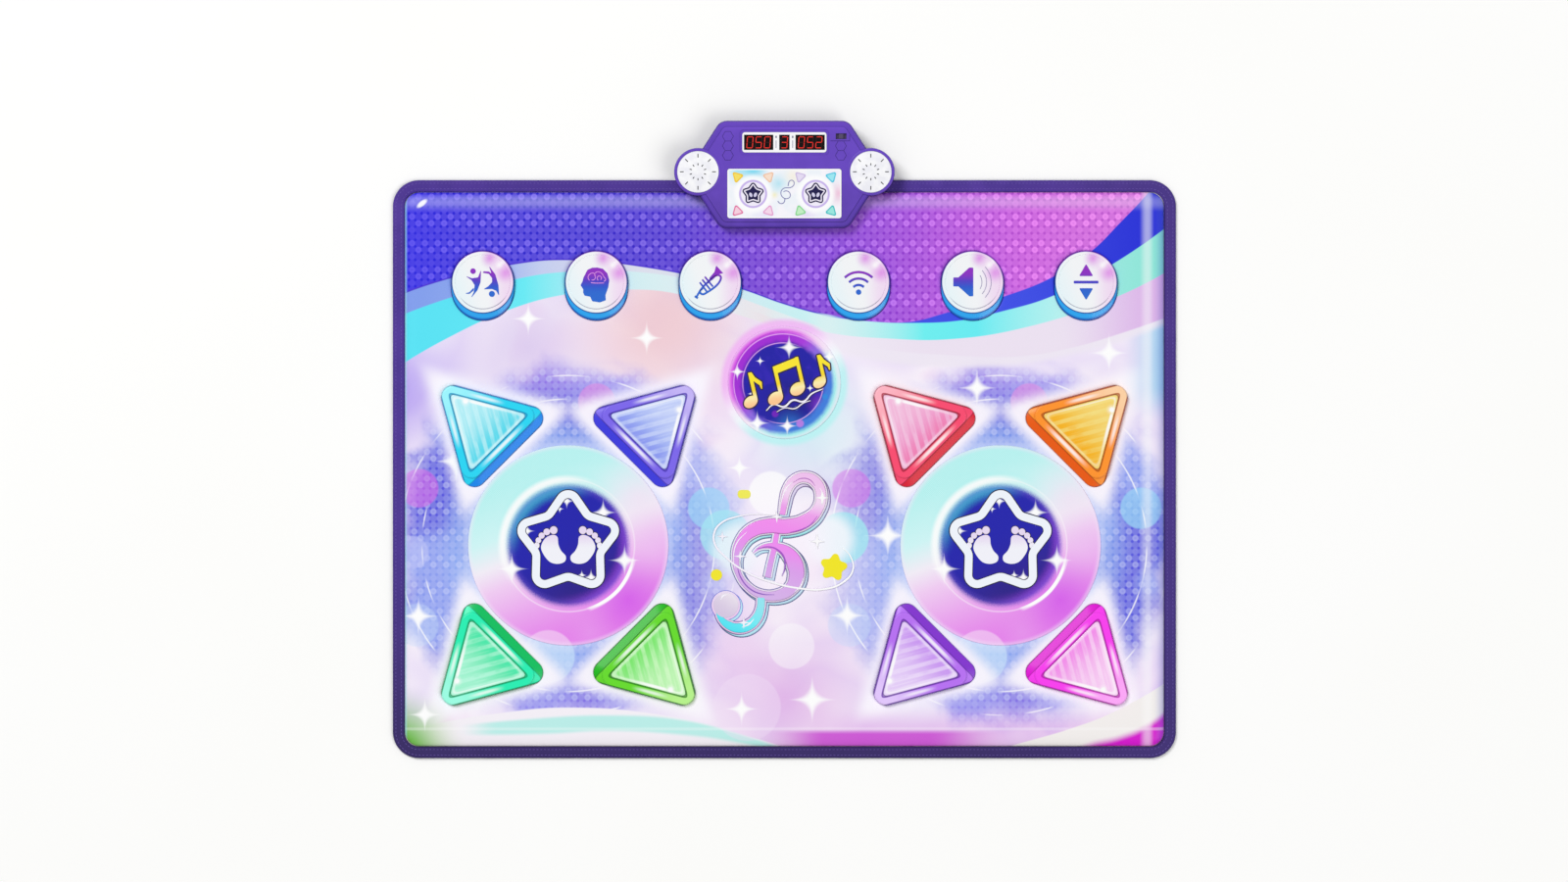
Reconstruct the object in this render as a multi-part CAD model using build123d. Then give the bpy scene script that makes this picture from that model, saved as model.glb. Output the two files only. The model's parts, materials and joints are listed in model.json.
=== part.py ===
"""Two-player dance rhythm mat: a padded floor mat with sprung step pads and keys, and a
scoring console that saddles its back edge.

Units are millimetres. The origin is the centre of the mat's underside, +X runs to the
players' right, +Y away from them towards the console, and +Z up.
"""

import os
from math import cos, radians, sin, sqrt

from build123d import *

# ---------------------------------------------------------------- mat, overall
MAT_WIDTH = 1100.0
MAT_DEPTH = 812.0
MAT_CORNER = 37.0
MAT_BACK = MAT_DEPTH / 2  # the edge that the console sits over
BORDER = 17.4  # width of the sewn edge binding seen from above
PANEL_CORNER = 33.0  # corner of the printed panel inside the binding

# ---------------------------------------------------------------- mat, layers from the floor up
BINDING_HEIGHT = 6.0
BINDING_CLOTH = 0.8
BASE_THICKNESS = 2.0
FOAM_THICKNESS = 6.0
FILM_THICKNESS = 0.4
CONTACT_THICKNESS = 0.1
SPACER_THICKNESS = 3.0
WADDING_THICKNESS = 2.8
COVER_SKIN = 1.8
COVER_HEM = 0.8
COVER_EDGE_ROUND = 7.0
INNER_INSET = 0.8  # the upper layers stop short of the cover's rounded edge
LAYER_GAP = 0.1  # between a layer and the cloth that wraps it

BASE_TOP = BASE_THICKNESS
FILM_BOTTOM = BASE_TOP + FOAM_THICKNESS
FILM_TOP = FILM_BOTTOM + FILM_THICKNESS
CONTACT_TOP = FILM_TOP + CONTACT_THICKNESS
SPACER_TOP = FILM_TOP + SPACER_THICKNESS
SKIN_BOTTOM = SPACER_TOP + WADDING_THICKNESS
COVER_TOP = SKIN_BOTTOM + COVER_SKIN
HEM_TOP = BINDING_HEIGHT - BINDING_CLOTH - LAYER_GAP
HEM_BOTTOM = HEM_TOP - COVER_HEM
EDGE_FOAM_TOP = HEM_BOTTOM - LAYER_GAP

# ---------------------------------------------------------------- pads and keys, shared
PRESS_TRAVEL = 1.5
PRESS_STOP_GAP = 0.05
PRESS_CLEARANCE = 0.5  # around a pad where it passes through the cover
FLANGE_REACH = 3.0  # the lip that keeps a pad under the cover
FLANGE_THICKNESS = 1.0
FLANGE_GAP = 0.2  # from the lip up to the underside of the cover
FLANGE_ROOM = 0.8  # from the lip sideways to the wadding
FLANGE_TOP = SKIN_BOTTOM - FLANGE_GAP
FLANGE_BOTTOM = FLANGE_TOP - FLANGE_THICKNESS
PLUNGER_RADIUS = 14.0
PLUNGER_BOTTOM = CONTACT_TOP + PRESS_TRAVEL + PRESS_STOP_GAP
SPACER_HOLE_RADIUS = 18.0
CONTACT_RADIUS = 15.0
RETURN_RING_INNER = 19.0
RETURN_RING_OUTER = 27.0

# ---------------------------------------------------------------- step pads
PLAY_CENTRE_X = 303.0  # of each player's standing disc
PLAY_CENTRE_Y = -106.6
PAD_OFFSET_X = 119.9  # pad centroid from the standing disc's centre
PAD_OFFSET_Y = 166.3
PAD_SIDE = 157.4
PAD_CORNER = 16.5
PAD_WALL = 10.4  # how far the sloping side facing the player leans out
PAD_RISE = 7.0
PAD_BAND = 1.0  # upright band under the slope
PAD_RIM_DEPTH = 3.0
PAD_RIM_ROUND = 2.6
PAD_RIM_WIDTH = 12.0
PAD_POCKET_DEPTH = 2.4

# ---------------------------------------------------------------- function keys
KEY_ROW_Y = 262.1
KEY_COLUMNS = (103.9, 263.6, 422.6)
KEY_RADIUS = 43.8
KEY_WALL = 9.6  # how far the sloping front side leans out
KEY_RISE = 6.0
KEY_BAND = 1.0
KEY_RIM_DEPTH = 2.4
KEY_RIM_ROUND = 2.0
KEY_GROOVE_INSET = 5.0
KEY_GROOVE_WIDTH = 1.0
KEY_GROOVE_DEPTH = 0.5

# ---------------------------------------------------------------- standing discs and badge
DISC_RADIUS = 140.5
DISC_THICKNESS = 1.6
DISC_EDGE_ROUND = 1.2
DISH_RADIUS = 84.0  # of the flat floor; its wall slopes out to the brow
DISH_BROW = 96.0
DISH_DEPTH = 0.8
STAR_POINT_RADIUS = 87.7  # before the points are rounded
STAR_WAIST = 0.6  # inner corner radius as a share of the point radius
STAR_BAND = 11.0
STAR_RISE = 1.6
STAR_SHIFT = 3.4  # the star sits a little behind the disc's centre
STAR_POINT_ROUND = 18.0
STAR_WAIST_ROUND = 9.0
BADGE_Y = 121.7
BADGE_RADIUS = 79.0
BADGE_THICKNESS = 1.6
BADGE_RING_WIDTH = 7.0
BADGE_DISH_DEPTH = 0.6

# ---------------------------------------------------------------- console, outline
CONSOLE_Y = MAT_BACK + 6.6
CONSOLE_HALF_DEPTH = 75.0
CONSOLE_HALF_WAIST = 138.0
CONSOLE_HALF_END = 89.5
CONSOLE_CORNER = 17.0
EAR_X = 120.9
EAR_Y = CONSOLE_Y + 3.4
EAR_RADIUS = 33.3
SHELL_WALL = 2.4
SHELL_FLOOR = 2.0

# ---------------------------------------------------------------- console, levels
SEAT_GAP = 0.3  # between the console and the mat it sits on
REAR_BOTTOM = 0.5
FEET_HEIGHT = 1.5
PARTING = COVER_TOP + SEAT_GAP + 2.2
FACE_TOP = 34.0
PLATEAU_RISE = 1.0
PLATEAU_INSET = 8.0
EAR_TOP = 35.5
FACE_CHAMFER = 3.0
FACE_UNDERSIDE = 31.6
LIP_HEIGHT = 2.0
LIP_THICKNESS = 1.2
LIP_GAP = 0.2
SEAT_FLOOR = 1.5  # floor of the step that straddles the binding
SEAT_BACK_GAP = 1.0  # from the mat's edges to the console's upright walls

PLATEAU_TOP = FACE_TOP + PLATEAU_RISE
FLOOR_TOP = REAR_BOTTOM + SHELL_FLOOR
PANEL_BACK = MAT_BACK - BORDER
SEAT_BOTTOM = BINDING_HEIGHT + SEAT_GAP
SEAT_TOP = SEAT_BOTTOM + SEAT_FLOOR
SEAT_FRONT = PANEL_BACK + SEAT_BACK_GAP
WELL_FRONT = MAT_BACK + SEAT_BACK_GAP  # where the console drops past the mat to the floor

# ---------------------------------------------------------------- console, display row
DISPLAY_Y = CONSOLE_Y + 44.6
DISPLAY_OFFSET_X = 36.0
WINDOW_WIDE = 41.0
WINDOW_NARROW = 14.5
WINDOW_DEPTH = 21.3
WINDOW_CLEARANCE = 0.3
BEZEL_WIDTH = 118.0
BEZEL_DEPTH = 28.4
BEZEL_CORNER = 4.0
BEZEL_THICKNESS = 2.5
BEZEL_PROUD = 0.1
BEZEL_SURROUND = 3.6
BEZEL_SURROUND_SINK = 0.8
BEZEL_LEDGE = 2.4
MODULE_SINK = 0.6  # display face below the bezel's face

# ---------------------------------------------------------------- console, step panel
STEP_PANEL_Y = CONSOLE_Y - 27.0
STEP_PANEL_WIDTH = 159.5
STEP_PANEL_DEPTH = 69.1
STEP_PANEL_CORNER = 3.5
STEP_PANEL_THICKNESS = 2.0
STEP_PANEL_PROUD = 0.2
STEP_PANEL_LEDGE = 5.5
POCKET_GAP = 0.25
LIGHT_GUIDE_BOTTOM = 26.5
LED_BOARD_BOTTOM = 22.0
LED_BOARD_WIDTH = 150.0
LED_BOARD_DEPTH = 58.0
LED_SIZE = 3.0
LED_HEIGHT = 1.2

# ---------------------------------------------------------------- console, boards and screws
BOARD_THICKNESS = 1.6
BOARD_BOTTOM = 21.6
BOARD_LEFT, BOARD_RIGHT = -72.0, 88.0
BOARD_FRONT, BOARD_BACK = CONSOLE_Y + 27.4, CONSOLE_Y + 59.4
BOARD_POSTS = [(x, y) for x in (-66.0, 64.0) for y in (BOARD_FRONT + 4.0, BOARD_BACK - 4.0)]
LED_POSTS_FRONT = [(-69.0, CONSOLE_Y - 51.6), (69.0, CONSOLE_Y - 51.6)]
LED_POSTS_BACK = [(-69.0, CONSOLE_Y - 12.6), (69.0, CONSOLE_Y - 12.6)]
POST_RADIUS = 3.0
SMALL_SCREW_RADIUS = 1.1
SMALL_SCREW_LENGTH = 6.0
SMALL_HEAD_RADIUS = 2.3
SMALL_HEAD_HEIGHT = 1.4
CASE_SCREW_ROWS = ((50.0, 65.4), (90.0, 17.4), (86.0, -60.6))  # half spacing, and Y from CONSOLE_Y
CASE_SCREWS = [(side * x, CONSOLE_Y + y) for x, y in CASE_SCREW_ROWS for side in (-1, 1)]
CASE_POST_RADIUS = 4.6
CASE_BOSS_RADIUS = 4.0
CASE_SCREW_RADIUS = 1.25
CASE_SCREW_LENGTH = 9.5
CASE_HEAD_RADIUS = 2.7
CASE_HEAD_HEIGHT = 1.4
SCREW_CLEARANCE = 0.35
THREAD_CLEARANCE = 0.05
FEET_RADIUS = 6.0
FEET = [(side * x, CONSOLE_Y + y) for x, y in ((75.0, 57.4), (104.0, 13.4)) for side in (-1, 1)]

# ---------------------------------------------------------------- console, anchor to the mat
TONGUE_HALF_WIDTH = 60.0
TONGUE_BOTTOM = FLOOR_TOP + LAYER_GAP
TONGUE_THICKNESS = 1.2
TONGUE_INTO_MAT = 40.0
TONGUE_INTO_CONSOLE = 13.0
CLAMP_HALF_WIDTH = 58.0
CLAMP_FRONT = MAT_BACK + 5.0
CLAMP_DEPTH = 7.5
CLAMP_HEIGHT = 4.0
CLAMP_SCREW_X = (-48.0, 0.0, 48.0)
TAIL_LEFT, TAIL_WIDTH = 39.5, 20.0
TAIL_THICKNESS = 0.4
TAIL_INTO_MAT = 12.0

# ---------------------------------------------------------------- console, batteries
CELL_RADIUS = 7.1
CELL_LENGTH = 49.5
CELL_NUB_RADIUS = 2.6
CELL_NUB_LENGTH = 1.0
CELL_COUNT = 4
CELL_PITCH = 15.0
CELL_FLOOR_GAP = 1.5
CONTACT_LEAF = 0.6
BAY_HALF_WIDTH = 34.0
BAY_FRONT, BAY_BACK = CONSOLE_Y + 10.4, CONSOLE_Y + 67.4
BAY_WALL = 2.0
BAY_CEILING = 1.6
BAY_TOP = 19.0
DOOR_GAP = 0.4
DOOR_EAR_LENGTH = 9.0
DOOR_EAR_DEPTH = 10.0
DOOR_SCREWS = [(-39.5, CONSOLE_Y + 37.4), (39.5, CONSOLE_Y + 37.4)]
DOOR_SCREW_LENGTH = 4.6

# ---------------------------------------------------------------- console, speakers
GRILLE_RADIUS = 29.0
GRILLE_GAP = 0.25
GRILLE_EDGE = 1.6
GRILLE_CROWN = 1.6
GRILLE_SEAT = 33.2
GRILLE_LEDGE = 2.6
SLOT_WIDTH = 1.3
OUTER_SLOTS, OUTER_SLOT_RADIUS, OUTER_SLOT_LENGTH = 8, 22.5, 5.6
INNER_SLOTS, INNER_SLOT_RADIUS, INNER_SLOT_LENGTH = 10, 10.5, 3.4
BASKET_FLANGE_RADIUS = 29.5
BASKET_OPENING = 24.5
BASKET_FLANGE = 1.5
BASKET_FOOT_RADIUS = 13.5
BASKET_FOOT_TOP = 23.5
BASKET_SHEET = 1.5
MAGNET_RADIUS = 12.5
MAGNET_BOTTOM = 19.2
CONE_GAP = 0.4
CONE_SHEET = 0.6
CONE_TOP = 31.4
CONE_NECK_RADIUS = 6.0
CONE_NECK_TOP = 26.4
CONE_COIL_BOTTOM = 24.6
CONE_TRAVEL = 0.5

# ---------------------------------------------------------------- console, power switch
SWITCH_X, SWITCH_Y = 79.3, CONSOLE_Y + 53.1
SWITCH_SLOT = (15.0, 8.0)
SWITCH_BUTTON = (6.4, 7.2)
SWITCH_PLATE = (21.0, 9.4)
SWITCH_BODY = (13.0, 7.0)
SWITCH_BODY_HEIGHT = 5.6
SWITCH_TRAVEL = 3.5
SWITCH_SINK = 0.6
SWITCH_GAP = 0.2

# ---------------------------------------------------------------- console, face decoration
COMB_RADIUS = 7.7
COMB_COLUMN_X = 79.0
COMB_FOOT_Y = CONSOLE_Y + 26.4
COMB_LINE = 0.7
COMB_DEPTH = 0.4


def write(name, shape):
    """Writes one sub-part's STEP file."""
    os.makedirs("parts", exist_ok=True)
    export_step(shape if isinstance(shape, Compound) else Compound([*shape.solids()]), f"parts/{name}.step")


def prism(sketch, bottom, top):
    """A flat outline made solid from one level to another."""
    return extrude(Pos(0, 0, bottom) * sketch, top - bottom)


def block(left, right, front, back, bottom, top):
    """A box given by its six faces."""
    size = (right - left, back - front, top - bottom)
    centre = ((left + right) / 2, (front + back) / 2, (bottom + top) / 2)
    return Pos(*centre) * Box(*size)


def post(x, y, radius, bottom, top):
    """An upright cylinder between two levels."""
    return Pos(x, y, (bottom + top) / 2) * Cylinder(radius, top - bottom)


def plate_outline(inset=0.0):
    """The mat's outline, drawn in from its edge."""
    corner = MAT_CORNER - min(inset, MAT_CORNER / 2)
    return RectangleRounded(MAT_WIDTH - 2 * inset, MAT_DEPTH - 2 * inset, corner)


def panel_outline(inset=0.0):
    """The outline of the printed panel inside the binding."""
    edge = BORDER + inset
    return RectangleRounded(MAT_WIDTH - 2 * edge, MAT_DEPTH - 2 * edge, PANEL_CORNER - inset)


def grown(sketch, amount):
    """An outline grown outwards, or drawn in where the amount is negative."""
    return offset(sketch, amount=amount, kind=Kind.ARC)


# ---------------------------------------------------------------- step pads
def rounded_triangle(side, corner):
    """An equilateral triangle with round corners that points along +X, centred on its centroid."""
    reach = side / sqrt(3)
    corners = [(reach * cos(radians(a)), reach * sin(radians(a))) for a in (0, 120, 240)]
    triangle = Polygon(*corners, align=None)
    return fillet(triangle.vertices(), corner)


def pad_top_outline():
    return rounded_triangle(PAD_SIDE, PAD_CORNER)


def pad_base_outline():
    """The top outline with the side facing the player moved out by the wall; the far corner is shared."""
    side = PAD_SIDE + PAD_WALL * 2 / sqrt(3)
    shift = (side - PAD_SIDE) / sqrt(3)
    return Pos(-shift, 0) * rounded_triangle(side, PAD_CORNER)


def pad_places():
    """Node name, location and turn of every step pad: each points away from its standing disc."""
    places = []
    for player, centre_x in (("left", -PLAY_CENTRE_X), ("right", PLAY_CENTRE_X)):
        for row, up in (("back", 1), ("front", -1)):
            for column, across in (("left", -1), ("right", 1)):
                turn = {(1, 1): 45, (-1, 1): 135, (-1, -1): 225, (1, -1): 315}[(across, up)]
                x = centre_x + across * PAD_OFFSET_X
                y = PLAY_CENTRE_Y + up * PAD_OFFSET_Y
                places.append((f"{player}_pad_{row}_{column}", Pos(x, y) * Rot(0, 0, turn)))
    return places


def pressed_foot(base):
    """The lip under the cover and the plunger that a pad or a key shares."""
    lip = prism(grown(base, FLANGE_REACH), FLANGE_BOTTOM, FLANGE_TOP)
    return lip + post(0, 0, PLUNGER_RADIUS, PLUNGER_BOTTOM, FLANGE_BOTTOM)


def step_pad():
    """One triangular pad pointing along +X."""
    base, top = pad_base_outline(), pad_top_outline()
    crown = COVER_TOP + PAD_RISE
    slope_foot, slope_head = COVER_TOP + PAD_BAND, crown - PAD_RIM_DEPTH
    stem = prism(base, FLANGE_TOP, slope_foot)
    slope = loft([Pos(0, 0, slope_foot) * base, Pos(0, 0, slope_head) * top], ruled=True)
    rim = prism(top, slope_head, crown)
    rim = fillet(rim.edges().group_by(Axis.Z)[-1], PAD_RIM_ROUND)
    pocket = prism(grown(top, -PAD_RIM_WIDTH), crown - PAD_POCKET_DEPTH, crown + 1)
    return pressed_foot(base) + stem + slope + rim - pocket


# ---------------------------------------------------------------- function keys
def key_base_outline():
    slot = SlotCenterToCenter(KEY_WALL, 2 * KEY_RADIUS, rotation=90)
    return Pos(0, -KEY_WALL / 2) * slot


def key_places():
    """Node name and location of the six keys, from the left."""
    names = ("dance", "memory", "instrument", "wireless", "volume", "level")
    columns = [-x for x in reversed(KEY_COLUMNS)] + list(KEY_COLUMNS)
    return [(f"{name}_key", Pos(x, KEY_ROW_Y)) for name, x in zip(names, columns, strict=True)]


def function_key():
    """One round key whose front side slopes out towards the players."""
    base = key_base_outline()
    crown = COVER_TOP + KEY_RISE
    slope_foot, slope_head = COVER_TOP + KEY_BAND, crown - KEY_RIM_DEPTH
    nearly_round = SlotCenterToCenter(KEY_WALL / 50, 2 * KEY_RADIUS, rotation=90)
    stem = prism(base, FLANGE_TOP, slope_foot)
    slope = loft([Pos(0, 0, slope_foot) * base, Pos(0, 0, slope_head) * nearly_round], ruled=True)
    rim = prism(Circle(KEY_RADIUS), slope_head, crown)
    rim = fillet(rim.edges().group_by(Axis.Z)[-1], KEY_RIM_ROUND)
    ring = Circle(KEY_RADIUS - KEY_GROOVE_INSET) - Circle(KEY_RADIUS - KEY_GROOVE_INSET - KEY_GROOVE_WIDTH)
    groove = prism(ring, crown - KEY_GROOVE_DEPTH, crown + 1)
    return pressed_foot(base) + stem + slope + rim - groove


# ---------------------------------------------------------------- what the pads and keys pass through
def press_outlines(growth):
    """The base outline of every pad and key, grown and put in its place."""
    pads = [place * grown(pad_base_outline(), growth) for _, place in pad_places()]
    keys = [place * grown(key_base_outline(), growth) for _, place in key_places()]
    return pads + keys


def press_places():
    return [place for _, place in pad_places() + key_places()]


def drilled(solid, sketches, bottom, top):
    """A layer with an opening for each outline."""
    for sketch in sketches:
        solid -= prism(sketch, bottom, top)
    return solid


# ---------------------------------------------------------------- mat layers
def tongue_space(gap=0.0):
    """The anchor tongue's own volume, grown by a gap for what surrounds it."""
    return block(
        -TONGUE_HALF_WIDTH - gap,
        TONGUE_HALF_WIDTH + gap,
        MAT_BACK - TONGUE_INTO_MAT - gap,
        MAT_BACK + TONGUE_INTO_CONSOLE + gap,
        TONGUE_BOTTOM - min(gap, LAYER_GAP),
        TONGUE_BOTTOM + TONGUE_THICKNESS + min(gap, LAYER_GAP),
    )


def non_slip_base():
    """Rubberised cloth, thinned at its edge where the binding folds under it."""
    edge = prism(plate_outline(BINDING_CLOTH + LAYER_GAP), BINDING_CLOTH + LAYER_GAP, BASE_TOP)
    return edge + prism(panel_outline(LAYER_GAP), 0, BASE_TOP)


def foam_core():
    """The main pad, pressed thin under the binding and slotted for the tongue."""
    edge = prism(plate_outline(BINDING_CLOTH + LAYER_GAP), BASE_TOP, EDGE_FOAM_TOP)
    pad = prism(panel_outline(COVER_SKIN + LAYER_GAP), BASE_TOP, FILM_BOTTOM)
    return edge + pad - tongue_space(LAYER_GAP)


def inner_outline():
    return panel_outline(COVER_SKIN + INNER_INSET)


def tail_slot(gap):
    """Where the membrane tail runs out through the back, as a box."""
    return block(
        TAIL_LEFT - gap,
        TAIL_LEFT + TAIL_WIDTH + gap,
        MAT_BACK - BORDER - TAIL_INTO_MAT,
        WELL_FRONT + SHELL_WALL,
        FILM_BOTTOM - min(gap, LAYER_GAP),
        FILM_TOP + gap,
    )


def circuit_film():
    return prism(inner_outline(), FILM_BOTTOM, FILM_TOP) - tail_slot(0.0)


def contact_rings():
    """Printed contacts under every plunger."""
    ring = Circle(CONTACT_RADIUS) - Circle(CONTACT_RADIUS / 3)
    rings = [prism(place * ring, FILM_TOP, CONTACT_TOP) for place in press_places()]
    return Compound([s for made in rings for s in made.solids()])


def spacer_foam():
    holes = [place * Circle(SPACER_HOLE_RADIUS) for place in press_places()]
    return drilled(prism(inner_outline(), FILM_TOP, SPACER_TOP), holes, FILM_TOP - 1, SPACER_TOP + 1)


def return_rings():
    """Soft rings that push each pad back up."""
    ring = Circle(RETURN_RING_OUTER) - Circle(RETURN_RING_INNER)
    rings = [prism(place * ring, SPACER_TOP, FLANGE_BOTTOM) for place in press_places()]
    return Compound([s for made in rings for s in made.solids()])


def wadding():
    holes = press_outlines(FLANGE_REACH + FLANGE_ROOM)
    sheet = prism(inner_outline(), SPACER_TOP, SKIN_BOTTOM)
    edge = sheet.edges().group_by(Axis.Z)[-1]
    reach = COVER_EDGE_ROUND - COVER_SKIN
    sheet = chamfer(edge, reach, WADDING_THICKNESS - 0.1, reference=sheet.faces().sort_by(Axis.Z)[-1])
    return drilled(sheet, holes, SPACER_TOP - 1, SKIN_BOTTOM + 1)


def cover():
    """The printed skin: a shallow tray turned over, hemmed outwards under the binding."""
    shell = prism(panel_outline(), HEM_BOTTOM, COVER_TOP)
    shell = fillet(shell.edges().group_by(Axis.Z)[-1], COVER_EDGE_ROUND)
    hollow = prism(panel_outline(COVER_SKIN), HEM_BOTTOM - 1, SKIN_BOTTOM)
    shell -= fillet(hollow.edges().group_by(Axis.Z)[-1], COVER_EDGE_ROUND - COVER_SKIN)
    hem = plate_outline(BINDING_CLOTH + LAYER_GAP) - panel_outline(COVER_SKIN)
    shell += prism(hem, HEM_BOTTOM, HEM_TOP)
    shell -= tail_slot(SCREW_CLEARANCE)
    return drilled(shell, press_outlines(PRESS_CLEARANCE), SKIN_BOTTOM - 1, COVER_TOP + 1)


def edge_binding():
    """Cloth tape folded round the edge, slotted at the back for the tongue."""
    tape = prism(plate_outline(), 0, BINDING_HEIGHT)
    tape = fillet(tape.edges().group_by(Axis.Z)[-1], BINDING_CLOTH * 1.5)
    tape -= prism(panel_outline(), -1, BINDING_HEIGHT + 1)
    fold = plate_outline(BINDING_CLOTH) - panel_outline(-1.0)
    tape -= prism(plate_outline(BINDING_CLOTH), BINDING_CLOTH, BINDING_HEIGHT - BINDING_CLOTH) & prism(
        fold, 0, BINDING_HEIGHT
    )
    fold = grown(panel_outline(), 1.0) - panel_outline()
    tape -= prism(fold, BINDING_CLOTH, BINDING_HEIGHT - BINDING_CLOTH)
    return tape - tongue_space(SCREW_CLEARANCE)


def anchor_tongue():
    row, radius = CLAMP_FRONT + CLAMP_DEPTH / 2, CASE_SCREW_RADIUS + SCREW_CLEARANCE
    holes = [post(x, row, radius, 0, PARTING) for x in CLAMP_SCREW_X]
    tongue = tongue_space()
    for hole in holes:
        tongue -= hole
    return tongue


def membrane_tail():
    """The flat printed lead from the film up to the main board, as one bent strip."""
    middle = FILM_BOTTOM + TAIL_THICKNESS / 2
    under_board = BOARD_BOTTOM - TAIL_THICKNESS
    route = [
        (MAT_BACK - BORDER - TAIL_INTO_MAT, middle),
        (WELL_FRONT + SHELL_WALL + 4, middle),
        (BOARD_FRONT - 12, under_board),
        (BOARD_FRONT + 4, under_board),
    ]
    line = FilletPolyline(*[(0, y, z) for y, z in route], radius=4)
    start = Plane(origin=(0, *route[0]), x_dir=(1, 0, 0), z_dir=(0, 1, 0))
    section = start * Rectangle(TAIL_WIDTH, TAIL_THICKNESS)
    return Pos(TAIL_LEFT + TAIL_WIDTH / 2, 0, 0) * sweep(section, path=line)


# ---------------------------------------------------------------- standing discs and badge
def star_outline(point_radius):
    """A plump five-pointed star, one point towards +Y."""
    corners = []
    for k in range(10):
        reach = point_radius if k % 2 == 0 else point_radius * STAR_WAIST
        angle = radians(90 + 36 * k)
        corners.append((reach * cos(angle), reach * sin(angle)))
    star = Polygon(*corners, align=None)
    points = [v for v in star.vertices() if (v.X**2 + v.Y**2) ** 0.5 > point_radius * 0.9]
    star = fillet(points, STAR_POINT_ROUND)
    waists = [v for v in star.vertices() if (v.X**2 + v.Y**2) ** 0.5 < point_radius * STAR_WAIST * 1.01]
    return fillet(waists, STAR_WAIST_ROUND)


def standing_disc(side):
    """A welded disc with a shallow dish and a raised star band in it."""
    crown = COVER_TOP + DISC_THICKNESS
    disc = prism(Circle(DISC_RADIUS), COVER_TOP, crown)
    disc = fillet(disc.edges().group_by(Axis.Z)[-1], DISC_EDGE_ROUND)
    dish = loft([Pos(0, 0, crown - DISH_DEPTH) * Circle(DISH_RADIUS), Pos(0, 0, crown) * Circle(DISH_BROW)])
    disc -= dish
    star = Pos(0, STAR_SHIFT) * star_outline(STAR_POINT_RADIUS)
    band = star - grown(star, -STAR_BAND)
    disc += prism(band, crown - DISH_DEPTH, crown - DISH_DEPTH + STAR_RISE)
    return Pos(side * PLAY_CENTRE_X, PLAY_CENTRE_Y, 0) * disc


def title_badge():
    crown = COVER_TOP + BADGE_THICKNESS
    badge = prism(Circle(BADGE_RADIUS), COVER_TOP, crown)
    badge = fillet(badge.edges().group_by(Axis.Z)[-1], DISC_EDGE_ROUND)
    badge -= prism(Circle(BADGE_RADIUS - BADGE_RING_WIDTH), crown - BADGE_DISH_DEPTH, crown + 1)
    return Pos(0, BADGE_Y, 0) * badge


# ---------------------------------------------------------------- console shells
def face_outline():
    """The six-sided face without the speaker ears."""
    back, front = CONSOLE_Y + CONSOLE_HALF_DEPTH, CONSOLE_Y - CONSOLE_HALF_DEPTH
    face = Polygon(
        (CONSOLE_HALF_END, back),
        (-CONSOLE_HALF_END, back),
        (-CONSOLE_HALF_WAIST, CONSOLE_Y),
        (-CONSOLE_HALF_END, front),
        (CONSOLE_HALF_END, front),
        (CONSOLE_HALF_WAIST, CONSOLE_Y),
        align=None,
    )
    return fillet(face.vertices(), CONSOLE_CORNER)


def console_outline():
    outline = face_outline()
    for side in (-1, 1):
        outline += Pos(side * EAR_X, EAR_Y) * Circle(EAR_RADIUS)
    return outline


def behind(sketch, front):
    """The part of an outline that lies behind a line across the console."""
    half = 2 * CONSOLE_HALF_WAIST
    return sketch & (Pos(0, front + half / 2) * Rectangle(2 * half, half))


def bay_block(grow, bottom, top):
    return block(
        -BAY_HALF_WIDTH - grow, BAY_HALF_WIDTH + grow, BAY_FRONT - grow, BAY_BACK + grow, bottom, top
    )


def door_plate_outline(gap):
    """The battery door and its two screw ears, drawn in by a gap on every side."""
    width, depth = 2 * (BAY_HALF_WIDTH - 1) - 2 * gap, BAY_BACK - BAY_FRONT - 2 * gap
    plate = Pos(0, (BAY_FRONT + BAY_BACK) / 2) * Rectangle(width, depth)
    across_ears = 2 * (BAY_HALF_WIDTH + DOOR_EAR_LENGTH - gap)
    return plate + Pos(0, DOOR_SCREWS[0][1]) * Rectangle(across_ears, DOOR_EAR_DEPTH - 2 * gap)


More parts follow.
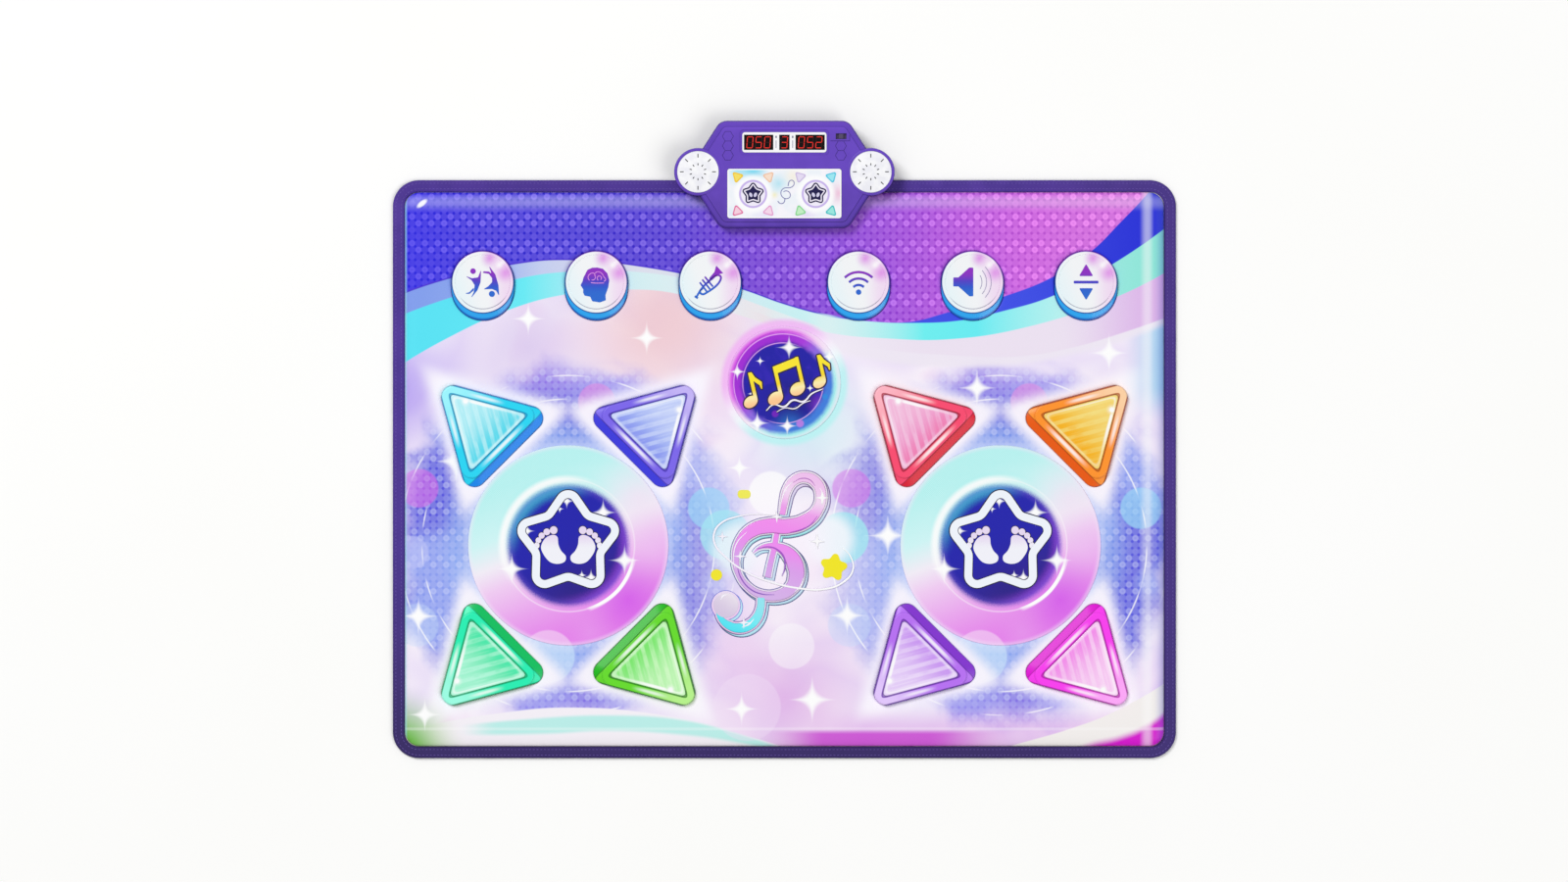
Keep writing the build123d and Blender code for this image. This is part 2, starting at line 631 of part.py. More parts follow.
def rear_shell():
    """The lower case: a plate over the mat, a step over the binding and a well behind the mat."""
    outline = console_outline()
    inside = grown(outline, -SHELL_WALL)
    shell = prism(outline, COVER_TOP + SEAT_GAP, PARTING)
    shell += prism(behind(outline, SEAT_FRONT), SEAT_BOTTOM, PARTING)
    shell += prism(behind(outline, WELL_FRONT), REAR_BOTTOM, PARTING)
    shell -= prism(behind(inside, SEAT_FRONT + SHELL_WALL), SEAT_TOP, PARTING)
    shell -= prism(behind(inside, WELL_FRONT + SHELL_WALL), FLOOR_TOP, PARTING)
    lip = grown(outline, -SHELL_WALL - LIP_GAP) - grown(outline, -SHELL_WALL - LIP_GAP - LIP_THICKNESS)
    shell += prism(lip, PARTING - SHELL_FLOOR, PARTING + LIP_HEIGHT)

    shell += bay_block(BAY_WALL, FLOOR_TOP - 1, BAY_TOP + BAY_CEILING)
    shell -= bay_block(0, FLOOR_TOP - 1, BAY_TOP)
    shell -= prism(door_plate_outline(0), REAR_BOTTOM - 1, FLOOR_TOP)
    inner, outer = BAY_HALF_WIDTH + BAY_WALL - 0.5, BAY_HALF_WIDTH + DOOR_EAR_LENGTH + 1
    for x, y in DOOR_SCREWS:
        left, right = sorted((x / abs(x) * inner, x / abs(x) * outer))
        front, back = y - DOOR_EAR_DEPTH / 2 - 1, y + DOOR_EAR_DEPTH / 2 + 1
        shell += block(left, right, front, back, FLOOR_TOP + LAYER_GAP, FLOOR_TOP + DOOR_SCREW_LENGTH + 2)
        shell -= post(x, y, CASE_SCREW_RADIUS + THREAD_CLEARANCE, FLOOR_TOP, FLOOR_TOP + DOOR_SCREW_LENGTH)

    head_top = COVER_TOP + SEAT_GAP + CASE_HEAD_HEIGHT
    for x, y in CASE_SCREWS:
        if y > WELL_FRONT:
            shell += post(x, y, CASE_POST_RADIUS, REAR_BOTTOM, PARTING)
        shell -= post(x, y, CASE_HEAD_RADIUS + SCREW_CLEARANCE, 0, head_top)
        shell -= post(x, y, CASE_SCREW_RADIUS + SCREW_CLEARANCE, 0, PARTING + 1)
    for x, y in BOARD_POSTS:
        shell += post(x, y, POST_RADIUS, FLOOR_TOP - 0.5, BOARD_BOTTOM)
        shell -= small_screw_hole(x, y, BOARD_BOTTOM)
    for x, y in LED_POSTS_FRONT + LED_POSTS_BACK:
        foot = SEAT_TOP if y > SEAT_FRONT else PARTING
        shell += post(x, y, POST_RADIUS, foot - 0.5, LED_BOARD_BOTTOM)
        shell -= small_screw_hole(x, y, LED_BOARD_BOTTOM, depth=3.0)
    for x, y in FEET:
        shell -= post(x, y, FEET_RADIUS + SCREW_CLEARANCE, 0, FEET_HEIGHT)
    for x in CLAMP_SCREW_X:
        y = CLAMP_FRONT + CLAMP_DEPTH / 2
        shell -= post(x, y, CASE_SCREW_RADIUS + SCREW_CLEARANCE, 0, FLOOR_TOP + 1)
        shell -= post(x, y, CASE_HEAD_RADIUS + SCREW_CLEARANCE, 0, REAR_BOTTOM + CASE_HEAD_HEIGHT - 0.4)
    shell -= tongue_space(SCREW_CLEARANCE)
    return shell - tail_slot(SCREW_CLEARANCE)


def small_screw_hole(x, y, top, depth=SMALL_SCREW_LENGTH):
    return post(x, y, SMALL_SCREW_RADIUS + THREAD_CLEARANCE, top - depth, top + 1)


def front_shell():
    """The upper case with its windows, speaker openings and engraved face."""
    face = face_outline()
    shell = prism(face, PARTING, FACE_TOP)
    shell = chamfer(shell.edges().group_by(Axis.Z)[-1], FACE_CHAMFER)
    plateau = prism(grown(face, -PLATEAU_INSET), FACE_TOP - 1, PLATEAU_TOP)
    shell += chamfer(plateau.edges().group_by(Axis.Z)[-1], PLATEAU_RISE * 0.8)
    for side in (-1, 1):
        ear = prism(Pos(side * EAR_X, EAR_Y) * Circle(EAR_RADIUS), PARTING, EAR_TOP)
        shell += fillet(ear.edges().group_by(Axis.Z)[-1], 1.5)
    shell -= prism(grown(console_outline(), -SHELL_WALL), PARTING, FACE_UNDERSIDE)

    for side in (-1, 1):
        shell -= post(side * EAR_X, EAR_Y, GRILLE_RADIUS + GRILLE_GAP, GRILLE_SEAT, EAR_TOP + 1)
        shell -= post(side * EAR_X, EAR_Y, GRILLE_RADIUS - GRILLE_LEDGE, FACE_UNDERSIDE - 1, EAR_TOP)

    surround = Pos(0, DISPLAY_Y) * RectangleRounded(
        BEZEL_WIDTH + 2 * BEZEL_SURROUND, BEZEL_DEPTH + 2 * BEZEL_SURROUND, BEZEL_CORNER + BEZEL_SURROUND / 2
    )
    shell -= prism(surround, PLATEAU_TOP - BEZEL_SURROUND_SINK, PLATEAU_TOP + 1)
    shell -= prism(bezel_outline(POCKET_GAP), bezel_bottom(), PLATEAU_TOP + 1)
    through = Rectangle(BEZEL_WIDTH - 2 * BEZEL_LEDGE, BEZEL_DEPTH - 2 * BEZEL_LEDGE)
    shell -= prism(Pos(0, DISPLAY_Y) * through, FACE_UNDERSIDE - 1, PLATEAU_TOP)

    shell -= prism(step_panel_outline(POCKET_GAP), step_panel_bottom(), PLATEAU_TOP + 1)
    shell -= prism(step_panel_outline(-STEP_PANEL_LEDGE), FACE_UNDERSIDE - 1, PLATEAU_TOP)
    shell -= prism(Pos(SWITCH_X, SWITCH_Y) * Rectangle(*SWITCH_SLOT), FACE_UNDERSIDE - 1, PLATEAU_TOP + 1)

    for x, y in CASE_SCREWS:
        shell += post(x, y, CASE_BOSS_RADIUS, PARTING + LIP_GAP, FACE_UNDERSIDE + 0.5)
        shell -= post(x, y, CASE_SCREW_RADIUS + THREAD_CLEARANCE, PARTING, PARTING + CASE_SCREW_LENGTH)
    return shell - face_engraving()


def comb_cell(x, y):
    """One engraved honeycomb cell, as a flat ring."""
    outer = RegularPolygon(COMB_RADIUS + COMB_LINE / 2, 6)
    inner = RegularPolygon(COMB_RADIUS - COMB_LINE / 2, 6)
    return Pos(x, y) * (outer - inner)


def face_engraving():
    """Honeycomb cells beside the display row, and the line under the power switch."""
    step = COMB_RADIUS * sqrt(3)
    cut = []
    for side, rows in ((-1, 3), (1, 2)):
        cut += [comb_cell(side * COMB_COLUMN_X, COMB_FOOT_Y + step * row) for row in range(rows)]
    tray_front = SWITCH_Y - SWITCH_SLOT[1] / 2 - 2.5
    tray_left = SWITCH_X - SWITCH_SLOT[0]
    tray_right = SWITCH_X + SWITCH_SLOT[0] - 3
    cut.append(Pos((tray_left + tray_right) / 2, tray_front) * Rectangle(tray_right - tray_left, COMB_LINE))
    cut.append(Pos(tray_right, tray_front + 4) * Rectangle(COMB_LINE, 8 + COMB_LINE))
    solids = [s for sketch in cut for s in prism(sketch, PLATEAU_TOP - COMB_DEPTH, PLATEAU_TOP + 1).solids()]
    return Compound(solids)


def rubber_feet():
    return Compound([post(x, y, FEET_RADIUS, 0, FEET_HEIGHT).solid() for x, y in FEET])


# ---------------------------------------------------------------- screws
def screw(x, y, seat, head_radius, head_height, radius, length, head_down=True):
    """A screw whose head rests on a level; head_down drives it upwards from below."""
    if head_down:
        return post(x, y, head_radius, seat - head_height, seat) + post(x, y, radius, seat, seat + length)
    return post(x, y, head_radius, seat, seat + head_height) + post(x, y, radius, seat - length, seat)


def case_screws():
    seat = COVER_TOP + SEAT_GAP + CASE_HEAD_HEIGHT
    length = PARTING - seat + CASE_SCREW_LENGTH - 0.5
    sizes = (seat, CASE_HEAD_RADIUS, CASE_HEAD_HEIGHT, CASE_SCREW_RADIUS, length)
    made = [screw(x, y, *sizes) for x, y in CASE_SCREWS]
    return Compound([s.solid() for s in made])


def board_screws():
    """The screws of both boards, driven down into the posts."""
    made = []
    for posts, top, length in (
        (BOARD_POSTS, BOARD_BOTTOM + BOARD_THICKNESS, SMALL_SCREW_LENGTH),
        (LED_POSTS_FRONT + LED_POSTS_BACK, LED_BOARD_BOTTOM + BOARD_THICKNESS, 4.0),
    ):
        for x, y in posts:
            sizes = (top, SMALL_HEAD_RADIUS, SMALL_HEAD_HEIGHT, SMALL_SCREW_RADIUS, length)
            made.append(screw(x, y, *sizes, head_down=False))
    return Compound([s.solid() for s in made])


def clamp_bar():
    bottom = TONGUE_BOTTOM + TONGUE_THICKNESS
    bar = block(
        -CLAMP_HALF_WIDTH, CLAMP_HALF_WIDTH, CLAMP_FRONT, CLAMP_FRONT + CLAMP_DEPTH, bottom, bottom + CLAMP_HEIGHT
    )
    for x in CLAMP_SCREW_X:
        row, radius = CLAMP_FRONT + CLAMP_DEPTH / 2, CASE_SCREW_RADIUS + THREAD_CLEARANCE
        bar -= post(x, row, radius, bottom - 1, bottom + CLAMP_HEIGHT + 1)
    return bar


def clamp_screws():
    seat = REAR_BOTTOM + CASE_HEAD_HEIGHT - 0.4
    length = TONGUE_BOTTOM + TONGUE_THICKNESS + CLAMP_HEIGHT - seat
    y = CLAMP_FRONT + CLAMP_DEPTH / 2
    sizes = (seat, CASE_HEAD_RADIUS, CASE_HEAD_HEIGHT - 0.5, CASE_SCREW_RADIUS, length)
    made = [screw(x, y, *sizes) for x in CLAMP_SCREW_X]
    return Compound([s.solid() for s in made])


# ---------------------------------------------------------------- display row
def bezel_outline(gap=0.0):
    outline = RectangleRounded(BEZEL_WIDTH + 2 * gap, BEZEL_DEPTH + 2 * gap, BEZEL_CORNER + gap)
    return Pos(0, DISPLAY_Y) * outline


def bezel_bottom():
    return PLATEAU_TOP + BEZEL_PROUD - BEZEL_THICKNESS


def score_windows():
    """Centre and width of the three windows."""
    return [(-DISPLAY_OFFSET_X, WINDOW_WIDE), (0.0, WINDOW_NARROW), (DISPLAY_OFFSET_X, WINDOW_WIDE)]


def score_bezel():
    top = PLATEAU_TOP + BEZEL_PROUD
    frame = prism(bezel_outline(), bezel_bottom(), top)
    frame = fillet(frame.edges().group_by(Axis.Z)[-1], 0.6)
    for x, width in score_windows():
        frame -= prism(Pos(x, DISPLAY_Y) * Rectangle(width, WINDOW_DEPTH), bezel_bottom() - 1, top + 1)
    return frame


def display_module(x, width):
    """A segment display that stands on the main board and looks out of its window."""
    half_width, half_depth = width / 2 - WINDOW_CLEARANCE, WINDOW_DEPTH / 2 - WINDOW_CLEARANCE
    top = PLATEAU_TOP + BEZEL_PROUD - MODULE_SINK
    front, back = DISPLAY_Y - half_depth, DISPLAY_Y + half_depth
    return block(x - half_width, x + half_width, front, back, BOARD_BOTTOM + BOARD_THICKNESS, top)


def main_board():
    top = BOARD_BOTTOM + BOARD_THICKNESS
    board = block(BOARD_LEFT, BOARD_RIGHT, BOARD_FRONT, BOARD_BACK, BOARD_BOTTOM, top)
    for x, y in BOARD_POSTS:
        board -= post(x, y, SMALL_SCREW_RADIUS + SCREW_CLEARANCE, BOARD_BOTTOM - 1, top + 1)
    return board


def board_components():
    """Chips, capacitors, the tail's socket and the battery lead's header on the main board."""
    under, over = BOARD_BOTTOM, BOARD_BOTTOM + BOARD_THICKNESS
    front, socket_front = BOARD_FRONT, BOARD_FRONT + 4
    pieces = [
        block(TAIL_LEFT - 1, TAIL_LEFT + TAIL_WIDTH + 1, socket_front, socket_front + 5, under - 2.2, under),
        block(-57, -45, front + 11, front + 23, under - 1.4, under),
        block(-45, -38.5, front + 1, front + 3.5, under - 1.2, under),
        block(70.5, 84.5, front + 4, front + 15, over, over + 1.2),
        post(-62, front + 16, 2.5, over, over + 6.0),
        post(68, front + 2.6, 1.8, over, over + 4.5),
        block(-69.5, -66.5, front + 12, front + 20, over, over + 1.0),
    ]
    return Compound([p.solid() for p in pieces])


# ---------------------------------------------------------------- step panel
def step_panel_outline(gap=0.0):
    return Pos(0, STEP_PANEL_Y) * RectangleRounded(
        STEP_PANEL_WIDTH + 2 * gap, STEP_PANEL_DEPTH + 2 * gap, max(STEP_PANEL_CORNER + gap, 1.0)
    )


def step_panel_bottom():
    return PLATEAU_TOP + STEP_PANEL_PROUD - STEP_PANEL_THICKNESS


def step_panel():
    panel = prism(step_panel_outline(), step_panel_bottom(), PLATEAU_TOP + STEP_PANEL_PROUD)
    return fillet(panel.edges().group_by(Axis.Z)[-1], 0.5)


def light_guide():
    """A clear block under the step panel that spreads the lamps' light."""
    return prism(step_panel_outline(-STEP_PANEL_LEDGE - POCKET_GAP), LIGHT_GUIDE_BOTTOM, step_panel_bottom())


def led_board():
    half = LED_BOARD_WIDTH / 2
    front, back = STEP_PANEL_Y - LED_BOARD_DEPTH / 2, STEP_PANEL_Y + LED_BOARD_DEPTH / 2
    board = block(-half, half, front, back, LED_BOARD_BOTTOM, LED_BOARD_BOTTOM + BOARD_THICKNESS)
    for x, y in LED_POSTS_FRONT + LED_POSTS_BACK:
        board -= post(x, y, SMALL_SCREW_RADIUS + SCREW_CLEARANCE, LED_BOARD_BOTTOM - 1, LED_BOARD_BOTTOM + 3)
    return board


def led_chips():
    """One lamp under each pad of the printed map, and one under each standing disc."""
    top = LED_BOARD_BOTTOM + BOARD_THICKNESS
    half = LED_SIZE / 2
    spots = []
    for centre in (-42.0, 42.0):
        spots.append((centre, 0.0))
        spots += [(centre + dx, dy) for dx in (-20.0, 20.0) for dy in (-18.0, 18.0)]
    chips = [
        block(x - half, x + half, STEP_PANEL_Y + y - half, STEP_PANEL_Y + y + half, top, top + LED_HEIGHT)
        for x, y in spots
    ]
    return Compound([c.solid() for c in chips])


# ---------------------------------------------------------------- batteries
def cell_places():
    first = -(CELL_COUNT - 1) / 2 * CELL_PITCH
    return [(first + k * CELL_PITCH, 1 if k % 2 == 0 else -1) for k in range(CELL_COUNT)]


def cell_level():
    return FLOOR_TOP + CELL_FLOOR_GAP + CELL_RADIUS


def battery_cells():
    """Round cells lying side by side, turned head to tail."""
    middle = (BAY_FRONT + BAY_BACK) / 2
    cells = []
    for x, way in cell_places():
        lie = Pos(x, middle, cell_level()) * Rot(-90 * way, 0, 0)
        cell = Cylinder(CELL_RADIUS, CELL_LENGTH) + Pos(0, 0, CELL_LENGTH / 2 + CELL_NUB_LENGTH / 2) * Cylinder(
            CELL_NUB_RADIUS, CELL_NUB_LENGTH
        )
        cells.append((lie * cell).solid())
    return Compound(cells)


def battery_contacts():
    """A coil-backed leaf at each cell's flat end and a plain leaf at its nub."""
    middle = (BAY_FRONT + BAY_BACK) / 2
    half = CELL_RADIUS - 1.6
    pieces = []
    for x, way in cell_places():
        for end, wall in ((-1, BAY_FRONT), (1, BAY_BACK)):
            inner = wall - end * CONTACT_LEAF
            at_nub = end == way
            reach = CELL_LENGTH / 2 + (CELL_NUB_LENGTH if at_nub else 0)
            face = middle + end * reach
            leaf = block(
                x - half, x + half, min(wall, inner), max(wall, inner), cell_level() - half, cell_level() + half
            )
            span = abs(inner - face)
            radius = CELL_NUB_RADIUS if at_nub else CELL_RADIUS - 2.6
            bump = Pos(x, (inner + face) / 2, cell_level()) * Rot(90, 0, 0) * Cylinder(radius, span)
            pieces.append((leaf + bump).solid())
    return Compound(pieces)


def battery_door():
    """A flat door with a screw ear on each side."""
    door = prism(door_plate_outline(DOOR_GAP), REAR_BOTTOM, FLOOR_TOP)
    for x, y in DOOR_SCREWS:
        door -= post(x, y, CASE_SCREW_RADIUS + SCREW_CLEARANCE, 0, FLOOR_TOP + 1)
        door -= post(x, y, CASE_HEAD_RADIUS + SCREW_CLEARANCE, 0, door_screw_seat())
    return door


def door_screw_seat():
    return REAR_BOTTOM + 1.1


def battery_door_screws():
    made = [
        screw(x, y, door_screw_seat(), CASE_HEAD_RADIUS, 1.0, CASE_SCREW_RADIUS, DOOR_SCREW_LENGTH)
        for x, y in DOOR_SCREWS
    ]
    return Compound([s.solid() for s in made])


# ---------------------------------------------------------------- speakers
def turned(profile, side):
    """A profile in the XZ plane spun round a speaker's axis."""
    spun = revolve(Plane.XZ * Polygon(*profile, align=None), axis=Axis.Z)
    return Pos(side * EAR_X, EAR_Y, 0) * spun


def speaker_grille(side):
    """A crowned disc pierced by two rings of short slots."""
    rim = GRILLE_SEAT + GRILLE_EDGE
    ball = (GRILLE_RADIUS**2 + GRILLE_CROWN**2) / (2 * GRILLE_CROWN)
    blank = post(0, 0, GRILLE_RADIUS, GRILLE_SEAT, rim + GRILLE_CROWN)
    disc = blank & (Pos(0, 0, rim + GRILLE_CROWN - ball) * Sphere(ball))
    slots = []
    for count, reach, length in (
        (OUTER_SLOTS, OUTER_SLOT_RADIUS, OUTER_SLOT_LENGTH),
        (INNER_SLOTS, INNER_SLOT_RADIUS, INNER_SLOT_LENGTH),
    ):
        for k in range(count):
            slot = Rot(0, 0, 90 + 360 / count * k) * Pos(reach, 0) * SlotOverall(length, SLOT_WIDTH)
            slots += prism(slot, GRILLE_SEAT - 1, rim + GRILLE_CROWN + 1).solids()
    return Pos(side * EAR_X, EAR_Y, 0) * (disc - Compound(slots))


def speaker_basket(side):
    """The pressed frame: a flange under the case, a cone of sheet and a foot for the magnet."""
    top, flange = FACE_UNDERSIDE, FACE_UNDERSIDE - BASKET_FLANGE
    foot = BASKET_FOOT_TOP
    profile = [
        (BASKET_OPENING, top),
        (BASKET_FLANGE_RADIUS, top),
        (BASKET_FLANGE_RADIUS, flange),
        (BASKET_OPENING + BASKET_SHEET, flange),
        (BASKET_FOOT_RADIUS, foot - BASKET_SHEET),
        (CONE_NECK_RADIUS + 1.5, foot - BASKET_SHEET),
        (CONE_NECK_RADIUS + 1.5, foot),
        (BASKET_FOOT_RADIUS - BASKET_SHEET, foot),
        (BASKET_OPENING, flange),
    ]
    basket = turned(profile, side)
    window = Pos(side * EAR_X, EAR_Y, 0)
    for k in range(4):
        basket -= window * Rot(0, 0, 45 + 90 * k) * block(15, 22, -5, 5, foot + 0.8, flange - 1)
    return basket


def speaker_magnet(side):
    top = BASKET_FOOT_TOP - BASKET_SHEET
    return post(side * EAR_X, EAR_Y, MAGNET_RADIUS, MAGNET_BOTTOM, top)


def speaker_cone(side):
    """The paper cone, its dust cap and the voice-coil former, as one thin turned shell."""
    rim = BASKET_OPENING - CONE_GAP
    neck, sheet = CONE_NECK_RADIUS, CONE_SHEET
    profile = [
        (rim - 2.5, CONE_TOP),
        (rim, CONE_TOP),
        (rim, CONE_TOP - sheet),
        (rim - 2.2, CONE_TOP - sheet),
        (neck, CONE_NECK_TOP - sheet),
        (neck, CONE_COIL_BOTTOM),
        (neck - sheet, CONE_COIL_BOTTOM),
        (neck - sheet, CONE_NECK_TOP),
        (0, CONE_NECK_TOP + 1.2),
        (0, CONE_NECK_TOP + 1.2 + sheet),
        (neck, CONE_NECK_TOP + 0.3),
    ]
    return turned(profile, side)


# ---------------------------------------------------------------- power switch
def switch_block(size, bottom, top):
    half_x, half_y = size[0] / 2, size[1] / 2
    return block(SWITCH_X - half_x, SWITCH_X + half_x, SWITCH_Y - half_y, SWITCH_Y + half_y, bottom, top)


def power_switch_body():
    foot = BOARD_BOTTOM + BOARD_THICKNESS
    return switch_block(SWITCH_BODY, foot, foot + SWITCH_BODY_HEIGHT)


def power_switch_knob():
    """A thumb button on a sliding plate that hides the slot, with a stem into the switch."""
    body_top = BOARD_BOTTOM + BOARD_THICKNESS + SWITCH_BODY_HEIGHT
    plate_top = FACE_UNDERSIDE - SWITCH_GAP
    plate_bottom = plate_top - 1.2
    knob = switch_block(SWITCH_PLATE, plate_bottom, plate_top)
    button = switch_block(SWITCH_BUTTON, plate_bottom, PLATEAU_TOP - SWITCH_SINK)
    knob += fillet(button.edges().group_by(Axis.Z)[-1], 0.5)
    return knob + switch_block((3.0, 3.0), body_top + SWITCH_GAP, plate_bottom)


def main():
    """Builds every sub-part and writes it."""
    write("non_slip_base", non_slip_base())
    write("foam_core", foam_core())
    write("anchor_tongue", anchor_tongue())
    write("circuit_film", circuit_film())
    write("contact_rings", contact_rings())
    write("spacer_foam", spacer_foam())
    write("return_rings", return_rings())
    write("wadding", wadding())
    write("cover", cover())
    write("edge_binding", edge_binding())
    write("membrane_tail", membrane_tail())

    pad, key = step_pad(), function_key()
    for name, place in pad_places():
        write(name, place * pad)
    for name, place in key_places():
        write(name, place * key)
    write("title_badge", title_badge())

    write("rear_shell", rear_shell())
    write("front_shell", front_shell())
    write("rubber_feet", rubber_feet())
    write("case_screws", case_screws())
    write("clamp_bar", clamp_bar())
    write("clamp_screws", clamp_screws())
    write("score_bezel", score_bezel())
    for name, (x, width) in zip(("left_score", "round", "right_score"), score_windows(), strict=True):
        write(f"{name}_display", display_module(x, width))
    write("main_board", main_board())
    write("board_components", board_components())
    write("board_screws", board_screws())
    write("step_panel", step_panel())
    write("light_guide", light_guide())
    write("led_board", led_board())
    write("led_chips", led_chips())
    write("battery_cells", battery_cells())
    write("battery_contacts", battery_contacts())
    write("battery_door", battery_door())
    write("battery_door_screws", battery_door_screws())
    write("power_switch_body", power_switch_body())
    write("power_switch_knob", power_switch_knob())
    for label, side in (("left", -1), ("right", 1)):
        write(f"{label}_standing_disc", standing_disc(side))
        write(f"{label}_speaker_grille", speaker_grille(side))
        write(f"{label}_speaker_basket", speaker_basket(side))
        write(f"{label}_speaker_cone", speaker_cone(side))
        write(f"{label}_speaker_magnet", speaker_magnet(side))


if __name__ == "__main__":
    main()
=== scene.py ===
"""Two-player dance mat with a scoring console, dressed for rendering.

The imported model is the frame. Soft layers that show, such as the padded cover and the edge
binding, are rebuilt here as soft pieces. Hard parts keep their own meshes and get finishes, and
prints, icons, stitches and studs are added on them. Sizes in the classes are in millimetres;
meshes are in metres, in the frame of the model.
"""

from __future__ import annotations

import json
import logging
import math
import sys
from dataclasses import dataclass
from enum import Enum
from typing import Sequence, Union

import bmesh
import bpy
import numpy as np
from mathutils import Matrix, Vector
from mathutils.geometry import delaunay_2d_cdt

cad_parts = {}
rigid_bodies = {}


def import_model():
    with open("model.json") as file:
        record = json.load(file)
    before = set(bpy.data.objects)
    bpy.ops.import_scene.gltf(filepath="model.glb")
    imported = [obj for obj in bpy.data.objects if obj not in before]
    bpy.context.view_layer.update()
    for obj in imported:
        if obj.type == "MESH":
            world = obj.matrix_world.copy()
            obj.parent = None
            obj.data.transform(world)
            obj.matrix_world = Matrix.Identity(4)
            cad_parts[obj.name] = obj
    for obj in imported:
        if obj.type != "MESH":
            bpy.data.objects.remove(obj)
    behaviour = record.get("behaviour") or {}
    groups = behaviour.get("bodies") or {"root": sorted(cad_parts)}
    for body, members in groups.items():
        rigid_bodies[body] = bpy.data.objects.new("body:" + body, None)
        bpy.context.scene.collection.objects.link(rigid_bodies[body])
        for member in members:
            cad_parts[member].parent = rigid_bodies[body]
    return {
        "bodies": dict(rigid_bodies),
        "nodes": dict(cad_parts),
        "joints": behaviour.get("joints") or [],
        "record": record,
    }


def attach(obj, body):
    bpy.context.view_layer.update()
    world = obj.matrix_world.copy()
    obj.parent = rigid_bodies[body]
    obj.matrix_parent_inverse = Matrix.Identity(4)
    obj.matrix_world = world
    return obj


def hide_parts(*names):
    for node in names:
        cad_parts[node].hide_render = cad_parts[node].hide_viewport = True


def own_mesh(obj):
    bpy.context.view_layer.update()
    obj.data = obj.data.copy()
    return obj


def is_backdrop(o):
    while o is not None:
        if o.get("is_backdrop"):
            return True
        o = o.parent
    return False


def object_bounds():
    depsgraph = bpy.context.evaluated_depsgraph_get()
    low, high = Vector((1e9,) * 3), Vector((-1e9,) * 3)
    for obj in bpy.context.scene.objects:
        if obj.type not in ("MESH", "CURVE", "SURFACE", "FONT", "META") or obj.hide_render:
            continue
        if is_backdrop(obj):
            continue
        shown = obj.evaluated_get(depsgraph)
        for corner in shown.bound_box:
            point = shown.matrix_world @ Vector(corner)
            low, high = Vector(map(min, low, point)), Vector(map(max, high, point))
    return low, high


LOG = logging.getLogger("dance_mat")
MM = 0.001

Point = tuple[float, float]
Colour = tuple[float, float, float, float]
Stop = tuple[float, str]
Spot = tuple[Point, float, float, str, float]
Stroke = Sequence[tuple[float, float, float]]
Piece = bpy.types.Object
Finish = bpy.types.Material
Socket = bpy.types.NodeSocket
Node = bpy.types.Node


# ---------------------------------------------------------------- colour
def tint(code: str) -> Colour:
    """Turns a hex colour into the linear one that a socket takes.

    Args:
        code: six hex digits, with or without a leading hash.

    Returns:
        Red, green, blue and an alpha of one.
    """
    digits = code.lstrip("#")
    channels = [int(digits[k : k + 2], 16) / 255 for k in (0, 2, 4)]
    linear = [c / 12.92 if c <= 0.04045 else ((c + 0.055) / 1.055) ** 2.4 for c in channels]
    return (linear[0], linear[1], linear[2], 1)


# ---------------------------------------------------------------- node arithmetic
class Wire:
    """A number carried by a node socket, with arithmetic that adds nodes to its sheet."""

    def __init__(self, sheet: "Sheet", socket: Socket) -> None:
        """Holds a sheet and one of its output sockets."""
        self.sheet = sheet
        self.socket = socket

    def __add__(self, other: "Number") -> "Wire":
        """Adds."""
        return self.sheet.math("ADD", self, other)

    __radd__ = __add__

    def __sub__(self, other: "Number") -> "Wire":
        """Subtracts another."""
        return self.sheet.math("SUBTRACT", self, other)

    def __rsub__(self, other: "Number") -> "Wire":
        """Is subtracted from another."""
        return self.sheet.math("SUBTRACT", other, self)

    def __mul__(self, other: "Number") -> "Wire":
        """Multiplies."""
        return self.sheet.math("MULTIPLY", self, other)

    __rmul__ = __mul__

    def size(self) -> "Wire":
        """The number without its sign."""
        return self.sheet.math("ABSOLUTE", self)

    def wrap(self, period: float) -> "Wire":
        """The number folded into one period, from zero."""
        return self.sheet.math("FLOORED_MODULO", self, period)

    def least(self, other: "Number") -> "Wire":
        """The smaller of two."""
        return self.sheet.math("MINIMUM", self, other)

    def most(self, other: "Number") -> "Wire":
        """The larger of two."""
        return self.sheet.math("MAXIMUM", self, other)

    def over(self, level: "Number") -> "Wire":
        """One above a level and zero below it."""
        return self.sheet.math("GREATER_THAN", self, level)

    def fade(self, start: float, end: float) -> "Wire":
        """Runs smoothly from zero at start to one at end, whichever way round they are.

        Args:
            start: the value that gives zero.
            end: the value that gives one.

        Returns:
            The faded number.
        """
        low, high = min(start, end), max(start, end)
        node = self.sheet.node("ShaderNodeMapRange", interpolation_type="SMOOTHSTEP")
        self.sheet.plug(node.inputs["Value"], self)
        node.inputs["From Min"].default_value = low
        node.inputs["From Max"].default_value = high
        node.inputs["To Min"].default_value = 0 if start <= end else 1
        node.inputs["To Max"].default_value = 1 if start <= end else 0
        return Wire(self.sheet, node.outputs["Result"])


Number = Union[float, Wire]
Shade = Union[str, Wire]


@dataclass(frozen=True)
class Coat:
    """The settings of a surface that are the same all over it."""

    roughness: float = 0.5
    metallic: float = 0.0
    coat: float = 0.0
    coat_roughness: float = 0.1
    sheen: float = 0.0
    specular: float = 0.5
    glow: float = 0.0
    clearness: float = 0.0


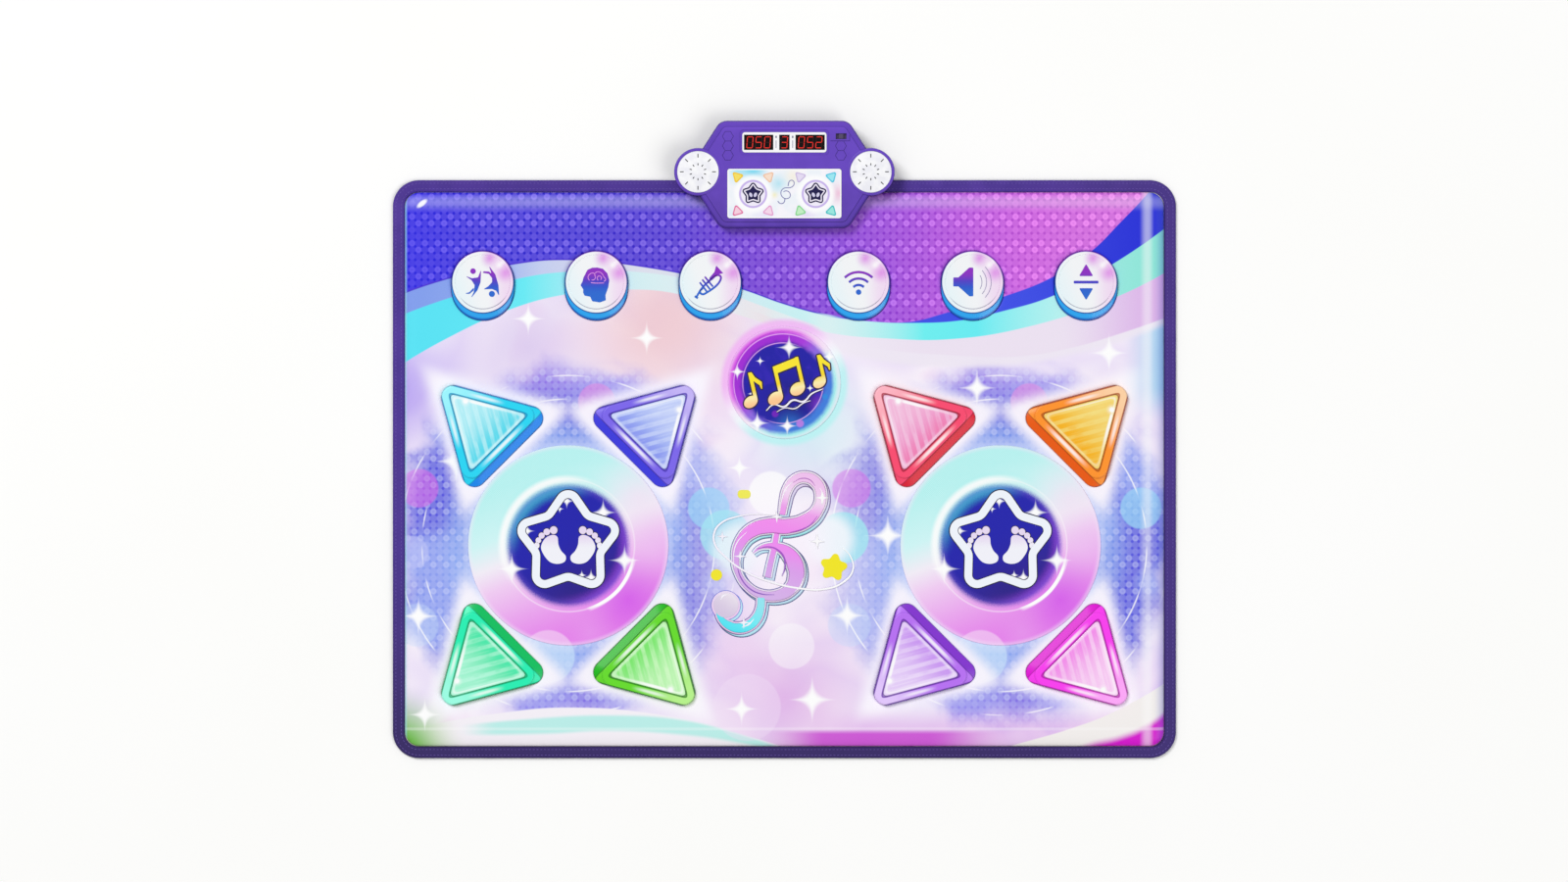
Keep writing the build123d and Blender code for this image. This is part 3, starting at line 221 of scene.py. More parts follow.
class Sheet:
    """The node sheet of one material, written from the surface outwards."""

    def __init__(self, name: str, coat: Coat = Coat()) -> None:
        """Starts a material with one surface shader.

        Args:
            name: the material's name.
            coat: the settings that are the same all over.
        """
        self.material = bpy.data.materials.new(name)
        self.material.use_nodes = True
        self.tree = self.material.node_tree
        self.tree.nodes.clear()
        output = self.tree.nodes.new("ShaderNodeOutputMaterial")
        self.skin = self.tree.nodes.new("ShaderNodeBsdfPrincipled")
        self.tree.links.new(self.skin.outputs[0], output.inputs["Surface"])
        self.skin.inputs["Roughness"].default_value = coat.roughness
        self.skin.inputs["Metallic"].default_value = coat.metallic
        self.skin.inputs["Coat Weight"].default_value = coat.coat
        self.skin.inputs["Coat Roughness"].default_value = coat.coat_roughness
        self.skin.inputs["Sheen Weight"].default_value = coat.sheen
        self.skin.inputs["Specular IOR Level"].default_value = coat.specular
        self.skin.inputs["Emission Strength"].default_value = coat.glow
        self.skin.inputs["Transmission Weight"].default_value = coat.clearness
        self._place: Wire | None = None

    def node(self, kind: str, **settings: object) -> Node:
        """Adds a node and sets its properties.

        Args:
            kind: the node's type name.
            **settings: properties of the node.

        Returns:
            The new node.
        """
        made = self.tree.nodes.new(kind)
        for key, value in settings.items():
            setattr(made, key, value)
        return made

    def plug(self, socket: Socket, value: object) -> None:
        """Links a wire to an input, or sets the input to a value or a hex colour."""
        if isinstance(value, Wire):
            self.tree.links.new(value.socket, socket)
        else:
            socket.default_value = tint(value) if isinstance(value, str) else value

    def math(self, operation: str, *values: Number) -> Wire:
        """Adds a math node.

        Args:
            operation: the node's operation.
            *values: its inputs, in order.

        Returns:
            The result.
        """
        node = self.node("ShaderNodeMath", operation=operation)
        for socket, value in zip(node.inputs, values):
            self.plug(socket, value)
        return Wire(self, node.outputs[0])

    def vector(self, operation: str, *values: object, out: str = "Vector") -> Wire:
        """Adds a vector math node.

        Args:
            operation: the node's operation.
            *values: its inputs, in order.
            out: the output to read.

        Returns:
            The result.
        """
        node = self.node("ShaderNodeVectorMath", operation=operation)
        for socket, value in zip(node.inputs, values):
            self.plug(socket, value)
        return Wire(self, node.outputs[out])

    def place(self) -> Wire:
        """The point on the surface, in millimetres."""
        if self._place is None:
            where = self.node("ShaderNodeTexCoord")
            self._place = self.vector("SCALE", Wire(self, where.outputs["Object"]))
            self._place.socket.node.inputs["Scale"].default_value = 1000
        return self._place

    def split(self, vector: Wire) -> tuple[Wire, Wire, Wire]:
        """The three parts of a vector."""
        node = self.node("ShaderNodeSeparateXYZ")
        self.plug(node.inputs[0], vector)
        return Wire(self, node.outputs[0]), Wire(self, node.outputs[1]), Wire(self, node.outputs[2])

    def join(self, x: Number, y: Number, z: Number = 0.0) -> Wire:
        """A vector made from three numbers."""
        node = self.node("ShaderNodeCombineXYZ")
        for socket, value in zip(node.inputs, (x, y, z)):
            self.plug(socket, value)
        return Wire(self, node.outputs[0])

    def turned(self, at: Wire, centre: Point, degrees: float) -> Wire:
        """A flat vector measured from a centre, in axes turned by an angle.

        Args:
            at: the flat vector.
            centre: the new origin.
            degrees: how far the new axes are turned.

        Returns:
            The vector in the new axes.
        """
        moved = self.vector("SUBTRACT", at, (centre[0], centre[1], 0))
        node = self.node("ShaderNodeVectorRotate", rotation_type="Z_AXIS")
        self.plug(node.inputs["Vector"], moved)
        node.inputs["Angle"].default_value = -math.radians(degrees)
        return Wire(self, node.outputs[0])

    def reach(self, at: Wire, centre: Point = (0.0, 0.0)) -> Wire:
        """Distance of a flat vector from a centre."""
        return self.vector("DISTANCE", at, (centre[0], centre[1], 0), out="Value")

    def along(self, at: Wire, degrees: float) -> Wire:
        """How far a flat vector reaches in one direction."""
        way = (math.cos(math.radians(degrees)), math.sin(math.radians(degrees)), 0)
        return self.vector("DOT_PRODUCT", at, way, out="Value")

    def disc(self, at: Wire, centre: Point, radius: float, soft: float) -> Wire:
        """One inside a circle and zero outside, with a soft edge."""
        return self.reach(at, centre).fade(radius + soft, radius - soft)

    def sparkle(self, at: Wire, centre: Point, size: float) -> Wire:
        """A four-pointed glint.

        Args:
            at: the flat vector.
            centre: the glint's centre.
            size: how far its points reach.

        Returns:
            Its strength, from zero to one.
        """
        moved = self.vector("SUBTRACT", at, (centre[0], centre[1], 0))
        across, up, _ = self.split(moved)
        arms = (across * up).size() * (13 / size**2)
        span = self.reach(moved) * (1 / size)
        heart = span.fade(0.42, 0)
        return (arms + span * 1.1).fade(1, 0.15).most(heart * heart * 0.9)

    def spots(self, at: Wire, colour: Shade, spots: Sequence[Spot]) -> Wire:
        """Lays soft round spots of ink over a colour.

        Args:
            at: the flat vector.
            colour: the colour beneath.
            spots: for each one its centre, radius, soft edge, ink and strength.

        Returns:
            The colour with the spots on it.
        """
        for centre, radius, soft, ink, share in spots:
            colour = self.mix(colour, ink, self.disc(at, centre, radius, soft) * share)
        return colour

    def glints(self, at: Wire, spots: Sequence[tuple[Point, float]], growth: float) -> Wire:
        """The strongest of several glints.

        Args:
            at: the flat vector.
            spots: a centre and a size for each glint.
            growth: what their sizes are multiplied by.

        Returns:
            Their strength, from zero to one.
        """
        shine: Wire | None = None
        for centre, size in spots:
            glint = self.sparkle(at, centre, size * growth)
            shine = glint if shine is None else shine.most(glint)
        return shine

    def noise(self, at: Wire, scale: float, detail: float = 2.0, twist: float = 0.0) -> Wire:
        """Smooth noise from zero to one.

        Args:
            at: the vector it is read at, in millimetres.
            scale: how many swells there are in a millimetre.
            detail: how many finer layers it has.
            twist: how far it is distorted.

        Returns:
            The noise.
        """
        node = self.node("ShaderNodeTexNoise", noise_dimensions="3D")
        self.plug(node.inputs["Vector"], at)
        node.inputs["Scale"].default_value = scale
        node.inputs["Detail"].default_value = detail
        node.inputs["Distortion"].default_value = twist
        return Wire(self, node.outputs[0])

    def curve(self, value: Wire, points: Sequence[Point], low: float, high: float) -> Wire:
        """A smooth curve through points, such as the edge of a printed band.

        Args:
            value: what the curve is read at.
            points: pairs of value and height.
            low: the bottom of the range that both share.
            high: the top of that range.

        Returns:
            The curve's height.
        """
        span = high - low
        node = self.node("ShaderNodeFloatCurve")
        line = node.mapping.curves[0]
        spots = [((x - low) / span, (y - low) / span) for x, y in points]
        line.points[0].location, line.points[1].location = spots[0], spots[-1]
        for spot in spots[1:-1]:
            line.points.new(*spot)
        node.mapping.update()
        self.plug(node.inputs["Value"], (value - low) * (1 / span))
        return Wire(self, node.outputs[0]) * span + low

    def ramp(self, value: Wire, stops: Sequence[Stop]) -> Wire:
        """A colour ramp.

        Args:
            value: from zero to one.
            stops: positions and colours.

        Returns:
            The colour.
        """
        node = self.node("ShaderNodeValToRGB")
        ramp = node.color_ramp
        while len(ramp.elements) < len(stops):
            ramp.elements.new(0.5)
        for element, (position, colour) in zip(ramp.elements, stops):
            element.position = position
            element.color = tint(colour)
        self.plug(node.inputs[0], value)
        return Wire(self, node.outputs[0])

    def mix(self, under: Shade, top: Shade, share: Number, blend: str = "MIX") -> Wire:
        """Lays one colour over another.

        Args:
            under: the colour beneath.
            top: the colour laid on it.
            share: how much of the top shows.
            blend: how the two are mixed.

        Returns:
            The mixed colour.
        """
        node = self.node("ShaderNodeMix", data_type="RGBA", blend_type=blend)
        self.plug(node.inputs[0], share)
        self.plug(node.inputs[6], under)
        self.plug(node.inputs[7], top)
        return Wire(self, node.outputs[2])

    def paint(self, colour: Shade) -> None:
        """Sets the surface's colour."""
        self.plug(self.skin.inputs["Base Color"], colour)

    def shine(self, colour: Shade) -> None:
        """Sets what the surface glows with."""
        self.plug(self.skin.inputs["Emission Color"], colour)

    def emboss(self, height: Wire, distance: float, strength: float = 0.3) -> None:
        """Gives the surface a fine relief.

        Args:
            height: the relief, from zero to one.
            distance: its depth in millimetres.
            strength: how strongly it is felt.
        """
        node = self.node("ShaderNodeBump")
        node.inputs["Strength"].default_value = strength
        node.inputs["Distance"].default_value = distance * MM
        self.plug(node.inputs["Height"], height)
        self.tree.links.new(node.outputs[0], self.skin.inputs["Normal"])

    def flat_place(self) -> Wire:
        """The point on the surface seen from above, in millimetres."""
        x, y, _ = self.split(self.place())
        return self.join(x, y)


WHITE = "FFFFFF"


def mottled(name: str, dark: str, light: str, coat_of: Coat, scale: float = 0.5) -> Finish:
    """Ink that wanders softly between two shades.

    Args:
        name: the material's name.
        dark: the shade in its hollows.
        light: the shade on its swells.
        coat_of: the settings that are the same all over.
        scale: how many swells there are in a millimetre.

    Returns:
        The material.
    """
    sheet = Sheet(name, coat_of)
    grain = sheet.noise(sheet.place(), scale, 1)
    sheet.paint(sheet.ramp(grain, [(0.3, dark), (0.7, light)]))
    return sheet.material


# ---------------------------------------------------------------- outlines
def circle(centre: Point, radius: float, count: int = 48) -> np.ndarray:
    """A ring of points."""
    turn = np.linspace(0, 2 * math.pi, count, endpoint=False)
    return np.c_[centre[0] + radius * np.cos(turn), centre[1] + radius * np.sin(turn)]


def rounded(corners: Sequence[Point], radii: Union[float, Sequence[float]], step: float = 1.5) -> np.ndarray:
    """A closed outline with its corners rounded.

    Args:
        corners: the sharp corners, anticlockwise.
        radii: one radius for all corners, or one for each.
        step: the spacing of points on the arcs.

    Returns:
        The outline's points.
    """
    sharp = np.asarray(corners, float)
    count = len(sharp)
    each = [radii] * count if isinstance(radii, (int, float)) else list(radii)
    points: list[np.ndarray] = []
    for k in range(count):
        before, here, after = sharp[k - 1], sharp[k], sharp[(k + 1) % count]
        back, on = before - here, after - here
        back, on = back / np.linalg.norm(back), on / np.linalg.norm(on)
        half = math.acos(float(np.clip(back @ on, -1, 1))) / 2
        radius = each[k]
        if radius <= 0:
            points.append(here)
            continue
        middle = here + (back + on) / np.linalg.norm(back + on) * radius / math.sin(half)
        start, end = here + back * radius / math.tan(half), here + on * radius / math.tan(half)
        first = math.atan2(*(start - middle)[::-1])
        sweep = math.atan2(*(end - middle)[::-1]) - first
        sweep = (sweep + math.pi) % (2 * math.pi) - math.pi
        parts = max(2, int(abs(sweep) * radius / step))
        for angle in np.linspace(first, first + sweep, parts + 1):
            points.append(middle + radius * np.array([math.cos(angle), math.sin(angle)]))
    return np.array(points)


def rounded_box(width: float, depth: float, corner: float, centre: Point = (0.0, 0.0),
    step: float = 1.5) -> np.ndarray:
    """A rectangle with round corners."""
    x, y = width / 2, depth / 2
    corners = [(centre[0] + a * x, centre[1] + b * y) for a, b in ((1, 1), (-1, 1), (-1, -1), (1, -1))]
    return rounded(corners, corner, step)


def star_corners(point: float, waist: float, first: float, centre: Point = (0.0, 0.0)) -> list[Point]:
    """The ten corners of a star, its points and waists by turns, from an angle on."""
    corners = []
    for k in range(10):
        reach, angle = (point if k % 2 == 0 else waist), math.radians(first + 36 * k)
        corners.append((centre[0] + reach * math.cos(angle), centre[1] + reach * math.sin(angle)))
    return corners


def densified(outline: np.ndarray, step: float) -> np.ndarray:
    """The same closed outline with points no further apart than a step."""
    points = []
    for here, after in zip(outline, np.roll(outline, -1, axis=0)):
        parts = max(1, int(math.ceil(np.linalg.norm(after - here) / step)))
        points += [here + (after - here) * k / parts for k in range(parts)]
    return np.array(points)


def turned(outline: np.ndarray, centre: Point, degrees: float) -> np.ndarray:
    """An outline turned about the origin and moved to a centre."""
    angle = math.radians(degrees)
    spin = np.array([[math.cos(angle), math.sin(angle)], [-math.sin(angle), math.cos(angle)]])
    return outline @ spin + np.asarray(centre)


def far_from(points: np.ndarray, outline: np.ndarray) -> np.ndarray:
    """Distance of points from a closed outline, negative inside it.

    Args:
        points: the points measured.
        outline: the closed outline.

    Returns:
        One signed distance for each point.
    """
    best = np.full(len(points), 1e9)
    inside = np.zeros(len(points), bool)
    for a, b in zip(outline, np.roll(outline, -1, axis=0)):
        edge = b - a
        share = np.clip(((points - a) @ edge) / max(edge @ edge, 1e-12), 0, 1)
        best = np.minimum(best, np.linalg.norm(points - a - share[:, None] * edge, axis=1))
        crosses = (a[1] > points[:, 1]) != (b[1] > points[:, 1])
        with np.errstate(divide="ignore", invalid="ignore"):
            at = edge[0] * (points[:, 1] - a[1]) / edge[1] + a[0]
        inside ^= crosses & (points[:, 0] < at)
    return np.where(inside, -best, best)


def shifted(outline: np.ndarray, amount: float) -> np.ndarray:
    """A smooth closed outline moved outwards along its own normals."""
    along = np.roll(outline, -1, axis=0) - np.roll(outline, 1, axis=0)
    along /= np.linalg.norm(along, axis=1)[:, None]
    return outline + amount * np.c_[along[:, 1], -along[:, 0]]


# ---------------------------------------------------------------- meshes
def linked(name: str, data: object) -> Piece:
    """A new object on the scene's collection."""
    made = bpy.data.objects.new(name, data)
    bpy.context.scene.collection.objects.link(made)
    return made


def coat(made: Piece, finish: Finish) -> Piece:
    """Gives a piece one material in place of any it had."""
    made.data.materials.clear()
    made.data.materials.append(finish)
    return made


def mesh_piece(name: str, points: np.ndarray, faces: Sequence[Sequence[int]], smooth: bool = True) -> Piece:
    """Makes an object from points in millimetres.

    Args:
        name: the object's name.
        points: one row for each vertex.
        faces: vertex numbers, anticlockwise from outside.
        smooth: whether its faces are shaded smooth.

    Returns:
        The object, linked to the scene.
    """
    mesh = bpy.data.meshes.new(name)
    mesh.from_pydata((np.asarray(points) * MM).tolist(), [], [list(map(int, f)) for f in faces])
    mesh.validate()
    if smooth:
        mesh.shade_smooth()
    return linked(name, mesh)


def settled(made: Piece) -> Piece:
    """Applies an object's modifiers and its place to its mesh, and drops them."""
    bpy.context.view_layer.update()
    view = bpy.context.evaluated_depsgraph_get()
    mesh = bpy.data.meshes.new_from_object(made.evaluated_get(view))
    mesh.transform(made.matrix_world)
    plain = linked(made.name, mesh)
    name = made.name
    bpy.data.objects.remove(made)
    plain.name = name
    return plain


def joined(name: str, parts: Sequence[Piece]) -> Piece:
    """Joins several settled objects into one mesh, keeping their materials."""
    sheet = bmesh.new()
    slots: list[Finish] = []
    for part in parts:
        start = len(sheet.faces)
        sheet.from_mesh(part.data)
        sheet.faces.ensure_lookup_table()
        own = list(part.data.materials)
        for material in own:
            if material not in slots:
                slots.append(material)
        for face in sheet.faces[start:]:
            if own:
                face.material_index = slots.index(own[min(face.material_index, len(own) - 1)])
    mesh = bpy.data.meshes.new(name)
    sheet.to_mesh(mesh)
    sheet.free()
    for material in slots:
        mesh.materials.append(material)
    for part in parts:
        bpy.data.objects.remove(part)
    return linked(name, mesh)


def relief(
    name: str,
    outlines: Sequence[np.ndarray],
    bottom: float,
    thickness: float,
    finish: Finish,
    edge: float = 0.12,
) -> Piece:
    """A thin raised print with a softened edge, filled between its outlines.

    Args:
        name: the object's name.
        outlines: closed outlines; one inside another is a hole.
        bottom: the level it lies on.
        thickness: how far it rises.
        finish: its material.
        edge: the softening of its upper edge.

    Returns:
        The finished object.
    """
    drawing = bpy.data.curves.new(name, "CURVE")
    drawing.dimensions = "2D"
    drawing.fill_mode = "BOTH"
    soft = min(edge, thickness * 0.45)
    drawing.extrude = (thickness / 2 - soft) * MM
    drawing.bevel_depth = soft * MM
    drawing.bevel_resolution = 1
    drawing.offset = -soft * MM
    for outline in outlines:
        spline = drawing.splines.new("POLY")
        spline.points.add(len(outline) - 1)
        for point, (x, y) in zip(spline.points, outline):
            point.co = (x * MM, y * MM, 0, 1)
        spline.use_cyclic_u = True
    made = linked(name, drawing)
    made.location = (0, 0, (bottom + thickness / 2) * MM)
    plain = settled(made)
    weld(plain)
    return coat(plain, finish)


def weld(made: Piece, reach: float = 0.004) -> None:
    """Merges doubled vertices and turns every face outwards."""
    sheet = bmesh.new()
    sheet.from_mesh(made.data)
    bmesh.ops.remove_doubles(sheet, verts=sheet.verts, dist=reach * MM)
    bmesh.ops.dissolve_degenerate(sheet, dist=0.001 * MM, edges=sheet.edges)
    bmesh.ops.recalc_face_normals(sheet, faces=sheet.faces)
    sheet.to_mesh(made.data)
    sheet.free()


def brushed_line(
    name: str,
    path: Sequence[Point],
    widths: Sequence[float],
    bottom: float,
    thickness: float,
    finish: Finish,
    closed: bool = False,
) -> Piece:
    """A raised line whose width swells and thins, such as a stroke of lettering brush.

    Args:
        name: the object's name.
        path: the points that it runs through.
        widths: its full width at each point.
        bottom: the level it lies on.
        thickness: how far its crest rises.
        finish: its material.
        closed: whether its ends meet.

    Returns:
        The finished object.
    """
    drawing = bpy.data.curves.new(name, "CURVE")
    drawing.dimensions = "3D"
    drawing.bevel_depth = MM
    drawing.bevel_resolution = 3
    drawing.resolution_u = 10
    drawing.use_fill_caps = True
    spline = drawing.splines.new("BEZIER")
    spline.bezier_points.add(len(path) - 1)
    for point, (x, y), width in zip(spline.bezier_points, path, widths):
        point.co = (x * MM, y * MM, 0)
        point.radius = width / 2
        point.handle_left_type = point.handle_right_type = "AUTO"
    spline.use_cyclic_u = closed
    made = linked(name, drawing)
    plain = settled(made)
    places = np.zeros(len(plain.data.vertices) * 3)
    plain.data.vertices.foreach_get("co", places)
    places = places.reshape(-1, 3)
    swell = np.abs(places[:, 2]).max()
    places[:, 2] = places[:, 2] / swell * (thickness / 2) * MM + (bottom + thickness / 2) * MM
    plain.data.vertices.foreach_set("co", places.ravel())
    weld(plain)
    return coat(plain, finish)


class Bench:
    """Puts finished pieces on their bodies and keeps the log of what was made."""

    def __init__(self, frame: dict) -> None:
        """Holds the loaded frame."""
        self.frame = frame

    def dress(self, node: str, finish: Finish) -> None:
        """Gives a model node its finish."""
        coat(self.frame["nodes"][node], finish)
        LOG.info("dressed %s with %s", node, finish.name)

    def mount(self, made: Piece, body: str, finish: str, stands_for: Sequence[str] = ()) -> Piece:
        """Rides a piece on a body.

        Args:
            made: the piece.
            body: the body that carries it.
            finish: not used.
            stands_for: model nodes that it replaces.

        Returns:
            The piece.
        """
        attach(made, body)
        if stands_for:
            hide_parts(*stands_for)
        LOG.info("made %s on %s, %d faces", made.name, body, len(made.data.polygons))
        return made


# ---------------------------------------------------------------- layout
class Player(Enum):
    """Which half of the mat a piece belongs to."""

    LEFT = -1
    RIGHT = 1

    @property
    def word(self) -> str:
        """The player's part of a node name."""
        return self.name.lower()


@dataclass(frozen=True)
class Layout:
    """Sizes and places that several pieces share."""

    width: float = 1100.0
    depth: float = 812.0
    corner: float = 37.0
    border: float = 17.4
    panel_corner: float = 20.2
    cover_top: float = 16.0
    disc_x: float = 303.0
    disc_y: float = -106.6
    disc_radius: float = 140.5
    badge_y: float = 121.7
    badge_radius: float = 79.0
    key_y: float = 262.1
    key_columns: tuple[float, ...] = (-422.6, -263.6, -103.9, 103.9, 263.6, 422.6)
    key_radius: float = 43.8
    key_wall: float = 9.6
    pad_offset: Point = (119.9, 166.3)
    pad_side: float = 157.4
    pad_corner: float = 16.5
    pad_wall: float = 10.4

    def panel(self, inset: float = 0.0, step: float = 4.0) -> np.ndarray:
        """The outline of the printed panel, drawn in by an inset."""
        edge = 2 * (self.border + inset)
        return rounded_box(self.width - edge, self.depth - edge, max(self.panel_corner - inset, 2), step=step)

    def plate(self, inset: float = 0.0, step: float = 4.0) -> np.ndarray:
        """The outline of the whole mat, drawn in by an inset."""
        return rounded_box(self.width - 2 * inset, self.depth - 2 * inset, self.corner - inset, step=step)

    def triangle(self, inset: float = 0.0, wall: float = 0.0, step: float = 1.0) -> np.ndarray:
        """A pad's outline pointing along +X about the centroid of its top.

        Args:
            inset: how far it is drawn in.
            wall: how far the side facing the player is moved out.
            step: the spacing of points on its corners.

        Returns:
            The outline.
        """
        side = self.pad_side + wall * 2 / math.sqrt(3)
        back = (side - self.pad_side) / math.sqrt(3)
        reach = side / math.sqrt(3) - 2 * inset
        corners = [(reach * math.cos(a) - back, reach * math.sin(a)) for a in (0, 2 * math.pi / 3,
            4 * math.pi / 3)]
        return rounded(corners, max(self.pad_corner - inset, 0.8), step)

    def key_foot(self, growth: float = 0.0) -> np.ndarray:
        """The outline of a key where it meets the cover."""
        top = circle((0, 0), self.key_radius + growth, 64)
        return np.vstack([top[:33], circle((0, -self.key_wall), self.key_radius + growth, 64)[32:],
            top[:1]])[:-1]


LAYOUT = Layout()


@dataclass(frozen=True)
class PadHue:
    """The record's slot and the inks of one step pad."""

    slot: str
    rim: str
    rim_light: str
    wall: str
    line: str
    face: str
    stripe: str


def outward(across: int, row: int) -> float:
    """The direction of a pad's outer corner in degrees, from its side and its row."""
    return {(1, 1): 45, (-1, 1): 135, (-1, -1): 225, (1, -1): 315}[(across, row)]


class StepPadSpot(Enum):
    """The eight step pads: player, side across, row, and inks."""

    LEFT_BACK_LEFT = (-1, -1, 1, PadHue("pad_cyan", "22D6F4", "9CF6FF", "1188F0", "0894C8", "5CDDEE",
        "D6FBFF"))
    LEFT_BACK_RIGHT = (-1, 1, 1, PadHue("pad_indigo", "7C66EC", "C4B4F8", "3E3CE0", "4830B4", "8FA4F4",
        "DCE6FF"))
    LEFT_FRONT_LEFT = (-1, -1, -1, PadHue("pad_aqua", "22F0B4", "9CFFE4", "00C060", "00A468", "4CE8A8",
        "C4FFE8"))
    LEFT_FRONT_RIGHT = (-1, 1, -1, PadHue("pad_lime", "66DC28", "B8F48C", "14B80C", "1E7C10", "80EC78",
        "DCFFD0"))
    RIGHT_BACK_LEFT = (1, -1, 1, PadHue("pad_pink", "FA4A70", "FFB4C2", "DE1834", "A81638", "F08CC6",
        "F8D2EA"))
    RIGHT_BACK_RIGHT = (1, 1, 1, PadHue("pad_orange", "FF9428", "FFD2A4", "EC5C04", "B05008", "F6BA04",
        "F8E68C"))
    RIGHT_FRONT_LEFT = (1, -1, -1, PadHue("pad_violet", "B870F4", "E4C8FF", "8434D0", "6424A8", "D0A0F4",
        "F4E6FF"))
    RIGHT_FRONT_RIGHT = (1, 1, -1, PadHue("pad_magenta", "FA3CF0", "FFA8FA", "E000D4", "B400AC", "F49CEC",
        "FFE4FC"))

    @property
    def node(self) -> str:
        """The pad's node and body name."""
        player, across, row, _ = self.value
        words = ("left" if player < 0 else "right", "back" if row > 0 else "front",
            "left" if across < 0 else "right")
        return f"{words[0]}_pad_{words[1]}_{words[2]}"

    @property
    def centre(self) -> Point:
        """The centroid of the pad's top."""
        player, across, row, _ = self.value
        x, y = LAYOUT.pad_offset
        return player * LAYOUT.disc_x + across * x, LAYOUT.disc_y + row * y

    @property
    def turn(self) -> float:
        """The direction its outer corner points in, in degrees."""
        return outward(*self.value[1:3])

    @property
    def hue(self) -> PadHue:
        """The pad's inks."""
        return self.value[3]


class KeySpot(Enum):
    """The six function keys by column."""

    DANCE = 0
    MEMORY = 1
    INSTRUMENT = 2
    WIRELESS = 3
    VOLUME = 4
    LEVEL = 5

    @property
    def node(self) -> str:
        """The key's node and body name."""
        return f"{self.name.lower()}_key"

    @property
    def centre(self) -> Point:
        """The centre of the key's top."""
        return LAYOUT.key_columns[self.value], LAYOUT.key_y


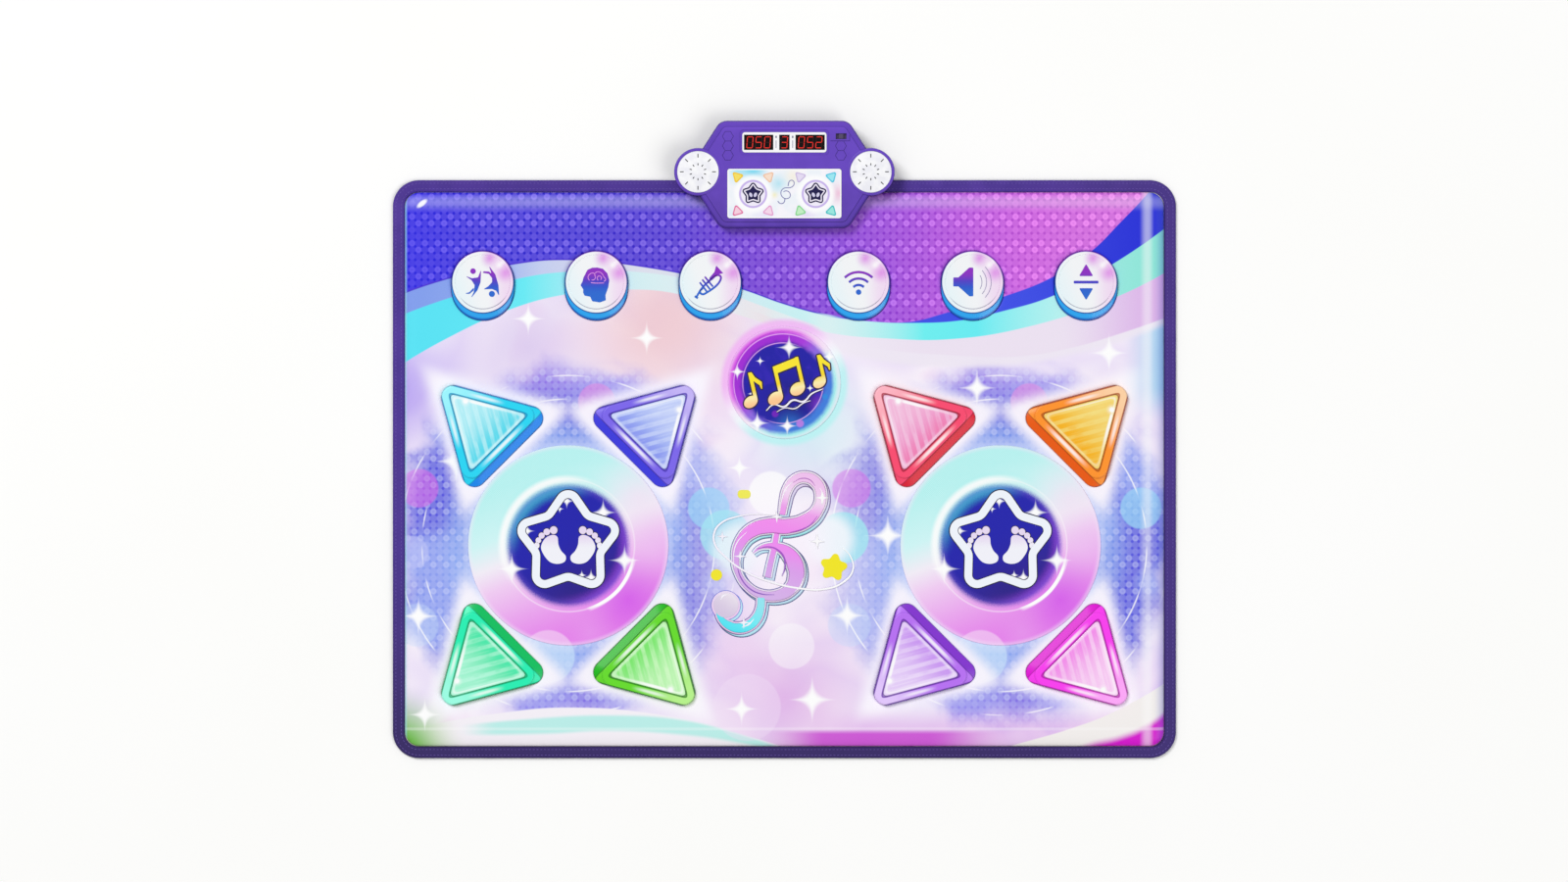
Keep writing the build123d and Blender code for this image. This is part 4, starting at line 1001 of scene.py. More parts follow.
# ---------------------------------------------------------------- the printed cover
@dataclass(frozen=True)
class CoverPrint:
    """The artwork of the cover, laid down band by band, with painted highlights and painted shade along its
    edges.
    """

    dot_pitch: float = 18.0
    row_repeat: float = 37.2
    row_start: float = 5.35
    row_strengths: tuple[float, ...] = (1, 0.9, 0.22, 0.3)
    halo: float = 34.0

    def finish(self) -> Finish:
        """Writes the cover's material.

        Returns:
            The material.
        """
        sheet = Sheet("printed_cover", Coat(roughness=0.45, coat=0.1, coat_roughness=0.25, specular=0.22))
        at = sheet.flat_place()
        x, y, _ = sheet.split(at)
        colour = self.clouds(sheet, at)
        colour = self.play_areas(sheet, x, y, colour)
        colour = self.lower_edge(sheet, at, x, y, colour)
        colour = self.upper_bands(sheet, x, y, colour)
        colour = self.centre_bubbles(sheet, at, colour)
        colour = self.glints(sheet, at, colour)
        colour = self.edge_light(sheet, at, x, y, colour)
        sheet.paint(colour)
        weave = sheet.noise(sheet.place(), 0.9, 3)
        sheet.emboss(weave, 0.4, 0.12)
        return sheet.material

    def clouds(self, sheet: Sheet, at: Wire) -> Wire:
        """The pale ground with its drifts of lilac, peach and pink."""
        drift = sheet.noise(at, 0.0055, 2, 0.6)
        ground = sheet.ramp(
            drift, [(0.3, "F9F3FC"), (0.45, "EDE2F9"), (0.58, "F8F0FB"), (0.72, "F3D9F2")]
        )
        ground = sheet.spots(at, ground, (
            ((-360, 170), 50, 110, "CDB8EA", 0.75),
            ((-170, 205), 90, 80, "F0C8CE", 0.85),
            ((-540, 110), 40, 110, "8E66EE", 0.9),
            ((-540, -60), 20, 90, "B48CF4", 0.6),
            ((0, -320), 60, 130, "DFA8E6", 0.95),
            ((-60, -250), 30, 90, "EBC4EF", 0.6),
            ((40, 60), 50, 80, "C8EEF4", 0.8),
            ((-95, 95), 30, 70, "F4DDF2", 0.8),
            ((545, -330), 30, 90, "D49AF0", 0.6),
            ((-10, -215), 10, 70, "FFFFFF", 0.8),
        ))
        return ground

    def play_areas(self, sheet: Sheet, x: Wire, y: Wire, colour: Wire) -> Wire:
        """The blue fields round the standing discs, the same for both players."""
        side = x.over(0) * (2 * LAYOUT.disc_x) - LAYOUT.disc_x
        across, up = x - side, y - LAYOUT.disc_y
        near = sheet.join(across, up)
        span = sheet.reach(near)
        drift = sheet.noise(near, 0.011, 2, 0.8)
        edge = sheet.reach(sheet.join(across * 0.98, up * 0.97)) + (drift - 0.5) * 80
        field_share = edge.fade(264, 216) * (x.size().fade(70, 165) * 0.5 + 0.5)
        deep = sheet.noise(near, 0.0085, 1, 0.4).fade(0.38, 0.62)
        field = sheet.mix("8A9CF0", "5452DE", deep)
        field = sheet.mix(field, "8FB4F4", span.fade(192, 150) * 0.6)
        for spot in ((0, 205), (2, -206), (-52, 214), (60, 196)):
            field = sheet.mix(field, "6C58DC", sheet.disc(near, spot, 6, 46) * 0.75)
        field = sheet.mix(field, "B08CEE", up.fade(190, 236) * 0.6)
        field = sheet.mix(field, "9C84EC", up.fade(-180, -226) * 0.6)
        texture = self.dots(sheet, across, up)
        field = sheet.mix(field, "D8DEFF", texture * 0.42)
        colour = sheet.mix(colour, field, field_share)
        for centre, radius, ink, share in (
            ((-209, 80), 27, "D868EA", 0.55),
            ((-219, -10), 23, "C4C8FA", 0.5),
            ((197, 52), 29, "9AD8FA", 0.65),
            ((40, 201), 26, "E08CE4", 0.6),
            ((-28, -156), 37, "CBE6FC", 0.6),
            ((-212, -112), 30, "C6DAFB", 0.4),
        ):
            colour = sheet.mix(colour, ink, sheet.disc(near, centre, radius, 1.6) * share)
        rays = sheet.noise(near, 0.02, 0).fade(0.42, 0.6)
        for radius in (205, 238):
            thread = (span - radius).size().fade(1.6, 0.4)
            colour = sheet.mix(colour, WHITE, thread * rays * 0.7)
        return self.halos(sheet, across, up, span, colour)

    def halos(self, sheet: Sheet, across: Wire, up: Wire, span: Wire, colour: Wire) -> Wire:
        """The soft white light round each pad and each standing disc."""
        folded = sheet.join(across.size(), up.size())
        inner = sheet.turned(folded, LAYOUT.pad_offset, 45)
        reach = None
        half = LAYOUT.pad_side / (2 * math.sqrt(3))
        for angle, extra in ((60, 0), (180, LAYOUT.pad_wall), (300, 0)):
            side = sheet.along(inner, angle) - (half + extra)
            reach = side if reach is None else sheet.math("SMOOTH_MAX", reach, side, 26)
        glow = reach.fade(self.halo, 2)
        colour = sheet.mix(colour, "FBF7FF", glow * glow * 0.96)
        ring = span.fade(LAYOUT.disc_radius + 14, LAYOUT.disc_radius + 1)
        return sheet.mix(colour, "E6ECFD", ring * 0.3)

    def dots(self, sheet: Sheet, across: Wire, up: Wire) -> Wire:
        """The texture of paired rows of rings over a fine lattice.

        Args:
            sheet: the material's sheet.
            across: the place across the mat.
            up: the place along its depth.

        Returns:
            The strength of the print, from zero to one.
        """
        pitch, repeat = self.dot_pitch, self.row_repeat
        row = (up - self.row_start).wrap(repeat)
        marks: Wire | None = None
        for k, strength in enumerate(self.row_strengths):
            cell = (across + pitch / 2 * (k % 2)).wrap(pitch) - pitch / 2
            reach = sheet.reach(sheet.join(cell, row - repeat * (k + 0.5) / 4))
            ring = reach.fade(4.9, 3.7) * (reach.fade(0.8, 2.4) * 0.35 + 0.65) * strength
            marks = ring if marks is None else marks.most(ring)
        speck_x = sheet.math("SINE", across * (2 * math.pi / pitch))
        speck_y = sheet.math("COSINE", row * (4 * math.pi / repeat))
        specks = (speck_x * speck_y).size().fade(0.6, 0.95)
        return marks * 0.6 + 0.4 - specks * 0.4

    def upper_bands(self, sheet: Sheet, x: Wire, y: Wire, colour: Wire) -> Wire:
        """The sweeping bands and the dotted violet field behind the keys."""
        low, high = -560, 560

        def above(points: Sequence[Point], soft: float = 0.9) -> Wire:
            """One above a curve and zero below it."""
            return (y - sheet.curve(x, points, low, high)).fade(-soft, soft)

        left_veil = above([(-560, 132), (-470, 185), (-379, 226), (-307, 245), (-224, 252), (-151, 246),
            (-60, 215), (60, 178)])
        colour = sheet.mix(colour, "7FCDF0", x.fade(470, 540) * y.fade(60, 120) * 0.8)
        pale = sheet.ramp(
            x.fade(-540, 540),
            [(0, "54E2F4"), (0.07, "66EAF4"), (0.13, "A4EEF4"), (0.2, "CFEEF2"), (0.34, "E4F0F2"),
             (0.46, "ECE4EA"), (0.6, "A8F0F2"), (0.68, "EFEAF2"), (0.85, "E6D0F0"), (0.97, "D49CE4")],
        )
        colour = sheet.mix(colour, "EFE8F4", above([(-20, 190), (100, 158), (240, 143), (400, 160),
            (560, 214)], 6) * x.fade(20, 120) * 0.9)
        colour = sheet.mix(colour, sheet.mix("EDE2F2", "DDB4EA", x.fade(380, 530)),
            above([(100, 172), (228, 160), (330, 158), (405, 171), (470, 190), (560, 222)],
            1.5) * x.fade(90, 200))
        aqua = above([(-60, 228), (60, 192), (150, 183), (228, 182), (330, 197), (462, 240),
            (560, 291)]) * x.fade(-70, 40)
        aqua_ink = sheet.ramp(x.fade(0, 540), [(0, "E4F2F3"), (0.3, "6CEFF0"), (0.5, "66ECF2"),
            (0.8, "B6F2F0"), (1, "8CE6D8")])
        colour = sheet.mix(colour, pale, left_veil * x.fade(60, -20))
        colour = sheet.mix(colour, aqua_ink, aqua)
        grey = above([(-560, 207), (-470, 240), (-379, 266), (-303, 277), (-200, 276), (-120, 262),
            (-40, 232), (60, 196)])
        grey_ink = sheet.ramp(x.fade(-540, 60), [(0, "7F9CEC"), (0.12, "9CB4EE"), (0.26, "C4CEF0"),
            (0.45, "DCDCEC"), (0.75, "DDE2EE"), (1, "C8F2F4")])
        colour = sheet.mix(colour, grey_ink, grey * x.fade(70, 20))
        blue = above([(60, 214), (125, 207), (179, 205), (250, 209), (304, 221), (374, 242), (461, 288),
            (560, 358)])
        blue_ink = sheet.mix("3A4CE6", "1E2AD8", x.fade(300, 520))
        colour = sheet.mix(colour, blue_ink, blue * x.fade(50, 90))
        field = sheet.ramp(
            x.fade(-560, 560),
            [(0.02, "1A12EE"), (0.16, "2E1CE6"), (0.3, "4A22E2"), (0.44, "7A2EE4"),
             (0.58, "9238EA"), (0.74, "BE48EE"), (0.9, "EC62F2"), (1, "F878F0")],
        )
        texture = self.dots(sheet, x, y)
        bright = sheet.mix(field, "E6C8FF", 0.24)
        dark = sheet.mix(field, "1C0C96", 0.46)
        cloth = sheet.mix(dark, bright, texture)
        field = sheet.mix(field, cloth, x.fade(-560, -400) * 0.5 + 0.45)
        veil = above([(-560, 238), (-470, 269), (-379, 289), (-314, 295), (-190, 284), (-63, 255), (0, 233),
            (56, 218), (125, 207),
                      (179, 207), (226, 219), (304, 241), (377, 270), (432, 307), (470, 345), (509,
                          386), (540, 424)])
        colour = sheet.mix(colour, "4A2AD0", above([(-560, 236), (-470, 267), (-379, 287), (-314, 293),
            (-190, 282), (-63, 253), (0, 231), (56, 216), (125, 205)]) * x.fade(70, 40))
        return sheet.mix(colour, field, veil)

    def lower_edge(self, sheet: Sheet, at: Wire, x: Wire, y: Wire, colour: Wire) -> Wire:
        """The corner glows, the pale wave and the white swoosh along the players' edge."""
        low, high = -560, 560

        def below(points: Sequence[Point], soft: float = 1.0) -> Wire:
            """One below a curve and zero above it."""
            return (y - sheet.curve(x, points, low, high)).fade(soft, -soft)

        colour = sheet.mix(colour, "DFA0E8", y.fade(-330, -366) * x.fade(20, 120) * 0.5)
        wave = below([(-560, -372), (-501, -359), (-400, -342), (-307, -334), (-163, -346), (-60, -372),
            (6, -392), (100, -430)], 1.2)
        colour = sheet.mix(colour, "F6F1F8", wave)
        aqua = below([(-480, -362), (-379, -352), (-249, -345), (-141, -352), (-55, -374), (20, -400)], 3)
        aqua = aqua * (y - sheet.curve(x, [(-480, -372), (-330, -370), (-249, -366), (-141, -372),
            (-80, -380), (20, -404)], low, high)).fade(-4, 3)
        colour = sheet.mix(colour, "BCEFEA", aqua * x.fade(-460, -400))
        strip = y.fade(-362, -372) * x.fade(-40, 60) * x.fade(330, 200)
        colour = sheet.mix(colour, "CC3ED4", strip * 0.9)
        swoosh = below([(220, -425), (316, -389), (400, -364), (460, -341), (560, -283)], 1) * x.fade(200,
            240)
        colour = sheet.mix(colour, "F4F0EE", swoosh)
        corner = below([(380, -420), (417, -391), (470, -376), (505, -362), (560, -318)], 7) * x.fade(380,
            440)
        colour = sheet.mix(colour, "D800D0", corner)
        glow = sheet.disc(at, (-548, -404), 64, 44)
        colour = sheet.mix(colour, sheet.mix("5CB818", "9CD05C", x.fade(-530, -440)), glow)
        return colour

    def centre_bubbles(self, sheet: Sheet, at: Wire, colour: Wire) -> Wire:
        """The clouds and bubbles behind the clef, and the light round the badge."""
        colour = sheet.spots(at, colour, (
            ((-19, -34), 31, 2, "FFFFFF", 0.75),
            ((-83, -92), 35, 1.5, "A4E6F4", 0.75),
            ((82, -96), 36, 1.5, "A0EAF2", 0.75),
            ((-66, -112), 34, 12, "E9F5FC", 0.9),
            ((62, -98), 34, 12, "F4F8FE", 0.9),
            ((0, -105), 60, 30, "FBF5FF", 0.8),
            ((-52, -334), 47, 1.5, "F3E2F8", 0.35),
            ((10, -248), 32, 1.5, "FFFFFF", 0.4),
        ))
        own = sheet.turned(at, (0, LAYOUT.badge_y), 0)
        rose = sheet.along(own, 125).fade(-60, 60)
        light = sheet.ramp(rose, [(0.1, "B8F3F3"), (0.4, "F0FAFC"), (0.6, "F8F0FC"), (0.95, "F2B4F4")])
        return sheet.mix(colour, light, sheet.reach(own).fade(93, 84) * 0.85)

    def glints(self, sheet: Sheet, at: Wire, colour: Wire) -> Wire:
        """White sparkles scattered over the print."""
        shine = sheet.glints(at, (
            ((-359, 211), 26), ((-193, 184), 26), ((-460, 11), 34), ((-513, -206), 30),
            ((455, 163), 30), ((270, 114), 30), ((145, -93), 34), ((88, -205), 30),
            ((39, -323), 36), ((-60, -336), 26), ((-504, -344), 26), ((-63, 2), 20),
        ), 1.25)
        return sheet.mix(colour, WHITE, shine)

    def edge_light(self, sheet: Sheet, at: Wire, x: Wire, y: Wire, colour: Wire) -> Wire:
        """Painted highlights and painted shade along the edges, which make the rolled edge look padded, and a
        painted glint at the top-left corner.
        """
        # painted highlight band inside the right edge and painted shade at the right edge, painted highlight
        # lines along the bottom and top edges, and a painted cyan highlight line along the left edge
        colour = sheet.mix(colour, WHITE, x.fade(497, 508) * x.fade(519, 510) * 0.38)
        colour = sheet.mix(colour, "3A4CC8", x.fade(516, 534) * 0.45)
        colour = sheet.mix(colour, WHITE, (y + 364).size().fade(3.2, 0.6) * 0.25)
        colour = sheet.mix(colour, WHITE, y.fade(360, 374) * y.fade(388, 376) * 0.16)
        colour = sheet.mix(colour, "A8F0FF", x.fade(-528, -532) * 0.6)
        # painted glint at the top-left corner
        own = sheet.turned(at, (-508, 372.5), 38)
        along, off, _ = sheet.split(own)
        painted_corner_glint = sheet.reach(sheet.join(along, off * 2.4)).fade(11, 5)
        return sheet.mix(colour, WHITE, painted_corner_glint * 0.9)


@dataclass
class PaddedCover:
    """The printed skin: flat where things lie on it, rolled at its edge, with an opening for each pad and key."""

    skin: float = 1.8
    roll: float = 22.0
    roll_power: float = 2.6
    foot: float = 5.3
    hem_drop: float = 0.9
    clearance: float = 0.5
    grid: float = 8.5
    puff: float = 0.7
    dip: float = 0.9
    dip_reach: float = 7.0
    slack: float = 30.0
    held_slack: float = 25.0
    console_half: float = 142.0
    console_front: float = 330.0

    def openings(self) -> list[np.ndarray]:
        """The outlines of all openings, in the frame of the mat."""
        pads = [
            turned(LAYOUT.triangle(-self.clearance, LAYOUT.pad_wall, 2), spot.centre,
                spot.turn) for spot in StepPadSpot
        ]
        keys = [LAYOUT.key_foot(self.clearance) + np.asarray(spot.centre) for spot in KeySpot]
        return [densified(outline, 5) for outline in pads + keys]

    def level(self, reach: np.ndarray) -> np.ndarray:
        """Height of the rolled edge at a distance in from the panel's outline."""
        share = np.clip(1 - reach / self.roll, 0, 1)
        rise = (1 - share**self.roll_power) ** (1 / self.roll_power)
        return self.foot + (LAYOUT.cover_top - self.foot) * rise

    def swell(self, points: np.ndarray, holes: Sequence[np.ndarray], reach: np.ndarray) -> np.ndarray:
        """The stuffing's swell, with dips at the openings and fine creases.

        Args:
            points: the places measured.
            holes: the outlines of the openings.
            reach: each place's distance in from the edge.

        Returns:
            What is added to the height.
        """
        gap = np.min([far_from(points, hole) for hole in holes], axis=0)
        x, y = points[:, 0], points[:, 1]
        free = np.clip(gap / self.slack, 0, 1) * np.clip((reach - 10) / self.slack, 0, 1)
        for centre, radius in (
            ((-LAYOUT.disc_x, LAYOUT.disc_y), LAYOUT.disc_radius),
            ((LAYOUT.disc_x, LAYOUT.disc_y), LAYOUT.disc_radius),
            ((0, LAYOUT.badge_y), LAYOUT.badge_radius),
        ):
            free *= np.clip((np.hypot(x - centre[0], y - centre[1]) - radius - 3) / self.held_slack, 0, 1)
        free *= np.clip(np.maximum(np.abs(x) - self.console_half, self.console_front - y) / self.held_slack,
            0, 1)
        crease = np.sin(x / 37 + 2 * np.sin(y / 53)) * np.sin(y / 41 + 1.5 * np.sin(x / 61))
        ripple = np.sin((x + y) / 9) * np.sin((x - y) / 13) * np.clip(1 - reach / 60, 0, 1) * 0.12
        dip = self.dip * np.clip(1 - gap / self.dip_reach, 0, 1) ** 2
        return free * (self.puff + 0.3 * crease + ripple) - dip * np.clip(reach / self.slack, 0, 1)

    def carry(self, piece: Piece) -> None:
        """Lifts a puffed print with the swell of the cover under it."""
        places = np.zeros(len(piece.data.vertices) * 3)
        piece.data.vertices.foreach_get("co", places)
        places = places.reshape(-1, 3)
        flat = places[:, :2] / MM
        reach = np.maximum(-far_from(flat, densified(LAYOUT.panel(), 8)), 0)
        places[:, 2] += self.swell(flat, self.openings(), reach) * MM
        piece.data.vertices.foreach_set("co", places.ravel())

    def build(self) -> Piece:
        """Makes the closed skin.

        Returns:
            The cover piece.
        """
        panel = densified(LAYOUT.panel(), 8)
        holes = self.openings()
        loops = [panel, *holes]
        fixed = np.vstack(loops)
        edges, start = [], 0
        for loop in loops:
            edges += [(start + k, start + (k + 1) % len(loop)) for k in range(len(loop))]
            start += len(loop)
        extra = [densified(LAYOUT.panel(inset), 8) for inset in (0.7, 1.7, 3.2, 5.2, 8, 11.5, 15.5, 20, 25)]
        for hole in holes:
            extra += [shifted(hole, growth) for growth in (1.6, 4, 7.5)]
        xs = np.arange(-540, 541, self.grid)
        ys = np.arange(-400, 401, self.grid * 0.87)
        inner = np.array([(x + (self.grid / 2 if k % 2 else 0), y) for k, y in enumerate(ys) for x in xs])
        inner = inner[far_from(inner, panel) < -29]
        away = np.min([far_from(inner, hole) for hole in holes], axis=0)
        points = np.vstack([fixed, *extra, inner[away > 10.5]])
        seeds = [Vector((float(x), float(y))) for x, y in points]
        flat, _, faces, *_ = delaunay_2d_cdt(seeds, edges, [], 0, 0.001)
        flat = np.array([(v.x, v.y) for v in flat])
        triangles = np.array([f for f in faces if len(f) == 3])
        middle = flat[triangles].mean(axis=1)
        keep = far_from(middle, panel) < 0
        for hole in holes:
            keep &= far_from(middle, hole) > 0
        triangles = triangles[keep]
        return self.shell(flat, triangles, panel, holes)

    def shell(self, flat: np.ndarray, triangles: np.ndarray, panel: np.ndarray,
        holes: Sequence[np.ndarray]) -> Piece:
        """Raises the flat triangles into a skin with a top, an underside and rims.

        Args:
            flat: the flat points.
            triangles: the triangles kept.
            panel: the outer outline.
            holes: the outlines of the openings.

        Returns:
            The closed skin.
        """
        used, index = np.unique(triangles, return_inverse=True)
        flat, triangles = flat[used], index.reshape(triangles.shape)
        reach = np.maximum(-far_from(flat, panel), 0)
        top = self.level(reach) + self.swell(flat, holes, reach)
        under = self.level(np.maximum(reach - self.skin, 0)) - np.where(reach <= self.skin, self.hem_drop,
            self.skin)
        under = np.minimum(under, top - 0.8)
        count = len(flat)
        points = np.vstack([np.c_[flat, top], np.c_[flat, under]])
        upper = [(a, b, c) for a, b, c in triangles]
        a, b, c = points[upper[0][0]], points[upper[0][1]], points[upper[0][2]]
        if np.cross(b - a, c - a)[2] < 0:
            upper = [(p, r, q) for p, q, r in upper]
        lower = [(r + count, q + count, p + count) for p, q, r in upper]
        sides = {}
        for p, q, r in upper:
            for edge in ((p, q), (q, r), (r, p)):
                sides[edge] = True
        rims = [(q, p, p + count, q + count) for p, q in sides if (q, p) not in sides]
        return mesh_piece("padded_cover", points, upper + lower + rims)


# ---------------------------------------------------------------- edge binding and underside
@dataclass
class EdgeTape:
    """The cloth tape round the mat, with its two rows of stitches."""

    height: float = 6.0
    cloth: float = 0.8
    stitch_pitch: float = 5.2
    stitch_length: float = 3.4
    stitch_radius: float = 0.36
    stitch_rows: tuple[Point, ...] = ((12.4, 5.9), (4.6, 5.72))
    step: float = 5.0

    def profile(self) -> list[tuple[float, float]]:
        """Inset from the outer edge and height, round the folded tape."""
        return [
            (16.9, 5), (16.6, 5.9), (14.6, 6), (12.6, 5.75), (10.4, 5.95), (7.6, 6), (5.2, 5.8), (4.4, 5.7),
            (3.2, 5.75), (1.7, 5.3), (0.7, 4.4), (0.2, 3.3), (0.2, 2.3), (0.8, 1.1), (1.9, 0.3), (3.6, 0.05),
            (8, 0), (13, 0), (16.4, 0.05), (16.9, 0.5), (13, 0.85), (5, 0.85), (2.2, 1.5), (1.5, 2.8),
            (2.4, 4.2), (6, 4.9), (12, 4.95),
        ]

    def build(self) -> Piece:
        """Sweeps the folded tape round the mat.

        Returns:
            The tape.
        """
        outline = densified(LAYOUT.plate(step=2.5), self.step)
        profile = self.profile()
        walk = np.arange(len(outline))
        wave = 0.14 * np.sin(walk * 0.9) + 0.1 * np.sin(walk * 0.37 + 1)
        rings = []
        for k, (inset, height) in enumerate(profile):
            loose = wave if 1 <= k <= 12 and height > 1 else 0 * wave
            ring = shifted(outline, -inset) if inset else outline
            rings.append(np.c_[ring, np.minimum(height + loose * 0.6, self.height)])
        points = np.vstack(rings)
        count, around = len(profile), len(outline)
        faces = []
        for k in range(count):
            for j in range(around):
                here, after = k * around + j, k * around + (j + 1) % around
                up = (k + 1) % count * around
                faces.append((here, up + j, up + (j + 1) % around, after))
        tape = mesh_piece("edge_tape", points, faces)
        weld(tape)
        return tape

    def finish(self) -> Finish:
        """The woven tape with a fine twill, with painted shade towards the front edge and the right side, and
        painted shade where it turns under.
        """
        sheet = Sheet("woven_tape", Coat(roughness=0.66, specular=0.2))
        at = sheet.place()
        x, y, z = sheet.split(at)
        wear = sheet.noise(at, 0.012, 3)
        cloth = sheet.ramp(wear, [(0.3, "55389C"), (0.55, "4B3390"), (0.75, "5D3FA6")])
        # painted shade towards the front edge and on the right side
        cloth = sheet.mix(cloth, "32265A", y.fade(-60, -396) * 0.85)
        cloth = sheet.mix(cloth, "45337E", x.fade(300, 540) * 0.6)
        rib = sheet.math("SINE", (x + y) * 2.6) * sheet.math("SINE", (x - y) * 2.6)
        cloth = sheet.mix(cloth, "2E2060", rib.fade(0.2, 1) * 0.3)
        # painted shade low on the tape, where it turns under
        sheet.paint(sheet.mix(cloth, "2A1C58", z.fade(4.6, 1) * 0.7))
        sheet.emboss(rib, 0.25, 0.35)
        return sheet.material

    def thread(self) -> Finish:
        """Sewing thread a shade lighter than the tape."""
        sheet = Sheet("sewing_thread", Coat(roughness=0.55, sheen=0.3))
        twist = sheet.noise(sheet.place(), 1.5, 1)
        sheet.paint(sheet.ramp(twist, [(0.35, "5F46A6"), (0.65, "7A60C4")]))
        return sheet.material


class NodeRun:
    """Builds a tree of geometry nodes that repeats a small shape, and applies it."""

    def __init__(self, name: str, inputs: Sequence[tuple[str, str, float]]) -> None:
        """Starts a tree.

        Args:
            name: the tree's name.
            inputs: a name, a socket type and a value for each of its sizes.
        """
        self.tree = bpy.data.node_groups.new(name, "GeometryNodeTree")
        face = self.tree.interface
        face.new_socket("Geometry", in_out="INPUT", socket_type="NodeSocketGeometry")
        self.values = {}
        for label, kind, value in inputs:
            socket = face.new_socket(label, in_out="INPUT", socket_type=kind)
            self.values[socket.identifier] = value
        face.new_socket("Geometry", in_out="OUTPUT", socket_type="NodeSocketGeometry")
        self.start = self.node("NodeGroupInput")
        self.end = self.node("NodeGroupOutput")

    def node(self, kind: str, **settings: object) -> Node:
        """Adds a node and sets its properties."""
        made = self.tree.nodes.new(kind)
        for key, value in settings.items():
            setattr(made, key, value)
        return made

    def link(self, source: Socket, target: Socket) -> None:
        """Links two sockets."""
        self.tree.links.new(source, target)

    def close(self, geometry: Socket, finish: Finish) -> None:
        """Ends the tree in real geometry with its material.

        Args:
            geometry: what the tree has made.
            finish: the material set on it.
        """
        real = self.node("GeometryNodeRealizeInstances")
        coat = self.node("GeometryNodeSetMaterial")
        coat.inputs["Material"].default_value = finish
        self.link(geometry, real.inputs[0])
        self.link(real.outputs[0], coat.inputs["Geometry"])
        self.link(coat.outputs[0], self.end.inputs[0])

    def apply(self, carrier: Piece) -> Piece:
        """Runs the tree on an object and keeps the mesh that it makes.

        Args:
            carrier: the object that the tree reads.

        Returns:
            A plain object in its place.
        """
        modifier = carrier.modifiers.new(self.tree.name, "NODES")
        modifier.node_group = self.tree
        for identifier, value in self.values.items():
            modifier[identifier] = value
        made = settled(carrier)
        made.data.shade_smooth()
        return made


def stitch_row(name: str, outline: np.ndarray, level: float, pitch: float, length: float, radius: float,
               finish: Finish) -> Piece:
    """Sews a row of stitches along a closed outline.

    Args:
        name: the piece's name.
        outline: the path of the seam.
        level: the height that the thread lies at.
        pitch: the distance from stitch to stitch.
        length: how long each one shows.
        radius: the thread's radius.
        finish: its material.

    Returns:
        The stitches as one mesh.
    """
    path = bpy.data.curves.new(name, "CURVE")
    path.dimensions = "3D"
    spline = path.splines.new("POLY")
    spline.points.add(len(outline) - 1)
    for point, (x, y) in zip(spline.points, outline):
        point.co = (x * MM, y * MM, level * MM, 1)
    spline.use_cyclic_u = True
    carrier = linked(name, path)
    run = NodeRun(
        "stitch_run",
        [("Pitch", "NodeSocketFloat", pitch * MM), ("Length", "NodeSocketFloat", length * MM),
            ("Radius", "NodeSocketFloat", radius * MM)],
    )
    spread = run.node("GeometryNodeResampleCurve", mode="LENGTH")
    run.link(run.start.outputs["Geometry"], spread.inputs["Curve"])
    run.link(run.start.outputs["Pitch"], spread.inputs["Length"])
    ball = run.node("GeometryNodeMeshUVSphere")
    ball.inputs["Segments"].default_value = 6
    ball.inputs["Rings"].default_value = 4
    ball.inputs["Radius"].default_value = 1
    half = run.node("ShaderNodeMath", operation="MULTIPLY")
    half.inputs[1].default_value = 0.5
    run.link(run.start.outputs["Length"], half.inputs[0])
    sizes = run.node("ShaderNodeCombineXYZ")
    run.link(run.start.outputs["Radius"], sizes.inputs[0])
    run.link(run.start.outputs["Radius"], sizes.inputs[1])
    run.link(half.outputs[0], sizes.inputs[2])
    turn = run.node("FunctionNodeAlignRotationToVector", axis="Z")
    run.link(run.node("GeometryNodeInputTangent").outputs[0], turn.inputs["Vector"])
    sewn = run.node("GeometryNodeInstanceOnPoints")
    run.link(spread.outputs["Curve"], sewn.inputs["Points"])
    run.link(ball.outputs["Mesh"], sewn.inputs["Instance"])
    run.link(turn.outputs[0], sewn.inputs["Rotation"])
    run.link(sizes.outputs[0], sewn.inputs["Scale"])
    run.close(sewn.outputs[0], finish)
    return run.apply(carrier)


